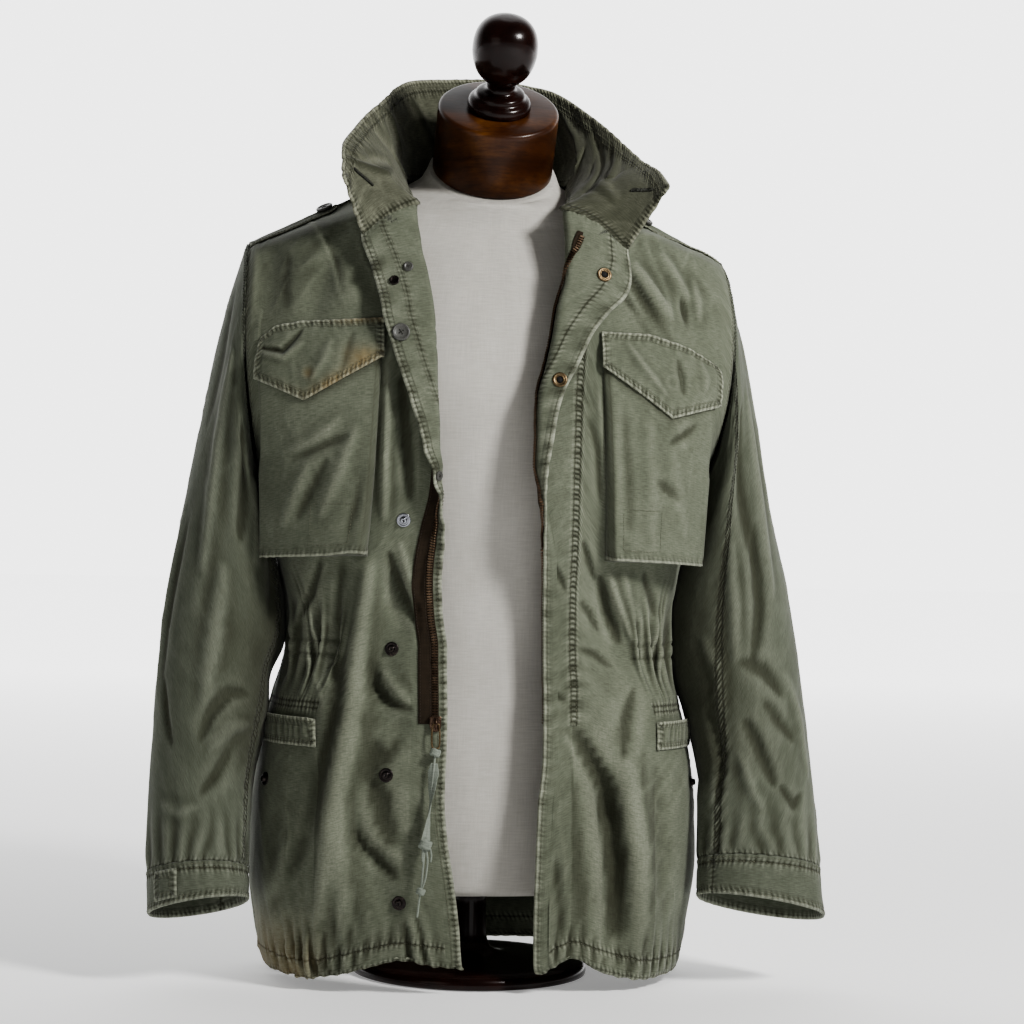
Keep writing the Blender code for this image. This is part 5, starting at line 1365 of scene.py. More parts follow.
class Graph:
    """Node tree of one material, with short calls for its nodes."""

    def __init__(self, name: str) -> None:
        """Start a material with a principled shader.

        Args:
            name: the material's name.
        """
        self.material = bpy.data.materials.new(name)
        self.material.use_nodes = True
        self.tree = self.material.node_tree
        self.shader = self.tree.nodes["Principled BSDF"]

    def add(self, kind: str, **inputs: object) -> bpy.types.Node:
        """Node of a kind with some inputs linked or set by name.

        Args:
            kind: type of the node.
            inputs: a value or number for each input.

        Returns:
            the new node.
        """
        node = self.tree.nodes.new(kind)
        for key, value in inputs.items():
            self.feed(node.inputs[key.replace("_", " ")], value)
        return node

    def feed(self, socket: Socket, value: object) -> None:
        """Link an input to a value or set its constant."""
        if isinstance(value, Value):
            self.tree.links.new(value.socket, socket)
        else:
            socket.default_value = value

    def math(self, operation: str, *values: object) -> Value:
        """Result of a math node on values or numbers.

        Args:
            operation: what the node does.
            values: what goes in.

        Returns:
            the result.
        """
        node = self.tree.nodes.new("ShaderNodeMath")
        node.operation = operation
        for socket, value in zip(node.inputs, values):
            self.feed(socket, value)
        return Value(self, node.outputs[0])

    def scaled(self, vector: Value, scale: tuple) -> Value:
        """Vector times a constant for each axis.

        Args:
            vector: the vector.
            scale: a factor for each axis.

        Returns:
            the longer or shorter vector.
        """
        node = self.tree.nodes.new("ShaderNodeVectorMath")
        node.operation = "MULTIPLY"
        self.feed(node.inputs[0], vector)
        node.inputs[1].default_value = scale
        return Value(self, node.outputs[0])

    def split(self, vector: Value) -> list[Value]:
        """The three components of a vector.

        Args:
            vector: the vector.

        Returns:
            x, y and z.
        """
        node = self.tree.nodes.new("ShaderNodeSeparateXYZ")
        self.feed(node.inputs[0], vector)
        return [Value(self, socket) for socket in node.outputs]

    def attribute(self, name: str) -> Value:
        """Vector stored on the mesh.

        Args:
            name: name of the attribute.

        Returns:
            its vector.
        """
        node = self.tree.nodes.new("ShaderNodeAttribute")
        node.attribute_name = name
        return Value(self, node.outputs["Vector"])

    def cloth_place(self) -> Value:
        """Place on the cloth in metres, from its own map."""
        return Value(self, self.add("ShaderNodeUVMap").outputs[0])

    def place(self) -> Value:
        """Place in the object's own axes."""
        return Value(self, self.add("ShaderNodeTexCoord").outputs["Object"])

    def noise(self, vector: Value, scale: float, detail: float = 3.0,
              rough: float = 0.55) -> Value:
        """Noise value about 0.5."""
        node = self.add("ShaderNodeTexNoise", Vector=vector, Scale=scale, Detail=detail,
                        Roughness=rough)
        return Value(self, node.outputs[0])

    def grain(self, place: Value, across: float, along: float, detail: float = 3.0,
              rough: float = 0.55) -> Value:
        """Noise with its own number of cells to the metre each way."""
        return self.noise(self.scaled(place, (across, along, 1.0)), 1.0, detail, rough)

    def gauss(self, value: Value, centre: float, half: float) -> Value:
        """Bell of height one about a centre."""
        t = self.math("DIVIDE", value - centre, half)
        return self.math("EXPONENT", t * t * -1.0)

    def remap(self, value: Value, low: float, high: float, to: tuple = (0.0, 1.0)) -> Value:
        """Value stretched from a range onto another, clamped.

        Args:
            value: the value.
            low: start of its range.
            high: end of its range.
            to: start and end of the new range.

        Returns:
            the new value.
        """
        node = self.add("ShaderNodeMapRange", Value=value)
        for socket, number in zip(node.inputs[1:5], (low, high, *to)):
            socket.default_value = number
        return Value(self, node.outputs[0])

    def mix(self, factor: Value, a: object, b: object) -> Value:
        """Colour between a and b, each a value or a red, green and blue.

        Args:
            factor: 0 for the first colour, 1 for the second.
            a: the first colour.
            b: the second.

        Returns:
            the mixed colour.
        """
        node = self.tree.nodes.new("ShaderNodeMix")
        node.data_type = "RGBA"
        node.clamp_factor = True
        self.feed(node.inputs[0], factor)
        colours = [socket for socket in node.inputs if socket.type == "RGBA"]
        for socket, value in zip(colours, (a, b)):
            self.feed(socket, (*value, 1.0) if isinstance(value, tuple) else value)
        return Value(self, [socket for socket in node.outputs if socket.type == "RGBA"][0])

    def bump(self, height: Value, strength: float = 1.0) -> None:
        """Height in metres onto the shader's normal."""
        node = self.add("ShaderNodeBump", Height=height, Strength=strength, Distance=1.0)
        self.feed(self.shader.inputs["Normal"], Value(self, node.outputs[0]))

    def surface(self, colour: object, rough: object, metal: float = 0.0,
                specular: float = 0.5) -> None:
        """Colour, roughness, metal and gloss of the shader.

        Args:
            colour: base colour, as a value or red, green and blue.
            rough: roughness.
            metal: 1 for metal.
            specular: gloss of what is not metal.
        """
        if isinstance(colour, tuple):
            colour = (*colour, 1.0)
        self.feed(self.shader.inputs["Base Color"], colour)
        self.feed(self.shader.inputs["Roughness"], rough)
        self.shader.inputs["Metallic"].default_value = metal
        self.shader.inputs["Specular IOR Level"].default_value = specular

    def coat(self, weight: float, rough: float) -> None:
        """Clear lacquer over the surface."""
        self.shader.inputs["Coat Weight"].default_value = weight
        self.shader.inputs["Coat Roughness"].default_value = rough


@dataclass(frozen=True)
class ClothFinish:
    """Faded cotton with slubs, puckered seams and piped edges; raised places paler where worn and
    as painted highlight, painted shade in creases, grooves, stitch rows and pucker hollows.
    """

    name: str
    base: tuple = (0.096, 0.108, 0.076)
    # worn: pale colour where worn, for painted highlight and for random fading; dark: painted shade
    # colour, also for random darker mottling
    worn: tuple = (0.310, 0.325, 0.255)
    dark: tuple = (0.034, 0.036, 0.022)
    stain: tuple = (0.225, 0.150, 0.055)
    ladder: float = 0.0050
    relief: float = 0.00046

    def material(self) -> Material:
        """Build the node tree.

        Returns:
            the material.
        """
        g = Graph(self.name)
        uv = g.cloth_place()
        slub = g.grain(uv, 130.0, 1150.0, 1.5)
        warp = g.grain(uv, 850.0, 90.0, 2.0)
        cloud = g.grain(uv, 9.0, 7.0, 4.0, 0.6)
        blotch = g.grain(uv, 48.0, 34.0, 4.0, 0.65)
        grit = g.grain(uv, 420.0, 420.0, 3.0, 0.7)
        crumple = g.math("ABSOLUTE", g.grain(uv, 75.0, 60.0, 3.0, 0.6) - 0.5)
        wander = g.grain(uv, 70.0, 70.0, 2.0)

        def rungs(along: Value, across: Value, lean: float) -> Value:
            """Ripples across a sewn line, from -1 to 1."""
            turns = along * (FULL_TURN / self.ladder) + across * lean + wander * 7.0
            return g.math("SINE", turns)

        # a sewn line: distance, place along it and strength, which is 2 more where it is twin
        off_seam, along_seam, strong = g.split(g.attribute("seam"))
        twin = g.math("GREATER_THAN", strong, 1.5)
        strong = strong - twin * 2.0
        off_row = g.math("ABSOLUTE", off_seam) - twin * TWIN_APART
        between = g.gauss(off_seam, 0.0, 0.0024) * strong * twin
        seam = rungs(along_seam, off_seam, 260.0) * (
            g.gauss(off_seam, 0.0, 0.0050) * strong + between * 0.5)
        groove = g.gauss(off_row, 0.0, 0.00085) * strong
        lip = (g.gauss(off_row, 0.0026, 0.0010) + between * 0.6) * strong

        # a turned edge: the same three, 2 more where it has one close row
        off_rim, along_rim, edge = g.split(g.attribute("rim"))
        fine = g.math("GREATER_THAN", edge, 1.5)
        edge = edge - fine * 2.0
        rough = edge * (1.0 - fine * 0.55)
        rim = rungs(along_rim, off_rim, 340.0) * (g.gauss(off_rim, 0.0030, 0.0036) * rough)
        pipe = g.gauss(off_rim, 0.0004, 0.0016) * edge
        first_row = g.gauss(off_rim, 0.0030, 0.00055) * edge
        second_row = g.gauss(off_rim, 0.0078, 0.00065) * rough
        # the puckers' crests are paler where worn and as painted highlight, their hollows darker as
        # painted shade
        ripple = seam + rim
        crest = g.math("MAXIMUM", ripple, 0.0)
        hollow = g.math("MAXIMUM", ripple * -1.0, 0.0)

        wear_and_painted_light, painted_shade_and_dirt, stain = g.split(g.attribute("tone"))
        # pale: worn places and piped edges, painted highlight on pucker crests and seam lips, and
        # random fading
        pale = (wear_and_painted_light * 0.62 + pipe * 0.62 + crest * 0.26 + lip * 0.14
                + g.remap(cloud, 0.42, 0.75, (0.0, 0.16))
                + g.remap(slub, 0.30, 0.74, (-0.08, 0.17))
                + g.remap(blotch, 0.45, 0.80, (0.0, 0.10)))
        pale = pale * g.remap(grit, 0.25, 0.62, (0.55, 1.12))
        # dim: painted shade in creases, seam grooves, stitch rows and pucker hollows, and random
        # darker mottling
        dim = (painted_shade_and_dirt * 0.75 + groove * 0.55 + hollow * 0.50 + first_row * 0.28 + second_row * 0.18
               + g.remap(cloud, 0.50, 0.24, (0.0, 0.26))
               + g.remap(warp, 0.60, 0.25, (0.0, 0.16))
               + g.remap(slub, 0.50, 0.22, (0.0, 0.24)))
        colour = g.mix(dim, g.mix(pale, self.base, self.worn), self.dark)
        ochre = stain * g.remap(blotch, 0.30, 0.62, (0.35, 1.0))
        g.surface(g.mix(ochre, colour, self.stain), g.remap(slub, 0.2, 0.8, (0.82, 0.96)),
                  0.0, 0.22)
        g.shader.inputs["Sheen Weight"].default_value = 0.10
        g.shader.inputs["Sheen Roughness"].default_value = 0.55
        g.bump(ripple * self.relief + groove * -0.00050 + first_row * -0.00022
               + second_row * -0.00020 + slub * 0.00013 + warp * 0.00007 + blotch * 0.00040
               + crumple * -0.00110 + grit * 0.00005, 0.8)
        return g.material


@dataclass(frozen=True)
class PlainFinish:
    """Metal, plastic, thread or cord, speckled where worn."""

    name: str
    colour: tuple
    rough: float
    metal: float = 0.0
    specular: float = 0.5
    spots: tuple = (0.5, 0.5, 0.5)
    amount: float = 0.15
    grain: float = 900.0
    relief: float = 0.00003

    def material(self) -> Material:
        """Build the node tree.

        Returns:
            the material.
        """
        g = Graph(self.name)
        speck = g.noise(g.place(), self.grain, 3.0, 0.6)
        patch = g.noise(g.place(), self.grain / 7, 2.0)
        worn = g.remap(speck, 0.42, 0.66) * g.remap(patch, 0.35, 0.65)
        g.surface(g.mix(worn * self.amount, self.colour, self.spots),
                  g.remap(patch, 0.2, 0.8, (self.rough * 0.85, min(self.rough * 1.25, 1.0))),
                  self.metal, self.specular)
        g.bump(speck * self.relief)
        return g.material


@dataclass(frozen=True)
class WeaveFinish:
    """Plain weave seen as crossing threads: linen or cotton tape."""

    name: str
    colour: tuple
    pale: tuple
    pitch: float
    relief: float

    def material(self) -> Material:
        """Build the node tree.

        Returns:
            the material.
        """
        g = Graph(self.name)
        uv = g.cloth_place()
        u, v, _ = g.split(uv)
        wobble = g.grain(uv, 60.0, 60.0, 2.0)
        ends, picks = (g.math("SINE", along * (FULL_TURN / self.pitch) + wobble * 2.5)
                       for along in (u, v))
        weave = ends * picks
        thick, thin = g.grain(uv, 40.0, 700.0), g.grain(uv, 700.0, 40.0)
        light = (g.remap(weave, -1.0, 1.0, (0.0, 0.35)) + g.remap(thick, 0.3, 0.7, (0, 0.35))
                 + g.remap(thin, 0.3, 0.7, (0, 0.25))
                 + g.remap(g.grain(uv, 14.0, 14.0, 4.0), 0.3, 0.7, (0, 0.25)))
        g.surface(g.mix(light, self.colour, self.pale), 0.93, 0.0, 0.2)
        g.bump((weave + thick + thin) * self.relief)
        return g.material


@dataclass(frozen=True)
class WoodFinish:
    """Lacquered hardwood with its figure running round the piece."""

    name: str
    deep: tuple
    mid: tuple
    light: tuple
    rough: float
    coat: float
    stretch: tuple = (2.2, 2.2, 16.0)

    def material(self) -> Material:
        """Build the node tree.

        Returns:
            the material.
        """
        g = Graph(self.name)
        where = g.place()
        wide = g.noise(g.scaled(where, self.stretch), 4.0, 5.0, 0.6)
        fine = g.noise(g.scaled(where, tuple(k * 7 for k in self.stretch)), 5.0, 3.0, 0.6)
        flame = g.noise(where, 22.0, 4.0, 0.6)
        colour = g.mix(g.remap(wide, 0.34, 0.64), self.deep, self.mid)
        figure = g.remap(flame, 0.48, 0.72) * g.remap(wide, 0.40, 0.70)
        colour = g.mix(figure, colour, self.light)
        colour = g.mix(g.remap(fine, 0.52, 0.30, (0.0, 0.55)), colour, self.deep)
        g.surface(colour, self.rough, 0.0, 0.20)
        g.bump(fine * 0.00010)
        g.coat(self.coat, 0.12)
        return g.material


class Palette:
    """Every finish of the piece, built once."""

    def __init__(self) -> None:
        """Build the materials."""
        self.cloth = ClothFinish("olive_cotton").material()
        # the sleeves and cuffs get a darker copy of the cotton: painted shade
        self.sleeve = ClothFinish("olive_sleeve_painted_shade", base=(0.074, 0.084, 0.060),
                                  worn=(0.255, 0.270, 0.215)).material()
        # the collar gets a still darker copy of the cotton: painted shade
        self.facing = ClothFinish("olive_collar_painted_shade", base=(0.054, 0.057, 0.038),
                                  worn=(0.280, 0.285, 0.215), ladder=0.0042,
                                  relief=0.00060).material()
        self.linen = WeaveFinish("linen", (0.380, 0.365, 0.330), (0.600, 0.580, 0.540),
                                 0.0013, 0.00012).material()
        self.tape = WeaveFinish("zip_tape_cotton", (0.011, 0.0075, 0.0048), (0.034, 0.024, 0.015),
                                0.0016, 0.00010).material()
        self.wood = WoodFinish("block_wood", (0.015, 0.0048, 0.0020), (0.048, 0.0160, 0.0050),
                               (0.120, 0.046, 0.011), 0.34, 0.10).material()
        self.dark_wood = WoodFinish("finial_wood", (0.0060, 0.0016, 0.0010),
                                    (0.0140, 0.0036, 0.0022), (0.0260, 0.0075, 0.0040),
                                    0.24, 0.16, (8.0, 8.0, 3.0)).material()
        self.brass = PlainFinish("aged_brass", (0.120, 0.086, 0.050), 0.38, 1.0,
                                 spots=(0.42, 0.31, 0.18), amount=0.7).material()
        self.copper = PlainFinish("dark_copper", (0.120, 0.082, 0.055), 0.34, 1.0,
                                  spots=(0.42, 0.31, 0.21), amount=0.35).material()
        self.slider = PlainFinish("brown_metal", (0.060, 0.038, 0.028), 0.32, 1.0,
                                  spots=(0.36, 0.25, 0.18), amount=0.6).material()
        self.snap = PlainFinish("dark_snap", (0.030, 0.026, 0.026), 0.33, 1.0,
                                spots=(0.16, 0.13, 0.11), amount=0.5).material()
        self.bright = PlainFinish("bright_snap", (0.300, 0.310, 0.340), 0.25, 1.0,
                                  spots=(0.10, 0.09, 0.09), amount=0.6).material()
        # near-black discs in the hollows of snaps, sockets and buttons stand for the shade there:
        # painted shade
        self.hollow_shade = PlainFinish("hollow_painted_shade", (0.004, 0.004, 0.004), 0.9,
                                amount=0.0).material()
        self.horn = PlainFinish("button_plastic", (0.050, 0.050, 0.045), 0.38, 0.0,
                                spots=(0.13, 0.13, 0.12), amount=0.5).material()
        self.thread = PlainFinish("olive_thread", (0.085, 0.088, 0.060), 0.75, 0.0, 0.3,
                                  spots=(0.24, 0.235, 0.17), amount=0.7, grain=400).material()
        self.dark_thread = PlainFinish("dark_thread", (0.018, 0.019, 0.013), 0.8, 0.0, 0.3,
                                       amount=0.1).material()
        self.brown_thread = PlainFinish("brown_thread", (0.030, 0.020, 0.012), 0.8, 0.0, 0.3,
                                        amount=0.1).material()
        self.cord = WeaveFinish("pull_ribbon", (0.130, 0.150, 0.125), (0.290, 0.320, 0.275),
                                0.0016, 0.00012).material()


# ---- cloth pieces --------------------------------------------------------------------
# creases of the fronts: half width, height (below zero it sinks in), skew, then distance
# from the middle and z of each point of the route, in millimetres
RIGHT_CREASES = creases(
    (14, -3.6, 0, 109, 240, 106, 185, 96, 135), (7, 3, 0, 176, 737, 153, 696, 146, 650),
    (5.5, -3.2, 0.3, 167, 723, 154, 696, 148, 661), (5.5, -4, 0.2, 243, 713, 246, 670, 248, 632),
    (7, 2, 0, 229, 712, 231, 678, 236, 632), (8, -1.4, 0, 200, 700, 203, 672, 200, 640),
    (5, 1.4, 0, 140, 672, 137, 652, 136, 636), (8.5, 4.2, -0.2, 108, 594, 109, 528, 106, 450),
    (8, -3.6, 0.2, 94, 584, 89, 528, 83, 470), (12, 5, 0.2, 118, 413, 131, 300, 151, 172, 161, 67),
    (5.5, -4.8, -0.2, 101, 418, 89, 385, 75, 353), (5, 2.6, 0, 91, 428, 81, 394, 68, 365),
    (5.8, -3.6, 0.3, 115, 318, 111, 291, 97, 275, 77, 269), (6, 2.8, 0, 104, 306, 94, 290, 80, 275),
    (5.5, -4.2, 0.3, 130, 156, 115, 136, 87, 108), (7, 2.4, 0, 112, 158, 100, 140, 82, 126),
    (4.5, -3, 0.2, 163, 412, 169, 385, 180, 352), (4, 2, 0, 174, 378, 180, 360, 187, 338),
    (9.5, -3, 0.2, 143, 414, 149, 338, 146, 280, 158, 205),
    (11, -2.6, 0, 156, 240, 168, 180, 184, 112), (10, 1.8, 0, 170, 200, 185, 140, 205, 80),
    (10, 2.2, 0, 138, 180, 141, 120, 137, 60), (8, 1.6, 0, 122, 210, 118, 170, 112, 120),
    (6, -2.2, 0, 88, 245, 97, 225, 103, 200), (4.5, -1.6, 0, 68, 420, 72, 380, 70, 330),
    (6, -2, 0, 215, 395, 206, 366, 200, 342))
LEFT_CREASES = creases(
    (6, -4, 0.3, 124, 697, 148, 657, 175, 620), (4.8, -3, 0.3, 121, 674, 139, 646, 154, 620),
    (6.5, 3.4, 0, 133, 703, 160, 662, 183, 624), (4, 1.6, 0, 124, 662, 134, 642, 144, 624),
    (4.2, -3.4, 0, 183, 671, 186, 656, 188, 640), (5.5, 2, 0, 196, 690, 200, 668, 200, 646),
    (7, 1.8, 0, 160, 715, 180, 690, 190, 668), (6, -3.8, 0.2, 104, 398, 114, 366, 128, 334),
    (6.2, 3, 0, 113, 402, 124, 372, 140, 338),
    (10, -6.2, 0.3, 83, 251, 101, 219, 114, 195, 124, 130, 127, 55),
    (9, 4, 0, 70, 247, 92, 195, 102, 130, 106, 60), (12, 4.4, -0.2, 131, 224, 142, 140, 148, 62),
    (12, -2.4, 0, 165, 215, 170, 140, 174, 66), (3.2, -1.8, 0, 51, 365, 58, 352, 54, 338),
    (3.8, -2.4, 0.2, 85, 433, 92, 414, 100, 395), (4, -2.4, 0.2, 85, 376, 97, 364, 107, 345),
    (4.2, -2, 0, 86, 329, 101, 324, 119, 312), (3.6, -1.8, 0, 55, 414, 63, 399, 70, 385),
    (3.6, -1.8, 0, 52, 300, 60, 286, 72, 280), (5, -1.8, 0, 87, 550, 97, 520, 101, 470),
    (5, 1.8, 0, 95, 575, 103, 530, 106, 470), (7, -2.6, 0, 141, 290, 132, 262, 127, 224),
    (5.5, -2.2, 0, 150, 404, 158, 385, 168, 360), (5.5, 1.6, 0, 128, 404, 135, 380, 150, 350),
    (6, -1.4, 0, 46, 200, 50, 150, 52, 100), (7, -1.8, 0, 62, 130, 67, 90, 72, 50))
# creases of the sleeves: the route runs in degrees round the sleeve (90 faces front) and rings
SLEEVE_CREASES = {
    Side.RIGHT: creases(
        (11, 4, 0, 116, 2, 122, 4.5, 118, 7), (10, -4.5, 0.2, 75, 2.2, 78, 4, 84, 5.5),
        (8, 3, 0, 52, 2.6, 60, 4, 64, 5.6), (12, 3.4, 0, 96, 6.5, 92, 8.2, 94, 9.6),
        (7, -4, 0.3, 48, 8.6, 66, 8.9, 84, 9.6, 94, 10.3),
        (7.5, 2.8, 0, 42, 9.3, 64, 9.7, 82, 10.4), (7, -2.8, 0, 60, 10.2, 74, 10.9, 90, 11.4),
        (5, -2, 0, 150, 6.4, 154, 8, 152, 9.4), (4.5, 1.8, 0, 162, 6.2, 165, 8, 163, 9.8),
        (6.5, -2.6, 0.2, 150, 9.4, 140, 10.1, 128, 10.6),
        (5, 1.6, 0, 140, 11.7, 115, 11.9, 92, 11.7), (8, -3, 0, 40, 3.4, 36, 5, 42, 6.4),
        (9, -2, 0, 150, 1.4, 146, 3, 150, 4.6), (11, -3.4, 0, 230, 3, 236, 5, 228, 7),
        (11, 3.4, 0, 262, 3.6, 266, 5.4, 258, 7.4), (8, -3.6, 0.2, 250, 8, 280, 8.4, 310, 9),
        (8, 2.8, 0, 245, 8.9, 272, 9.4, 300, 9.8), (7.5, -2.6, 0, 235, 10.4, 260, 10.9, 285, 11),
        route=(DEGREE_ROUND, RING_APART)),
    Side.LEFT: creases(
        (10, -3.8, 0.2, 104, 2.6, 100, 4.4, 108, 6.2), (11, 3.6, 0, 126, 3, 128, 5, 122, 7),
        (9, -4.6, 0.2, 112, 5.6, 104, 7, 88, 8), (8, 3.4, 0, 84, 5.2, 80, 6.6, 72, 7.8),
        (8, -4, 0.3, 76, 7.9, 96, 8.4, 112, 9), (7, -2.6, 0, 92, 9, 108, 9.6, 124, 10),
        (8, -4.4, 0.2, 70, 9.3, 84, 10.2, 98, 11), (6.5, 2.6, 0, 62, 10, 74, 10.9, 84, 11.6),
        (6, -3, 0, 104, 11, 118, 11.5, 130, 11.2), (8, 2, 0, 120, 8.6, 138, 9.6, 146, 10.8),
        (7, 2.6, 0, 48, 6.8, 54, 7.8, 48, 9), (7, -3, 0, 36, 8.6, 42, 10, 40, 11.4),
        (9, 2, 0, 150, 2, 152, 4, 148, 6), (11, -3.4, 0, 228, 3.2, 232, 5.2, 226, 7),
        (11, 3.2, 0, 258, 3.8, 262, 5.6, 256, 7.6), (8, -3.6, 0.2, 248, 8.2, 276, 8.6, 304, 9.3),
        (8, 2.6, 0, 240, 9.2, 268, 9.6, 296, 10.2), (7.5, -2.8, 0, 238, 10.6, 262, 11.2, 288, 11.3),
        route=(DEGREE_ROUND, RING_APART)),
}
# creases of the back: the route runs in x and z
BACK_CREASES = creases(
    (11, 4, 0, -200, 620, -150, 560, -120, 480), (11, 3.6, 0, 195, 625, 148, 565, 112, 490),
    (9, -3.6, 0.2, -170, 640, -120, 570, -90, 500), (9, -3.4, 0.2, 175, 610, 125, 540, 100, 460),
    (8, -3, 0, -80, 440, -75, 390, -85, 345), (8, 3, 0, -45, 455, -42, 400, -50, 345),
    (8.5, -3, 0, 30, 460, 36, 405, 28, 345), (8, 3, 0, 72, 450, 78, 395, 74, 345),
    (12, -4, 0, -120, 300, -128, 220, -140, 100), (13, 4, 0, -60, 300, -66, 220, -60, 90),
    (12, -3.6, 0, 10, 300, 4, 200, 10, 70), (13, 4, 0, 80, 300, 90, 210, 86, 80),
    (12, -4, 0, 140, 300, 152, 200, 160, 90), (11, -2.2, 0, -30, 740, -26, 680, -34, 620),
    (11, 2.4, 0, 50, 735, 56, 670, 48, 610))
# creases of the collar: the route runs along it and up from its seam
COLLAR_CREASES = creases(
    (6, -2.4, 0, 20, 70, 50, 45, 85, 30), (7, 2.4, 0, 30, 75, 65, 55, 100, 35),
    (8, 2.2, 0, 110, 80, 125, 50, 150, 20), (6, -2.4, 0, 140, 85, 160, 60, 170, 20),
    (7, -2.6, 0, 215, 85, 222, 55, 240, 20), (7, -2.6, 0, 335, 85, 350, 50, 345, 20),
    (8, 2.8, 0, 365, 85, 375, 55, 390, 20), (7, -2.8, 0, 400, 80, 420, 50, 425, 20),
    (8, 2.4, 0, 450, 70, 480, 50, 500, 20), (6, -2.6, 0, 500, 75, 520, 45, 540, 30))
# creases of the chest pockets and of their flaps, in the same measures as the fronts
POCKET_CREASES = {
    Side.RIGHT: creases(
        (7, -2.4, 0, 142, 528, 170, 516, 196, 502), (8, -2.8, 0, 163, 505, 176, 475, 188, 447),
        (10, 3.4, 0, 136, 534, 150, 492, 167, 450), (7, 2, 0, 150, 545, 176, 520, 200, 512),
        (8, -1.8, 0, 122, 500, 130, 470, 142, 435), (8, 2.2, 0, 180, 500, 192, 470, 200, 440)),
    Side.LEFT: creases(
        (5.5, -2.6, 0, 169, 528, 183, 536, 196, 547), (7, -2.2, 0, 155, 492, 168, 483, 180, 474),
        (11, 2.6, 0, 146, 549, 150, 480, 153, 425), (8, -1.8, 0, 120, 560, 126, 500, 130, 440),
        (10, 2, 0, 172, 520, 178, 480, 186, 440)),
}
FLAP_CREASES = {
    Side.RIGHT: creases(
        (3.6, -3, 0, 226, 610, 206, 607, 187, 628), (4.5, 1.8, 0, 222, 603, 204, 600, 186, 615),
        (6, 1.6, 0, 160, 618, 166, 600, 178, 580), (5, -1.4, 0, 140, 625, 146, 605, 150, 590)),
    Side.LEFT: creases(
        (5, 2, 0, 125, 622, 140, 600, 162, 575), (5, -1.8, 0, 175, 610, 180, 590, 182, 575),
        (5, 1.4, 0, 200, 606, 205, 592, 203, 580)),
}
# upper edge of the chest flaps: column, rows above row 21
CHEST = {Side.RIGHT: ((8.85, 0.05), (10.0, 0.10), (12.6, 0.24), (14.0, 0.22), (15.12, -0.10)),
         Side.LEFT: ((8.85, -0.20), (11.0, 0.00), (13.0, -0.17), (15.12, -0.60))}
# their pointed lower edge: x and z
OUTLINE = {Side.RIGHT: table("mm", (112, 602), (181, 561), (229, 584)),
           Side.LEFT: table("mm", (99, 599), (167, 553), (225, 570))}
# tape inside the left front: row, columns of its toothed edge, middle and far edge, how far
# the toothed edge reaches past the cloth, how far it is lifted off
INNER_TAPE = table(
    "nnnnmm", (7, 0, 0, 2, -1, 0.8), (13, 0, 0, 2, -1, 0.8), (14, 0, 1, 2, -1, 1.8),
    (15, 1, 2, 3, 0, 2), (16, 2.8, 3.5, 4.2, 0, 0.9), (20, 3.8, 4.2, 4.7, 0, 0.9),
    (21.5, 3.5, 3.9, 4.4, 0, 1), (22.25, 3.1, 3.3, 3.5, 0, 0.9), (22.9, 1.9, 2, 2.15, 0, 0.6),
    (23.4, 1.6, 1.68, 1.8, 0, 0.6))
# fittings that press each front flat
HELD = {Side.RIGHT: ("front_stud_1", "front_stud_2", "front_stud_3", "front_stud_4",
                     "liner_button_upper", "liner_button_lower", "neck_button", "neck_eyelet",
                     "pocket_stud_right"),
        Side.LEFT: ("flap_socket_upper", "flap_socket_lower", "pocket_stud_left")}
POCKET_FOOT, POCKET_MOUTH = 13.0, 20.0      # rows of the fronts


@dataclass
class Raised:
    """Surface that follows a dressed piece of cloth at a height."""

    base: Cloth
    height: Callable[[Array, Array], Array]
    warp: Callable[[Array, Array], tuple[Array, Array]] | None = None

    def points(self, row: Array, col: Array) -> tuple[Array, Array]:
        """Points and normals at rows and columns of the piece beneath."""
        if self.warp:
            row, col = self.warp(row, col)
        return self.base.at(row, col, self.height(row, col))


@dataclass
class Given:
    """Surface through a table of points, for pieces traced elsewhere."""

    place: Array
    normal: Array

    def points(self, row: Array, col: Array) -> tuple[Array, Array]:
        """The points as given, whatever the rows and columns."""
        return self.place, self.normal


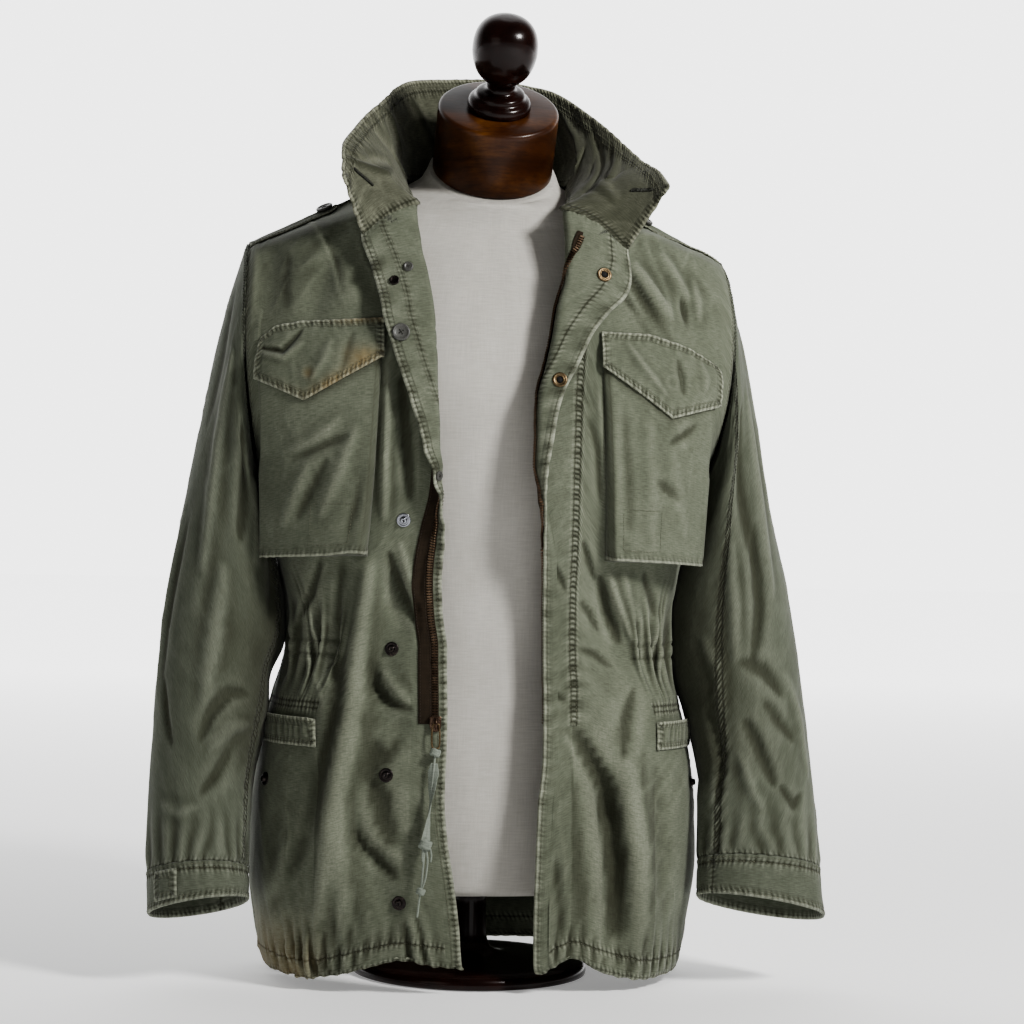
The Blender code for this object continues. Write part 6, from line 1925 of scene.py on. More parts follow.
@dataclass
class JacketFront:
    """One front with its lapel, seams, creases and waist gathers."""

    side: Side
    finish: Material
    flat: tuple = (0.345, 0.800)
    area: float = 0.190
    rows: int = 240
    strip_cols: int = 46
    body_cols: int = 105
    hem_deep: float = 0.021
    facing_deep: tuple = (0.0250, 0.0245)
    pocket_seam: tuple = (7.42, 7.62)

    def dress(self) -> Cloth:
        """Shape the cloth and return it.

        Returns:
            the dressed cloth.
        """
        rows = np.linspace(0, SHOULDER, self.rows)
        cols = np.concatenate([np.linspace(0, STRIP, self.strip_cols),
                               np.linspace(STRIP, SIDE, self.body_cols)[1:]])
        cloth = Cloth(FrontSurface(self.side), rows, cols, seed=self.side.pick(11, 47),
                      origin=self.side.pick((0.0, 0.0), (1.0, 0.3)))
        cloth.cells = np.ones((len(rows) - 1, len(cols) - 1), bool)
        cloth.cells[np.searchsorted(rows, LAPEL_TOP):, :self.strip_cols - 1] = False
        free, hem = cloth.from_col(0), cloth.from_row(0)
        side, top = -cloth.from_col(SIDE), -cloth.from_row(SHOULDER)
        body, strip = cloth.c >= STRIP - 0.3, cloth.c <= STRIP + 0.2
        cloth.lay(self.side.pick(RIGHT_CREASES, LEFT_CREASES), cloth.x, cloth.z, body)
        self.gathers(cloth)
        cloth.rumple(0.060, 0.0008, cloth.seed)
        cloth.rumple(0.021, 0.00035, cloth.seed + 5)
        cloth.wrinkle(0.026, 0.110, 0.0011, 12 * self.side.value, cloth.seed + 31, body)
        cloth.wrinkle(0.018, 0.060, 0.0007, -38 * self.side.value, cloth.seed + 37, body)
        cloth.wrinkle(0.013, 0.035, 0.0005, 30, cloth.seed + 41)
        # nearly flat beneath the chest pocket and the lower pocket's band, level at the seams
        chest = (ease(cloth.r, POCKET_FOOT - 0.5, POCKET_FOOT + 0.1)
                 * (1 - ease(cloth.r, 21.4, 22.0))
                 * ease(cloth.c, 8.5, 8.95) * (1 - ease(cloth.c, 15.1, 15.5)))
        cloth.height *= 1 - 0.92 * chest
        band = ease(cloth.r, 5.3, 5.8) * (1 - ease(cloth.r, 7.1, 7.5)) * ease(cloth.c, 8.6, 9.0)
        cloth.height *= 1 - 0.9 * band
        cloth.height *= ease(side, 0.0, 0.012) * ease(top, 0.0, 0.012)
        cloth.rim_line(free, cloth.v, 0.0009, 0.019, self.side is Side.LEFT)
        cloth.rim_line(hem, cloth.u, 0.0007, 0.015)
        cloth.seam_line(side, cloth.v, 1.0, 0.0005, 0.017)
        cloth.seam_line(top, cloth.u, body * 1.0, 0.0004, 0.015)
        cloth.seam_line(cloth.from_row(LAPEL_TOP), cloth.u, strip * 1.0, 0.0004, 0.014)
        cloth.seam_line(hem - self.hem_deep, cloth.u, body * 1.0, 0.0004, 0.013)
        for row in self.pocket_seam:
            cloth.seam_line(cloth.from_row(row), cloth.u, (cloth.c > 9.1) * 1.0, 0.0003, 0.012)
        facing = free - self.side.pick(*self.facing_deep)
        if self.side is Side.RIGHT:
            # an ochre stain at the corner of the hem, and a darker patch high on the side towards
            # the shoulder
            cloth.stain += 0.45 * bell(hem, 0.045) * ease(cloth.x, 0.140, 0.190)
            cloth.painted_shade_and_dirt += 0.38 * ease(cloth.x, 0.140, 0.215) * ease(cloth.z, 0.600, 0.650) * body
            cloth.seam_line(facing, cloth.v, 0.7 * (cloth.r > 18.2) * strip, 0.0006, 0.016)
        else:
            run = (cloth.r > 6.9) * (cloth.r < 20.3)
            cloth.seam_line(cloth.from_col(SPLIT), cloth.v, run * body, 0.0010, 0.015, True)
            cloth.seam_line(facing, cloth.v, (cloth.r > 17.0) * strip, 0.0004, 0.016)
        # painted shade on the lapel facings towards the neck
        cloth.painted_shade_and_dirt += 0.55 * ease(cloth.r, 20.5, 23.5) * ease(cloth.c, 1.6, 4.2) * strip
        self.hold(cloth)
        lapel = ease(cloth.r, 13.5, 15.5) * (1 - ease(cloth.r, 23.0, 24.0))
        cloth.wave(free, cloth.v, 0.016, 0.043, self.side.pick(0.0018, 0.0006), lapel)
        return cloth

    def hold(self, cloth: Cloth) -> None:
        """Keep the cloth level where snaps and buttons press on it."""
        for node in HELD[self.side]:
            low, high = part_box(node)
            away = np.linalg.norm(cloth.p - np.array((low + high) / 2), axis=-1)
            cloth.height *= 1 - np.exp(-(away / 0.015) ** 4)

    def gathers(self, cloth: Cloth) -> None:
        """Fine gathers at the waist cord and the hem, knotted by their channel, paler on their
        crests where worn and as painted highlight, with painted shade in their troughs and channel.

        Args:
            cloth: the front to gather.
        """
        zone = ease(cloth.c, 9.0, 10.4) * (1 - ease(cloth.c, 16.6, 17.6))
        phase = 2 * math.pi * (cloth.c * 0.93 + 0.55 * noise(cloth.c * 0.8, cloth.z / 0.05, 5))
        spread = np.where(cloth.z > WAIST_Z, 0.034, 0.026)
        wide = np.exp(-np.abs((cloth.z - WAIST_Z) / spread) ** 1.5)
        strong = 0.65 + 0.35 * noise(cloth.c * 1.1, 0.0, 9)
        pleat = np.sin(phase) * wide * zone * strong
        cloth.height += 0.0042 * pleat
        # crests paler where worn and as painted highlight, troughs darkened as painted shade
        cloth.wear_and_painted_light += 0.34 * np.maximum(pleat, 0)
        cloth.painted_shade_and_dirt += 1.00 * np.maximum(-pleat, 0)
        # painted shade along the cord's channel
        channel = bell(np.abs(cloth.z - WAIST_Z) - 0.0065, 0.0018) * zone
        cloth.height -= 0.0014 * channel
        cloth.painted_shade_and_dirt += 0.40 * channel
        foot = np.exp(-np.maximum(cloth.z - 0.030, 0) / 0.026) * ease(cloth.x, 0.050, 0.068)
        foot = foot * (1 - 0.6 * ease(cloth.x, 0.150, 0.185))
        amount = self.side.pick(1.0, 0.50)
        phase = 2 * math.pi * (cloth.u / 0.0135 + 0.6 * noise(cloth.u / 0.03, cloth.z / 0.05, 8))
        tuck = np.sin(phase) * foot * (0.6 + 0.4 * noise(cloth.u / 0.04, 0.0, 4))
        # dark slashes of painted shade in the deepest tucks of the hem
        slash = ease(-tuck, 0.08, 0.34) * ease(cloth.from_row(0), 0.003, 0.012)
        cloth.height += amount * (0.0046 * tuck - 0.0022 * slash) * (
            0.15 + 0.85 * ease(cloth.from_row(0), 0.0, 0.014))
        cloth.painted_shade_and_dirt += 1.6 * amount * slash
        cloth.wear_and_painted_light += 0.30 * amount * np.maximum(tuck, 0)

    def build(self, cloth: Cloth, threads: Threads) -> Piece:
        """Make the shell and sew its edges.

        Args:
            cloth: the dressed piece.
            threads: where its stitches go.

        Returns:
            the finished front.
        """
        word = self.side.word
        nodes = self.side.pick(("front_right",), ("front_left", "storm_flap"))
        obj = cloth.shell(f"front_{word}_cloth", cloth.wall(), self.finish, nodes)
        rows = np.linspace(0.4, LAPEL_TOP - 0.1, 160)
        for distance in self.side.pick((FIRST_ROW, 0.0078), (FIRST_ROW,)):
            cols = cloth.col_at(rows, distance)
            threads.run(cloth, rows, cols)
            high = rows > 13.5
            threads.run(cloth, rows[high], cols[high], inside=EDGE)
        span = np.linspace(STRIP, SIDE - 0.3, 60)
        for distance in (FIRST_ROW, self.hem_deep - 0.0005):
            threads.run(cloth, cloth.row_at(span, distance), span)
        if self.side is Side.LEFT:
            rows = np.linspace(7.0, 20.2, 90)
            for shift in (-TWIN_APART, TWIN_APART):
                close = shift * ease(rows, 6.95, 7.35)
                cols = np.array([float(cloth.col_at(r, d, SPLIT)) for r, d in zip(rows, close)])
                threads.run(cloth, rows, cols)
        else:
            rows = np.linspace(18.4, LAPEL_TOP - 0.2, 60)
            for shift in (0.0224, 0.0276):
                threads.run(cloth, rows, cloth.col_at(rows, shift), inside=CLOTH)
        rows = np.linspace(1.0, SHOULDER - 0.4, 120)
        threads.run(cloth, rows, cloth.col_at(rows, -FIRST_ROW, SIDE))
        return obj


@dataclass
class JacketBack:
    """The back in one piece, gathered at the waist."""

    finish: Material
    flat: tuple = (0.560, 0.800)
    area: float = 0.430

    def dress(self) -> Cloth:
        """Shape the cloth and return it.

        Returns:
            the dressed cloth.
        """
        cloth = Cloth(BackSurface(), np.linspace(0, SHOULDER, 170), np.linspace(0, BACK_COLS, 141),
                      seed=83, origin=(2.0, 0.1))
        z = cloth.z
        cloth.lay(BACK_CREASES, cloth.p[..., 0], z, wide=1.5, deep=0.75)
        phase = 2 * math.pi * (cloth.c * 0.8 + 0.5 * noise(cloth.c * 0.7, z / 0.06, 3))
        pleat = np.sin(phase) * np.exp(-np.abs((z - WAIST_Z) / 0.030) ** 1.5)
        pleat = pleat * (0.65 + 0.35 * noise(cloth.c, 0.0, 6))
        cloth.height += 0.0024 * pleat - 0.0014 * bell(z - WAIST_Z, 0.0032)
        # painted shade in the pleats' troughs; their crests paler where worn and as painted
        # highlight
        cloth.painted_shade_and_dirt += 0.40 * np.maximum(-pleat, 0)
        cloth.wear_and_painted_light += 0.28 * np.maximum(pleat, 0)
        cloth.rumple(0.070, 0.0010, 21)
        cloth.rumple(0.024, 0.0004, 29)
        cloth.wrinkle(0.030, 0.120, 0.0008, 8, 33)
        cloth.wrinkle(0.018, 0.050, 0.0005, -35, 39)
        left, right = cloth.from_col(0), -cloth.from_col(BACK_COLS)
        top, hem = -cloth.from_row(SHOULDER), cloth.from_row(0)
        cloth.height *= ease(left, 0, 0.012) * ease(right, 0, 0.012) * ease(top, 0, 0.012)
        cloth.rim_line(hem, cloth.u, 0.0007, 0.016)
        cloth.seam_line(left, cloth.v, 1.0, 0.0005, 0.017)
        cloth.seam_line(right, cloth.v, 1.0, 0.0005, 0.017)
        cloth.seam_line(top, cloth.u, 1.0, 0.0004, 0.016)
        cloth.seam_line(hem - 0.021, cloth.u, 1.0, 0.0004, 0.014)
        cloth.seam_line(cloth.from_row(10.0), cloth.u, 1.0, 0.0006, 0.012)
        return cloth

    def build(self, cloth: Cloth, threads: Threads) -> Piece:
        """Make the shell and sew its hem and seams.

        Args:
            cloth: the dressed piece.
            threads: where its stitches go.

        Returns:
            the finished back.
        """
        obj = cloth.shell("back_cloth", cloth.wall(), self.finish, ("back",))
        span = np.linspace(0.4, BACK_COLS - 0.4, 120)
        for distance in (FIRST_ROW, 0.0205):
            threads.run(cloth, cloth.row_at(span, distance), span)
        for row in (9.75, 10.25):
            threads.run(cloth, np.full(120, row), span)
        rows = np.linspace(1, SHOULDER - 0.5, 100)
        threads.run(cloth, rows, cloth.col_at(rows, 0.0032, 0))
        threads.run(cloth, rows, cloth.col_at(rows, -0.0032, BACK_COLS))
        return obj


@dataclass
class JacketSleeve:
    """One sleeve, bent a little at the elbow, with its lapped seam."""

    side: Side
    finish: Material
    flat: tuple = (0.470, 0.620)
    area: float = 0.180

    def dress(self) -> Cloth:
        """Shape the cloth and return it.

        Returns:
            the dressed cloth.
        """
        turns = np.linspace(0, 2 * math.pi, 121)[:-1]
        cloth = Cloth(SleeveSurface(self.side), np.linspace(0, 13, 166), turns, closed=True,
                      seed=self.side.pick(131, 171), origin=(self.side.pick(3.0, 4.0), 0.2))
        around, along = np.degrees(cloth.c) * DEGREE_ROUND, cloth.r * RING_APART
        cloth.lay(SLEEVE_CREASES[self.side], around, along)
        # small tucks above the cuff
        low = ease(cloth.r, 11.2, 12.8)
        tuck = np.sin(cloth.c * 17 + 2.2 * noise(cloth.c * 2, cloth.r, 4)) * low
        cloth.height += 0.0012 * tuck
        # painted shade in the tucks
        cloth.painted_shade_and_dirt += 0.25 * np.maximum(-tuck, 0)
        turn = cloth.c / (2 * math.pi) * 6
        turn = np.minimum(turn, 6 - turn)
        cloth.height += 0.0010 * clouds(turn * 1.7, cloth.r * 0.55, cloth.seed)
        cloth.height += 0.0004 * clouds(turn * 5.0, cloth.r * 1.7, cloth.seed + 3)
        inside = ease(cloth.c, 0.15, 0.5) * (1 - ease(cloth.c, 5.8, 6.13))
        cloth.wrinkle(0.022, 0.090, 0.0005, 24 * self.side.value, cloth.seed + 31, inside)
        cloth.wrinkle(0.014, 0.045, 0.0003, -50 * self.side.value, cloth.seed + 37, inside)
        top, end = cloth.from_row(0), -cloth.from_row(13)
        cloth.height *= ease(top, 0.0, 0.014) * (0.25 + 0.75 * ease(end, 0.0, 0.010))
        rings = self.side.pick(RIGHT_SLEEVE, LEFT_SLEEVE)
        gap = Curve(rings, 4)(cloth.r) - BODY_WIDTH(Curve(rings, 6)(cloth.r))
        inward = np.minimum(cloth.c, 2 * math.pi - cloth.c)
        # the inner side leans on the body down to the elbow or beyond
        near = bell(inward, 0.95)
        if self.side is Side.RIGHT:
            near = near * (1 - ease(cloth.r, 9.4, 10.6)) * (1 - bell(cloth.r - 7.5, 0.65))
        else:
            near, gap = near * (1 - ease(cloth.r, 11.4, 12.4)), gap + 0.0025
        cloth.height += np.clip(gap - 0.0005, 0, 0.016) * near * ease(cloth.r, 0.3, 1.2)
        # painted shadow on the inner side, where the sleeve lies close to the body
        length = ease(cloth.r, 1.0, 2.6) * (1 - ease(cloth.r, 9.8, 11.4))
        cloth.painted_shade_and_dirt += 1.35 * bell(inward, 1.10) * length
        girth, around = cloth.girth(), cloth.c * cloth.girth() / 6.3
        for turn, tall, wave, lapped in ((self.seam_turn(cloth.r), 0.0012, 0.015, True),
                                         (math.radians(262), 0.0006, 0.017, False)):
            cloth.seam_line((cloth.c - turn) * girth / 6.2, cloth.v, 1.0, tall, wave, lapped)
        cloth.seam_line(top - 0.0015, around, 1.0, 0.0007, 0.015)
        cloth.seam_line(end, around, 1.0, 0.0007, 0.012)
        return cloth

    def seam_turn(self, ring: Array) -> Array:
        """Where the lapped seam lies round the sleeve, in radians."""
        places = self.side.pick((28,) * 7, (90, 90, 80, 62, 48, 40, 37))
        return np.radians(np.interp(ring, (0, 3, 5, 7, 9, 11, 13), places))

    def build(self, cloth: Cloth, threads: Threads) -> Piece:
        """Make the shell and sew the lapped seam.

        Args:
            cloth: the dressed sleeve.
            threads: where its stitches go.

        Returns:
            the finished sleeve.
        """
        word = self.side.word
        obj = cloth.shell(f"sleeve_{word}_cloth", CLOTH, self.finish, (f"sleeve_{word}",))
        rows = np.linspace(0.2, 12.9, 120)
        for shift in (-0.052, 0.052):
            threads.run(cloth, rows, self.seam_turn(rows) + shift)
        round_it = np.linspace(0.02, 6.22, 160)
        threads.run(cloth, np.full(160, 0.10), round_it)
        threads.run(cloth, np.full(160, 0.24), round_it)
        return obj


@dataclass
class JacketCuff:
    """One cuff band with its stitched tab."""

    side: Side
    finish: Material
    flat: tuple = (0.270, 0.045)
    tab_flat: tuple = (0.030, 0.030)

    def dress(self) -> Cloth:
        """Shape the cloth and return it.

        Returns:
            the dressed cloth.
        """
        turns = np.linspace(0, 2 * math.pi, 121)[:-1]
        cloth = Cloth(CuffSurface(self.side), np.linspace(0, 1, 26), turns, closed=True,
                      seed=self.side.pick(211, 241), origin=(self.side.pick(5.0, 5.5), 0.0))
        top, end = cloth.from_row(0), -cloth.from_row(1)
        turn = cloth.c / (2 * math.pi) * 8
        turn = np.minimum(turn, 8 - turn)
        soft = self.side.pick(0.0012, 0.0020)
        cloth.height += soft * clouds(turn * 1.3, cloth.r * 0.8, cloth.seed) * ease(top, 0, 0.03)
        around = cloth.c * cloth.girth() / 6.3
        ripple = np.sin(around / 0.0105 * 6.28) * bell(top - 0.003, 0.006)
        cloth.height += 0.0006 * ripple
        cloth.rim_line(end, around, 0.0006, 0.013)
        cloth.seam_line(top - 0.0060, around, 1.0, 0.0006, 0.012)
        seam = (cloth.c - math.radians(self.side.pick(300, 33))) * cloth.girth() / 6.2
        cloth.seam_line(seam, cloth.v, 1.0, 0.0005, 0.012)
        return cloth

    def build(self, cloth: Cloth, threads: Threads) -> Piece:
        """Make the cuff and its tab.

        Args:
            cloth: the dressed piece.
            threads: where its stitches go.

        Returns:
            the finished cuff.
        """
        word = self.side.word
        obj = cloth.shell(f"cuff_{word}_cloth", 0.0024, self.finish, (f"cuff_{word}",))
        around = np.linspace(0.02, 6.22, 160)
        for row in (0.05, 0.16, 0.86, 0.95):
            threads.run(cloth, np.full(160, row), around)
        first, last = self.side.pick((2.02, 2.55), (3.62, 4.10))
        tab = Cloth(Raised(cloth, lambda r, c: np.full(r.shape, PATCH + LIFT)),
                    np.linspace(0.14, 0.86, 20), np.linspace(first, last, 22), seed=7,
                    origin=(5.8, 0.0))
        tab.hem(0.0002, 0.010)
        patch = tab.shell(f"cuff_tab_{word}_cloth", PATCH, self.finish, (f"cuff_tab_{word}",))
        inner = (0.30, 0.70)
        wide = (first + 0.13, last - 0.13)
        for rows, cols in (((inner[0], inner[0]), wide), ((inner[1], inner[1]), wide),
                           (inner, (wide[0], wide[0])), (inner, (wide[1], wide[1]))):
            threads.run(tab, np.linspace(*rows, 20), np.linspace(*cols, 20))
        return obj


@dataclass
class JacketCollar:
    """The standing collar with its piped and close-stitched top edge."""

    surface: CollarSurface
    finish: Material
    flat: tuple = (0.620, 0.110)
    area: float = 0.055

    def dress(self) -> Cloth:
        """Shape the cloth and return it.

        Returns:
            the dressed cloth.
        """
        cloth = Cloth(self.surface, np.linspace(-0.05, 1, 38), np.linspace(0, 1, 331), seed=301,
                      origin=(6.0, 0.0))
        top, foot = -cloth.from_row(1), cloth.from_row(0)
        a, b = cloth.from_col(0), -cloth.from_col(1)
        cloth.lay(COLLAR_CREASES, cloth.u, cloth.v)
        cloth.rumple(0.040, 0.0010, 5)
        cloth.rumple(0.016, 0.0004, 9)
        cloth.wrinkle(0.016, 0.040, 0.0009, 24, 13)
        cloth.wrinkle(0.011, 0.028, 0.0007, -35, 17)
        cloth.height *= ease(foot, 0.0, 0.012)
        cloth.rim_line(top, cloth.u, 0.0008, 0.012)
        cloth.rim_line(a, cloth.v, 0.0014, 0.015)
        cloth.rim_line(b, cloth.v, 0.0014, 0.015)
        cloth.seam_line(top - 0.0115, cloth.u, 1.0, 0.0006, 0.011)
        # painted shade in short puckers below the band's stitching
        tick = np.sin(2 * math.pi * (cloth.u / 0.0115 + 0.5 * noise(cloth.u / 0.03, 0.0, 21)))
        cloth.painted_shade_and_dirt += 0.9 * ease(tick, 0.35, 0.9) * bell(top - 0.0135, 0.0065)
        cloth.seam_line(foot, cloth.u, 1.0, 0.0004, 0.014)
        # painted shade over the back and the wearer's left wing
        cloth.painted_shade_and_dirt += 0.42 * ease(cloth.u, 0.38, 0.48) * (1 - 0.6 * bell(top, 0.008))
        # painted light on the wearer's right wing
        cloth.wear_and_painted_light += 0.16 * (1 - ease(cloth.u, 0.10, 0.18))
        return cloth

    def build(self, cloth: Cloth, threads: Threads, dark: Threads) -> Piece:
        """Make the shell, its stitching and the slits of the two wings, drawn as dark strokes of
        painted shade.

        Args:
            cloth: the dressed collar.
            threads: where its stitches go.
            dark: where the slits go.

        Returns:
            the finished collar.
        """
        obj = cloth.shell("collar_cloth", COLLAR_WALL, self.finish, ("collar",))
        span = np.linspace(0.012, 0.988, 260)
        for distance in (-0.0030, -0.0095, -0.0135):
            rows = cloth.row_at(span, distance, 1)
            threads.run(cloth, rows, span)
            threads.run(cloth, rows, span, inside=COLLAR_WALL)
        # the slits are dark strokes on the inner face standing for the shade in them: painted shade
        for c0, r0, c1, r1 in ((0.051, 0.755, 0.065, 0.42), (0.927, 0.575, 0.964, 0.786)):
            for shift in (-0.012, 0.0, 0.012):
                dark.run(cloth, np.linspace(r0, r1, 12) + shift, np.linspace(c0, c1, 12),
                         inside=COLLAR_WALL, pitch=0.0008, long=0.0028, half=0.0015)
        return obj


def pocket_height(row: Array, col: Array, walls: bool = True) -> Array:
    """Height of a chest pocket's face above the front.

    Args:
        row: rows of the front.
        col: its columns.
        walls: whether the edges come down to the front.

    Returns:
        the height at each point.
    """
    v = np.clip((row - POCKET_FOOT) / (POCKET_MOUTH - POCKET_FOOT), 0, 1)
    u = np.clip((col - PIN) / (POUT - PIN), 0, 1)
    full = 0.0048 + 0.011 * (1 - v) + 0.013 * u * (1 - v) ** 2 + 0.002 * u
    if not walls:
        return full
    rise = np.clip((row - POCKET_FOOT) / 0.13, 0, 1) * np.clip((col - PIN) / 0.22, 0, 1)
    rise = rise * np.clip((POUT - col) / 0.25, 0, 1)
    return PATCH + LIFT + (full - PATCH - LIFT) * np.sqrt(rise)


@dataclass
class ChestPocket:
    """Bellows pocket and its pointed flap."""

    side: Side
    finish: Material
    flat: tuple = (0.190, 0.230)
    area: float = 0.030
    flap_flat: tuple = (0.145, 0.085)
    flap_area: float = 0.0085

    def pocket(self, front: Cloth, threads: Threads) -> Cloth:
        """Build the pouch and return its cloth.

        Args:
            front: the front that carries it, dressed.
            threads: where its stitches go.

        Returns:
            the dressed pouch.
        """
        low, left, right = POCKET_FOOT + 0.13, PIN + 0.22, POUT - 0.25
        rows = np.concatenate([np.linspace(POCKET_FOOT, low, 5),
                               np.linspace(low, POCKET_MOUTH, 72)[1:]])
        cols = np.concatenate([np.linspace(PIN, left, 6), np.linspace(left, right, 58)[1:],
                               np.linspace(right, POUT, 6)[1:]])
        cloth = Cloth(Raised(front, pocket_height), rows, cols, seed=401,
                      origin=(self.side.pick(7.0, 7.3), 0.0))
        cloth.lay(POCKET_CREASES[self.side], cloth.x, cloth.z, deep=0.7)
        cloth.rumple(0.045, 0.0006, 61)
        cloth.rumple(0.018, 0.0003, 67)
        cloth.wrinkle(0.022, 0.070, 0.0007, 28 * self.side.value, 71)
        cloth.wrinkle(0.013, 0.035, 0.0004, -20, 77)
        foot, inner, outer = cloth.from_row(low), cloth.from_col(left), -cloth.from_col(right)
        for distance in (foot, inner, outer):
            cloth.height *= ease(distance, 0.001, 0.010)
        cloth.rim_line(foot, cloth.u, 0.0005, 0.014, True)
        cloth.wear_and_painted_light += 0.7 * bell(foot, 0.0012)
        # painted shade along the pouch's two side edges
        cloth.painted_shade_and_dirt += 0.35 * bell(inner, 0.0016) + 0.35 * bell(outer, 0.0016)
        # a painted shadow below the flap, and painted shade on the walls
        edge = OUTLINE[self.side]
        drop = np.interp(cloth.x, [k[0] for k in edge], [k[1] for k in edge]) - cloth.z
        cloth.painted_shade_and_dirt += 0.75 * bell(np.maximum(drop, 0), 0.0055)
        walls = (cloth.c < left - 0.02) | (cloth.c > right + 0.02) | (cloth.r < low - 0.01)
        cloth.painted_shade_and_dirt += 0.5 * walls
        word = self.side.word
        obj = cloth.shell(f"chest_pocket_{word}_cloth", PATCH, self.finish,
                          (f"chest_pocket_{word}",))
        c0 = self.side.pick(9.75, 9.6)
        for a, b in (((13.5, 13.5), (c0, c0 + 1.9)), ((14.9, 14.9), (c0, c0 + 1.9)),
                     ((13.5, 14.9), (c0 + 1.9, c0 + 1.9)), ((13.5, 14.9), (c0, c0))):
            threads.run(cloth, np.linspace(*a, 12), np.linspace(*b, 12))
        return cloth

    def flap(self, front: Cloth, threads: Threads) -> None:
        """Build the flap over the pocket's mouth.

        Args:
            front: the front that carries it, dressed.
            threads: where its stitches go.
        """
        cols = np.linspace(8.85, 15.12, 78)
        upper, outline = CHEST[self.side], OUTLINE[self.side]
        start = 21.0 + np.interp(cols, [k[0] for k in upper], [k[1] for k in upper])
        x = np.abs(front.at(np.full(78, 19.5), cols)[0][:, 0])
        target = np.interp(x, [k[0] for k in outline], [k[1] for k in outline])
        climb = np.linspace(13, 21, 160)
        low = np.array([np.interp(t, front.at(climb, np.full(160, c))[0][:, 2], climb)
                        for c, t in zip(cols, target)])

        def warp(share: Array, col: Array) -> tuple[Array, Array]:
            """Rows of the front for shares of the flap's drop."""
            a, b = np.interp(col, cols, start), np.interp(col, cols, low)
            return a + (b - a) * share, col

        def height(row: Array, col: Array) -> Array:
            """Height of the flap above the front.

            Args:
                row: rows of the front.
                col: its columns.

            Returns:
                the height.
            """
            a = np.interp(col, cols, start)
            out = pocket_height(np.clip(row, 13.5, 20.0), np.clip(col, 9.05, 14.95), False)
            share = np.clip((a - row) / (a - 20.1), 0, 1)
            return PATCH + LIFT + (out + 0.0016 - LIFT) * share

        cloth = Cloth(Raised(front, height, warp), np.linspace(0, 1, 46), cols, seed=431,
                      origin=(self.side.pick(8.0, 8.3), 0.0))
        if self.side is Side.RIGHT:
            mark = np.hypot((cloth.x - 0.128) / 0.021, (cloth.z - 0.602) / 0.013)
            ring = np.hypot(cloth.x - 0.1800, cloth.z - 0.586)
            lower = bell(cloth.from_row(1), 0.009) * bell(cloth.x - 0.160, 0.032)
            cloth.stain += 0.55 * bell(mark, 0.8) + 0.40 * bell(ring, 0.005) + 0.50 * lower
            cloth.stain += 0.45 * bell(cloth.from_row(0), 0.004) * bell(cloth.x - 0.125, 0.030)
        cloth.lay(FLAP_CREASES[self.side], cloth.x, cloth.z)
        ring = np.hypot(cloth.x - self.side.pick(0.181, 0.168), cloth.z - 0.587)
        cloth.height += 0.0008 * bell(ring - 0.0062, 0.0022)
        cloth.rumple(0.028, 0.0008, 71)
        cloth.wrinkle(0.020, 0.030, 0.0010, 15, 83)
        inside = np.ones_like(cloth.r)
        for distance, _ in cloth.edges():
            inside = inside * ease(distance, 0.0, 0.008)
        cloth.height *= inside
        cloth.hem(0.0006, 0.011)
        word = self.side.word
        obj = cloth.shell(f"chest_flap_{word}_cloth", PATCH, self.finish, (f"chest_flap_{word}",))
        span, drop = np.linspace(8.95, 15.0, 80), np.linspace(0.04, 0.96, 30)
        for distance in (0.0028, 0.0068):
            threads.run(cloth, cloth.row_at(span, distance), span)
            threads.run(cloth, cloth.row_at(span, -distance, 1), span)
        threads.run(cloth, drop, cloth.col_at(drop, 0.0028, 8.85))
        threads.run(cloth, drop, cloth.col_at(drop, -0.0028, 15.12))


@dataclass
class LowerPocket:
    """Hemmed mouth of a lower pocket, standing a little off the front."""

    side: Side
    finish: Material
    flat: tuple = (0.100, 0.030)

    def build(self, front: Cloth, threads: Threads) -> None:
        """Make the band and its stitching.

        Args:
            front: the front that carries it, dressed.
            threads: where its stitches go.
        """
        def height(row: Array, col: Array) -> Array:
            """Height of the band above the front."""
            lift = np.interp(row, (5.85, 6.15, 6.6, 7.0), (PATCH + LIFT, 0.0040, 0.0062, 0.0072))
            return PATCH + LIFT + (lift - PATCH - LIFT) * np.clip((col - 8.99) / 0.8, 0, 1)

        cloth = Cloth(Raised(front, height), np.linspace(5.85, 7.0, 22), np.linspace(9, 17.9, 90),
                      seed=501, origin=(9.0, self.side.pick(0.0, 0.2)))
        ripple = np.sin(2 * math.pi * (cloth.u / 0.0090 + 0.4 * noise(cloth.u / 0.02, 0, 3)))
        middle = bell(cloth.from_row(6.45), 0.008)
        cloth.height += 0.0007 * ripple * middle
        # painted shade in the ripples' troughs
        cloth.painted_shade_and_dirt += 0.35 * np.maximum(-ripple, 0) * middle
        cloth.hem(0.0003, 0.010, 3)
        word = self.side.word
        obj = cloth.shell(f"lower_pocket_{word}_cloth", PATCH, self.finish,
                          (f"lower_pocket_band_{word}",))
        span = np.linspace(9.1, 17.7, 60)
        for distance, row in ((0.003, 5.85), (0.0055, 5.85), (-0.003, 7.0)):
            threads.run(cloth, cloth.row_at(span, distance, row), span)


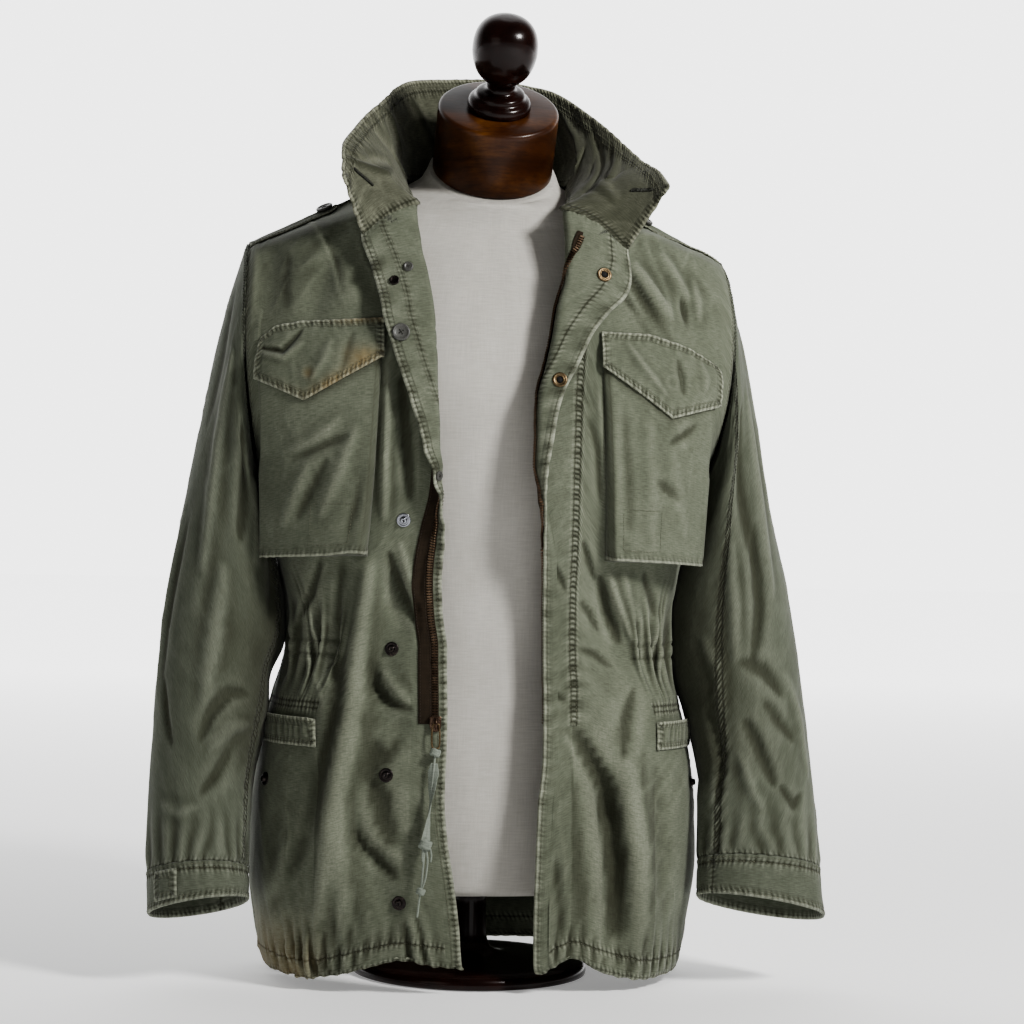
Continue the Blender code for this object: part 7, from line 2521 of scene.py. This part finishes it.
@dataclass
class Epaulette:
    """Shoulder strap lying along the shoulder seam with its button."""

    side: Side
    finish: Material
    flat: tuple = (0.088, 0.053)
    area: float = 0.0044

    def build(self, tree: BVHTree, threads: Threads) -> Piece:
        """Lay the strap on the shoulder.

        Args:
            tree: the finished body cloth, to find its top.
            threads: where its stitches go.

        Returns:
            the strap.
        """
        xs = np.linspace(0.2345, 0.150, 40)
        half = np.interp(xs[::-1], (0.150, 0.153, 0.157, 0.160, 0.174, 0.206, 0.2345),
                         (0.0100, 0.0155, 0.0188, 0.0205, 0.0228, 0.0248, 0.0260))[::-1]
        across = np.linspace(-1, 1, 30)
        x = np.repeat(xs[:, None], 30, axis=1) * self.side.value
        middle = seam_y(xs)[:, None] * (1 - np.abs(across)[None, :])
        y = middle + half[:, None] * across[None, :]
        z = np.zeros_like(x)
        for i in range(40):
            for j in range(30):
                hit = tree.ray_cast(Vector((x[i, j], y[i, j], 1.2)), Vector((0, 0, -1)))[0]
                z[i, j] = hit.z if hit else z[i, j - 1]
        for _ in range(6):
            z[1:-1] = np.maximum(z[1:-1], (z[:-2] + z[2:]) / 2)
            z[:, 1:-1] = np.maximum(z[:, 1:-1], (z[:, :-2] + z[:, 2:]) / 2)
        points = np.stack([x, y, z + PATCH + 0.0010], -1)
        up = np.broadcast_to(np.array([0.0, 0.0, 1.0]), points.shape)
        cloth = Cloth(Given(points, up), np.arange(40.0), np.arange(30.0), seed=601,
                      origin=(9.5, 0.0))
        cloth.hem(0.0003, 0.012)
        word = self.side.word
        obj = cloth.shell(f"epaulette_{word}_cloth", PATCH, self.finish, (f"epaulette_{word}",))
        line = np.linspace(1, 37.5, 40)
        for distance in (0.0030, 0.0070):
            threads.run(cloth, line, cloth.col_at(line, distance, 0))
            threads.run(cloth, line, cloth.col_at(line, -distance, 29))
        return obj


# ---- zip, snaps and buttons ------------------------------------------------------------
@dataclass
class ZipTapes:
    """Brown cotton tapes with their metal teeth."""

    tape: Material
    metal: Material
    thread: Material
    pitch: float = 0.0026
    wall: float = 0.0008

    def teeth(self, line: Array, normal: Array, name: str) -> None:
        """Row of teeth clamped on an edge.

        Args:
            line: points along the tape's edge.
            normal: the way out of the tape at each of them.
            name: name of the row.
        """
        run = run_of(line)
        at = np.arange(self.pitch, run[-1] - self.pitch, self.pitch)
        mid, up = placed(at, run, line), unit(placed(at, run, normal))
        along = unit(placed(at + 0.0005, run, line) - mid)
        side = np.cross(along, up)
        parts = []
        for k, (wide, tall, thick) in enumerate(table("mmm", (2.9, 1.5, 0.8), (1.4, 2, 1.1))):
            corners = []
            for a in (-1, 1):
                for b in (-1, 1):
                    for c in (-1, 1):
                        taper = 0.75 if c > 0 else 1.0
                        corners.append(mid + side * wide * a * taper * (1.0 - 0.3 * k)
                                       + along * thick * b * taper + up * tall * 0.5 * (c + 0.35))
            verts = np.stack(corners, 1).reshape(-1, 3)
            cell = np.array([(0, 1, 3, 2), (4, 6, 7, 5), (0, 4, 5, 1),
                             (2, 3, 7, 6), (0, 2, 6, 4), (1, 5, 7, 3)])
            faces = (cell[None] + 8 * np.arange(len(mid))[:, None, None]).reshape(-1, 4)
            parts.append((verts, faces))
        obj = mesh_object(name, *joined(parts), self.metal, smooth=False)

    def outer(self, front: Cloth) -> None:
        """Tape on the outer face of the wearer's right front.

        Args:
            front: the front that carries it, dressed.
        """
        rows = np.linspace(7, LAPEL_TOP - 1, 190)
        ds = np.linspace(0.0075, 0.0260, 12)
        place, normal = zip(*(front.at(rows, front.col_at(rows, d), LIFT + 0.0008) for d in ds))
        cloth = Cloth(Given(np.stack(place, 1), np.stack(normal, 1)), rows, ds, seed=701)
        obj = cloth.shell("zip_tape_right_cloth", self.wall, self.tape, ("zip_tape_right",))
        self.teeth(cloth.p[:, 2], cloth.n[:, 2], "zip_teeth_right")
        sewn = Threads("zip_stitches_right")
        for d in (0.0150, 0.0245):
            sewn.run(cloth, rows, np.full(len(rows), d), pitch=0.0028)
        sewn.build(self.thread)

    def inner(self, front: Cloth) -> None:
        """Tape on the inner face of the wearer's left front.

        Args:
            front: the front that carries it, dressed.
        """
        marks = [k[0] for k in INNER_TAPE]
        rows = np.linspace(7, INNER_TAPE[-1][0], 190)
        cols = [np.interp(rows, marks, [k[j] for k in INNER_TAPE]) for j in (1, 2, 3)]
        past, lift = (np.interp(rows, marks, [k[j] for k in INNER_TAPE]) for j in (4, 5))
        knots = [front.at(rows, c, -(CLOTH + lift + 0.0002)) for c in cols]
        edge = front.at(rows, np.zeros(len(rows)))[0]
        step = unit(edge - front.at(rows, np.full(len(rows), 0.6))[0])
        line = [knots[0][0] + step * past[:, None], knots[1][0], knots[2][0]]
        place, normal = [], []
        for share in np.linspace(0, 2, 11):
            k = min(int(share), 1)
            t = share - k
            place.append(line[k] * (1 - t) + line[k + 1] * t)
            normal.append(-(knots[k][1] * (1 - t) + knots[k + 1][1] * t))
        normal = np.stack(normal, 1)
        place = np.stack(place, 1) + normal * 0.0006
        cloth = Cloth(Given(place, normal), rows, np.linspace(0, 2, 11), seed=711)
        obj = cloth.shell("zip_tape_left_cloth", self.wall, self.tape, ("zip_tape_left",))
        self.teeth(cloth.p[:, 0], cloth.n[:, 0], "zip_teeth_left")


@dataclass
class ZipPull:
    """Slider on the tape, its wire loop and the knotted ribbon."""

    body: Material
    metal: Material
    ribbon: Material

    def build(self) -> None:
        """Make the slider, the loop and the ribbon."""
        low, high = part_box("zip_slider")
        x, y, z = (low.x + high.x) / 2, high.y + 0.0002, (low.z + high.z) / 2
        self.slider(x, y, z)
        self.loop(x, y, z)
        self.cord(x, y, z)

    def slider(self, x: float, y: float, z: float) -> None:
        """Shield-shaped body with a bridge for the loop.

        Args:
            x: x of its middle.
            y: y where it lies on the tape.
            z: z of its middle.
        """
        outline = table(
            "mm", (-4.2, 6), (-2, 6.6), (0, 6), (2, 6.6), (4.2, 6), (4.2, -2), (3, -5.6),
                  (1.2, -6.4), (-1.2, -6.4), (-3, -5.6), (-4.2, -2))
        parts = []
        for y0, y1, size in ((-0.0002, -0.0014, 1.0), (-0.0026, -0.0038, 1.0)):
            rings = []
            for depth, grow in ((y0, 0.90), (y0 * 0.8 + y1 * 0.2, size),
                                (y0 * 0.2 + y1 * 0.8, size), (y1, 0.90)):
                rings.append([(x + a * grow * 1.3, y + depth, z + b * grow * 1.15)
                              for a, b in outline])
            rings = [[(x, y + y0, z)] * 11, *rings, [(x, y + y1, z)] * 11]
            parts.append((np.array(rings).reshape(-1, 3), grid_faces(6, 11).reshape(-1, 4)))
        arch = resample([(x, y - 0.0030, z + 0.0046), (x, y - 0.0066, z + 0.0036),
                         (x, y - 0.0080, z), (x, y - 0.0066, z - 0.0036),
                         (x, y - 0.0030, z - 0.0046)], 18)
        parts.append(tube(arch, np.full(18, 0.0009), 10))
        post = [(x, y - 0.0010, z + 0.0050), (x, y - 0.0030, z + 0.0050)]
        parts.append(tube(resample(post, 4), np.full(4, 0.0018), 10))
        obj = mesh_object("zip_slider_body", *joined(parts), self.body)
        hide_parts("zip_slider")

    def loop(self, x: float, y: float, z: float) -> None:
        """Bent wire that hangs from the bridge.

        Args:
            x: x of its middle.
            y: y where it lies on the tape.
            z: z of its middle.
        """
        py = y - 0.0061
        wire = [(x - 0.0026, py, z), (x + 0.0026, py, z), (x + 0.0036, py - 0.0008, z - 0.006),
                (x + 0.0038, py - 0.0017, z - 0.0125), (x + 0.0036, py - 0.0024, z - 0.019),
                (x + 0.0020, py - 0.0028, z - 0.0225), (x - 0.0020, py - 0.0028, z - 0.0225),
                (x - 0.0036, py - 0.0024, z - 0.019), (x - 0.0038, py - 0.0017, z - 0.0125),
                (x - 0.0036, py - 0.0008, z - 0.006)]
        closed = resample([*wire, wire[0]], 61)[:-1]
        verts, faces = tube(closed, np.full(60, 0.00085), 10, closed=True)
        obj = mesh_object("zip_pull_loop", verts, faces, self.metal, PULL)
        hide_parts("zip_pull")

    def cord(self, x: float, y: float, z: float) -> None:
        """Ribbon tied to the loop, with two knots and a bow of two thin strands.

        Args:
            x: x of its middle.
            y: y where it lies on the tape.
            z: z of its middle.
        """
        route = table(
            "mmm", (0, -9.8, -24.1), (-0.4, -10.4, -27.5), (-1.2, -11.6, -35), (-3, -15, -56),
            (-6, -18.5, -86), (-8.5, -20, -106), (-9.6, -20.2, -120), (-11, -20, -140),
            (-12, -19.7, -154), (-13.2, -19.5, -162), (-15, -19, -180))
        foot = np.array([x, y, z])
        line = resample(np.array(route) + foot, 130)
        share = np.linspace(0, 1, 130)
        radii = np.interp(share, (0, 0.02, 0.10, 0.45, 0.52, 0.60, 0.85, 1.0),
                          (0.0011, 0.0011, 0.0011, 0.0011, 0.0011, 0.0010, 0.0010, 0.0010))
        verts, faces = tube(line, radii, 12)
        rope = self.ribbon_object("pull_ribbon", verts, faces)
        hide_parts("pull_cord")
        part = line[10:78]
        fall = np.linspace(0, 1, len(part))
        wide = 0.00165 * np.interp(fall, (0, 0.08, 0.30, 0.46, 0.62, 0.9, 1.0),
                                   (0.5, 0.95, 1.05, 0.70, 1.0, 0.9, 0.5))
        wide = wide * (1 + 0.10 * noise(fall * 16, 0.0, 3))
        pieces = [self.ribbon_object("pull_strap", *tube(part, wide, 16, flat=13.0, twist=2.6))]
        for k, (drop, size, tall) in enumerate(((-0.0262, 0.0044, 1.1), (-0.1125, 0.0054, 1.2),
                                                (-0.1555, 0.0038, 1.1))):
            middle = line[np.argmin(np.abs(line[:, 2] - (z + drop)))]
            pieces.append(self.knot(f"pull_knot_{k + 1}", middle, size, tall))
        twin = resample(np.array(table(
            "mmm", (-8, -20.3, -116), (-6.6, -21, -127), (-8, -20.6, -142),
                   (-11.2, -19.9, -153.5))) + foot, 60)
        pieces.append(self.ribbon_object("pull_strand", *tube(twin, np.full(60, 0.0010), 10)))
        for k, side in enumerate((1.0, -0.6)):
            tail = resample(np.array(((-0.0084, -0.0206, -0.1110),
                                      (-0.0084 + 0.0042 * side, -0.0214, -0.1160),
                                      (-0.0084 + 0.0052 * side, -0.0212, -0.1225),
                                      (-0.0084 + 0.0046 * side, -0.0208, -0.1280))) + foot, 24)
            verts, faces = tube(tail, np.full(24, 0.0010), 8)
            pieces.append(self.ribbon_object(f"pull_end_{k + 1}", verts, faces))

    def ribbon_object(self, name: str, verts: Array, faces: Array) -> Piece:
        """Piece of the ribbon that swings with the loop.

        Args:
            name: the piece's name.
            verts: its vertices.
            faces: its faces.

        Returns:
            the piece.
        """
        obj = mesh_object(name, verts, faces, self.ribbon, PULL)
        uv = np.stack([verts[:, 0] * 2 + verts[:, 1], verts[:, 2]], -1)
        Cloth.unwrap(obj, uv)
        return obj

    def knot(self, name: str, middle: Array, size: float, tall: float) -> Piece:
        """Tight knot: a wound band of three turns round the ribbon.

        Args:
            name: the knot's name.
            middle: its middle.
            size: its radius, roughly.
            tall: its height, in radii.

        Returns:
            the knot.
        """
        t = np.linspace(0, 1, 90)
        a = t * 2 * math.pi * 3
        wind = np.stack([np.cos(a) * size * 0.72, np.sin(a) * size * 0.62,
                         (t - 0.5) * size * tall + 0.0005 * np.sin(a * 2)], -1)
        lean = Matrix.Rotation(0.35, 3, "Y")
        wind = np.array([lean @ Vector(p) for p in wind]) + middle
        return self.ribbon_object(name, *tube(wind, np.full(90, size * 0.42), 10))


class Fitting(Enum):
    """Profiles of the turned fittings: radius and height."""

    STUD = table(
        "mm", (6.6, 0), (6.8, 0.6), (6.4, 1.2), (5.2, 1.3), (4.6, 1), (3.6, 1), (3.4, 1.4),
              (3, 3.6), (2.7, 4.1), (1.8, 4.3), (1.2, 4.1), (0.9, 3.6))
    SOCKET = table(
        "mm", (7, 0), (7.3, 0.7), (7, 1.4), (6.2, 1.8), (5.4, 1.8), (4.8, 1.4), (4.4, 1.3),
              (4.1, 1.6), (3.7, 1.6), (3.4, 1), (3.3, 0.4))
    BUTTON = table(
        "mm", (7.8, 0), (8.5, 0.8), (8.7, 1.6), (8.4, 2.5), (7.8, 3), (7.1, 3.1), (6.4, 2.7),
              (5.8, 2.2), (5, 2))
    SMALL_BUTTON = table(
        "mm", (4.3, 0), (4.8, 0.7), (4.8, 1.3), (4.4, 2), (3.6, 2.2), (3, 1.8), (2, 1.7))


@dataclass
class Fittings:
    """Snaps, sockets and buttons at their places on the cloth."""

    palette: Palette
    cloth: BVHTree
    shade_discs: list = field(default_factory=list)

    def add(self, node: str, kind: Fitting, finish: Material, slot: str,
            four_holes: bool = False) -> None:
        """One fitting where its CAD node stands.

        Args:
            node: the CAD node that it replaces.
            kind: its profile.
            finish: its material.
            slot: not used.
            four_holes: whether it is a sewn button.
        """
        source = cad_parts[node]
        verts = np.array([source.matrix_world @ v.co for v in source.data.vertices])
        middle = verts.mean(axis=0)
        values, axes = np.linalg.eigh(np.cov((verts - middle).T))
        flat = 0 if values[1] - values[0] > values[2] - values[1] else 2
        axis = axes[:, flat]
        axis = axis if axis[1] < 0 or (abs(axis[1]) < 0.3 and axis[2] > 0) else -axis
        along = (verts - middle) @ axis
        foot = middle + axis * along.min()
        away = verts - foot
        off = away - np.outer(away @ axis, axis)
        centre = off[np.linalg.norm(off, axis=1) > 0.001].mean(axis=0)
        foot = foot + centre
        place, face, _, away = self.cloth.find_nearest(Vector(foot))
        if away < 0.006:
            face = np.array(face) if np.dot(face, axis) > 0 else -np.array(face)
            foot, axis = np.array(place), unit(axis * 0.4 + face * 0.6)
        obj = mesh_object(f"{node}_fitting", *turned(kind.value, foot, axis, 40), finish)
        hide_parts(node)
        # a near-black disc in the hollow of each snap and socket stands for its shade: painted
        # shade
        deep = 0.0004 if kind is Fitting.SOCKET else 0.0036
        size = 0.0032 if kind is Fitting.SOCKET else 0.0009
        if kind in (Fitting.SOCKET, Fitting.STUD):
            disc = ((size, 0.0), (size, 0.00012))
            self.shade_discs.append(turned(disc, foot + axis * deep, axis, 24))
        if four_holes:
            self.sew(foot, axis, 0.0020 if kind is Fitting.BUTTON else 0.0017, node)

    def sew(self, foot: Array, axis: Array, height: float, node: str) -> None:
        """Four near-black discs as painted shade in a button's sewing openings, and the crossing
        thread.

        Args:
            foot: where the button stands.
            axis: the way out of it.
            height: height of its sunken middle.
            node: its CAD node.
        """
        side = unit(np.cross(axis, [0.2, 0.1, 0.97]))
        other = np.cross(axis, side)
        reach = 0.0016 if height > 0.0018 else 0.0009
        spots = [foot + axis * height + (side * a + other * b) * reach
                 for a, b in ((1, 1), (-1, -1), (1, -1), (-1, 1))]
        for spot in spots:
            disc = ((reach * 0.42, 0.0), (reach * 0.42, 0.00015))
            self.shade_discs.append(turned(disc, spot, axis, 14))
        parts = []
        for a, b in ((spots[0], spots[1]), (spots[2], spots[3])):
            top = (a + b) / 2 + axis * 0.0007
            parts.append(tube(resample([a, top, b], 9), np.full(9, reach * 0.20), 6))
        mesh_object(f"{node}_thread", *joined(parts), self.palette.dark_thread)

    def build(self) -> None:
        """Place every fitting."""
        for k in range(1, 5):
            finish = self.palette.bright if k == 1 else self.palette.snap
            self.add(f"front_stud_{k}", Fitting.STUD, finish, "dark_snap")
        for word in ("left", "right"):
            self.add(f"pocket_stud_{word}", Fitting.STUD, self.palette.snap, "dark_snap")
            self.add(f"epaulette_button_{word}", Fitting.BUTTON, self.palette.horn,
                     "button_plastic", True)
        for word in ("upper", "lower"):
            self.add(f"flap_socket_{word}", Fitting.SOCKET, self.palette.brass, "aged_brass")
        for node, kind in (("liner_button_upper", Fitting.BUTTON),
                           ("liner_button_lower", Fitting.SMALL_BUTTON),
                           ("neck_button", Fitting.SMALL_BUTTON)):
            self.add(node, kind, self.palette.horn, "button_plastic", True)
        self.add("neck_eyelet", Fitting.SMALL_BUTTON, self.palette.snap, "dark_snap")
        # the near-black discs of painted shade, joined into one piece
        mesh_object("fitting_hollow_shade", *joined(self.shade_discs), self.palette.hollow_shade)


# ---- the dress form ------------------------------------------------------------------
@dataclass
class DressForm:
    """Limbless linen form with a wooden neck block, finial and foot."""

    palette: Palette
    tilt: float = math.radians(35.8)
    foot: tuple = (HEAD_X, 0.005, 0.8004)
    block_height: float = 0.070

    def torso(self) -> None:
        """Linen torso with pressed seams."""
        heights = [Curve(tuple((i, *row) for i, row in enumerate(TORSO)), k) for k in range(1, 8)]
        t = np.linspace(0, len(TORSO) - 1, 130)
        z, y0, tilt, half, front, back, power = (h(t)[:, None] for h in heights)
        turn = np.linspace(0, 2 * math.pi, 129)[None, :-1]
        c, s = np.cos(turn), np.sin(turn)
        x = half * np.sign(c) * np.abs(c) ** (2 / power)
        y = np.where(s > 0, back, front) * np.sign(s) * np.abs(s) ** (2 / power)
        lean = HEAD_X * ease(z, 0.77, 0.80)
        a = np.radians(tilt)
        seams = np.minimum(np.abs(x), np.abs(np.abs(x) - 0.47 * half))
        groove = 1 - 0.010 * bell(seams, 0.0016) + 0.003 * bell(seams - 0.0038, 0.0016)
        x, y = x * groove, y * groove
        p = np.stack([lean + x, y0 + y * np.cos(a), z + y * np.sin(a)], -1)
        rows, around = p.shape[:2]
        faces = grid_faces(rows, around).reshape(-1, 4)
        verts = [p.reshape(-1, 3)]
        count = rows * around
        for row, flip in ((0, False), (rows - 1, True)):
            middle = np.tile(p[row].mean(axis=0), (around, 1)) * 0.999 + p[row] * 0.001
            verts.append(middle)
            lip = row * around + np.arange(around)
            inner = count + np.arange(around)
            count += around
            cap = np.stack([lip, inner, np.roll(inner, -1), np.roll(lip, -1)], -1)
            faces = np.concatenate([faces, cap[:, ::-1] if flip else cap])
        verts = np.concatenate(verts)
        obj = mesh_object("form_torso_linen", verts, faces, self.palette.linen)
        angle = np.arctan2(verts[:, 1], verts[:, 0])
        Cloth.unwrap(obj, np.stack([angle * 0.15, verts[:, 2]], -1))
        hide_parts("form_torso")

    def build(self) -> None:
        """Make the torso, the stand, the block and the finial."""
        self.torso()
        stand = self.smooth(table(
            "mm", (90, 0), (115, 0), (116.8, 2), (117, 4), (116.2, 8.5), (112, 12.5), (105, 14.2),
                  (50, 17), (32, 19.5), (24, 22.5), (19, 29), (17, 36), (16, 70), (18, 80),
                  (20, 87.2)), 60)
        obj = mesh_object("form_stand_wood", *turned(stand, (0, 0, 0), (0, 0, 1), 96),
                          self.palette.dark_wood)
        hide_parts("form_stand")
        axis = np.array([0.0, -math.sin(self.tilt), math.cos(self.tilt)])
        foot = np.array(self.foot)
        block = table(
            "mm", (57, 0), (58.8, 0.4), (59.8, 1.4), (60, 3), (60, 64), (59.9, 66.2),
                  (59.2, 68.2), (57.8, 69.5), (56, 70), (35, 70.3), (20, 70.3))
        obj = self.tilted("neck_block_wood", block, foot, axis, self.palette.wood)
        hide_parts("neck_block")
        top = foot + axis * (self.block_height + 0.0003)
        finial = self.smooth(table(
            "mm", (29, 0), (31.2, 1.2), (31.5, 4.5), (30.6, 8.2), (28.5, 10.8), (25.6, 12.2),
                  (24.6, 13.8), (24, 16.5), (20.5, 18.5), (15.8, 19.8), (14, 22.5), (14.1, 26.2),
                  (16.6, 30), (20.5, 33.5), (25, 38.6), (28.3, 45), (30.8, 53), (32, 62),
                  (31.7, 70), (30, 78.5), (26.4, 86), (21.2, 91.5), (15, 94.8), (8, 96.3),
                  (1, 96.6)), 70)
        obj = self.tilted("finial_wood", finial, top, axis, self.palette.dark_wood)
        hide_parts("finial")

    @staticmethod
    def smooth(profile: tuple, count: int) -> tuple:
        """Finer profile through the same points."""
        return tuple(map(tuple, resample(np.array(profile), count)))

    @staticmethod
    def tilted(name: str, profile: tuple, foot: Array, axis: Array,
               finish: Material) -> Piece:
        """Turned piece whose own z runs along its axis, so that grain follows it.

        Args:
            name: the piece's name.
            profile: radius and height pairs from the foot up.
            foot: where it stands.
            axis: its direction.
            finish: its material.

        Returns:
            the piece.
        """
        verts, faces = turned(profile, np.zeros(3), np.array([0.0, 0.0, 1.0]), 104)
        obj = mesh_object(name, verts, faces, finish)
        lean = Vector((0, 0, 1)).rotation_difference(Vector(axis)).to_matrix()
        world = Matrix.Translation(Vector(foot)) @ lean.to_4x4()
        obj.data.transform(world)
        return obj


# ---- studio ----------------------------------------------------------------------------
@dataclass
class Studio:
    """Camera, lights and floor."""

    azimuth: float = math.radians(8.0)
    distance: float = 2.6
    height: float = 0.459
    shift: float = 0.033
    roll: float = math.radians(1.3)
    lens: float = 91.41
    paper: float = 2.4
    room: float = 0.09

    def camera(self) -> None:
        """Long lens a little to the wearer's right of the middle."""
        c, s = math.cos(self.azimuth), math.sin(self.azimuth)
        target = Vector((c * self.shift, -s * self.shift, self.height))
        data = bpy.data.cameras.new("camera")
        data.sensor_width = 36.0
        data.lens = self.lens
        obj = bpy.data.objects.new("camera", data)
        bpy.context.scene.collection.objects.link(obj)
        obj.location = target + Vector((-s, -c, 0)) * self.distance
        look = (target - obj.location).to_track_quat("-Z", "Y").to_matrix().to_4x4()
        obj.matrix_world = (Matrix.Translation(obj.location) @ look
                            @ Matrix.Rotation(self.roll, 4, "Z"))
        bpy.context.scene.camera = obj

    def light(self, name: str, place: tuple, aim: tuple, size: float, power: float,
              colour: tuple) -> Piece:
        """Soft square lamp aimed at a point.

        Args:
            name: the lamp's name.
            place: where it is.
            aim: the point that it is aimed at.
            size: length of its side.
            power: its power in watts.
            colour: its red, green and blue.

        Returns:
            the lamp.
        """
        data = bpy.data.lights.new(name, "AREA")
        data.shape = "SQUARE"
        data.size = size
        data.energy = power
        data.color = colour
        obj = bpy.data.objects.new(name, data)
        bpy.context.scene.collection.objects.link(obj)
        obj.location = place
        obj.rotation_euler = (Vector(aim) - Vector(place)).to_track_quat("-Z", "Y").to_euler()
        return obj

    def floor_finish(self) -> Material:
        """Pale paper that glows more and more towards the backdrop: painted light.

        Returns:
            the material.
        """
        g = Graph("floor_paper")
        g.surface((0.86, 0.86, 0.86), 0.95, 0.0, 0.0)
        back = g.split(g.place())[1]
        g.shader.inputs["Emission Color"].default_value = (1.0, 1.0, 1.0, 1.0)
        # the glow is painted light, stronger towards the backdrop
        g.feed(g.shader.inputs["Emission Strength"], g.remap(back, -0.3, 4.5, (0.16, 1.85)))
        return g.material

    def sky(self) -> None:
        """Bright paper behind the piece and a dim room before it."""
        world = bpy.data.worlds.new("studio")
        world.use_nodes = True
        tree = world.node_tree
        where = tree.nodes.new("ShaderNodeTexCoord")
        split = tree.nodes.new("ShaderNodeSeparateXYZ")
        tree.links.new(where.outputs["Generated"], split.inputs[0])
        ramp = tree.nodes.new("ShaderNodeMapRange")
        for key, value in (("From Min", 0.25), ("From Max", 0.75), ("To Min", self.room),
                           ("To Max", self.paper)):
            ramp.inputs[key].default_value = value
        tree.links.new(split.outputs["Y"], ramp.inputs["Value"])
        back = tree.nodes["Background"]
        back.inputs["Color"].default_value = (1.0, 1.0, 1.0, 1.0)
        tree.links.new(ramp.outputs[0], back.inputs["Strength"])
        bpy.context.scene.world = world
        bpy.context.scene.view_settings.look = "AgX - Medium High Contrast"

    def build(self) -> None:
        """Set the whole studio."""
        self.camera()
        self.sky()
        lights = [
            self.light("key", (1.5, -1.7, 1.9), (0.0, 0.0, 0.45), 0.5, 80.0, (1.0, 0.99, 0.97)),
            self.light("fill", (-1.6, -1.8, 0.9), (0.0, 0.0, 0.40), 1.2, 3.0, (1.0, 0.97, 0.90)),
        ]
        size = 14.0
        verts = [(-size, -size, -0.0005), (size, -size, -0.0005), (size, size, -0.0005),
                 (-size, size, -0.0005)]
        mesh = bpy.data.meshes.new("floor")
        mesh.from_pydata(verts, [], [(0, 1, 2, 3)])
        mesh.materials.append(self.floor_finish())
        floor = bpy.data.objects.new("floor", mesh)
        bpy.context.scene.collection.objects.link(floor)


def main() -> None:
    """Build the studio, the form and the jacket in order."""
    logging.basicConfig(level=logging.INFO, format="%(message)s")
    palette = Palette()
    Studio().build()
    LOG.info("studio ready")
    stitches = Threads("olive_stitches")
    # dark stitches, and the collar's slits as dark strokes of painted shade
    dark = Threads("dark_stitches")
    ZipPull(palette.slider, palette.brass, palette.cord).build()
    LOG.info("slider, loop and ribbon ready")
    DressForm(palette).build()
    LOG.info("form ready")
    fronts, carriers = {}, []
    for side in Side:
        maker = JacketFront(side, palette.cloth)
        fronts[side] = maker.dress()
        carriers.append(maker.build(fronts[side], stitches))
    maker = JacketBack(palette.cloth)
    back = maker.dress()
    maker.build(back, stitches)
    for side in Side:
        sleeve = JacketSleeve(side, palette.sleeve)
        sleeve.build(sleeve.dress(), dark)
        cuff = JacketCuff(side, palette.sleeve)
        cuff.build(cuff.dress(), stitches)
        pocket = ChestPocket(side, palette.cloth)
        pocket.pocket(fronts[side], stitches)
        pocket.flap(fronts[side], stitches)
        LowerPocket(side, palette.cloth).build(fronts[side], stitches)
    surfaces = [FrontSurface(side) for side in (Side.RIGHT, Side.LEFT)]
    collar = JacketCollar(CollarSurface(surfaces[0], surfaces[1], BackSurface()), palette.facing)
    collar.build(collar.dress(), stitches, dark)
    tree = search_tree([fronts[Side.RIGHT].grid(), fronts[Side.LEFT].grid(), back.grid()])
    for side in Side:
        carriers.append(Epaulette(side, palette.cloth).build(tree, stitches))
    tapes = ZipTapes(palette.tape, palette.copper, palette.brown_thread)
    tapes.outer(fronts[Side.RIGHT])
    tapes.inner(fronts[Side.LEFT])
    Fittings(palette, face_tree(carriers)).build()
    stitches.build(palette.thread)
    dark.build(palette.dark_thread)


if __name__ == "__main__":
    main()
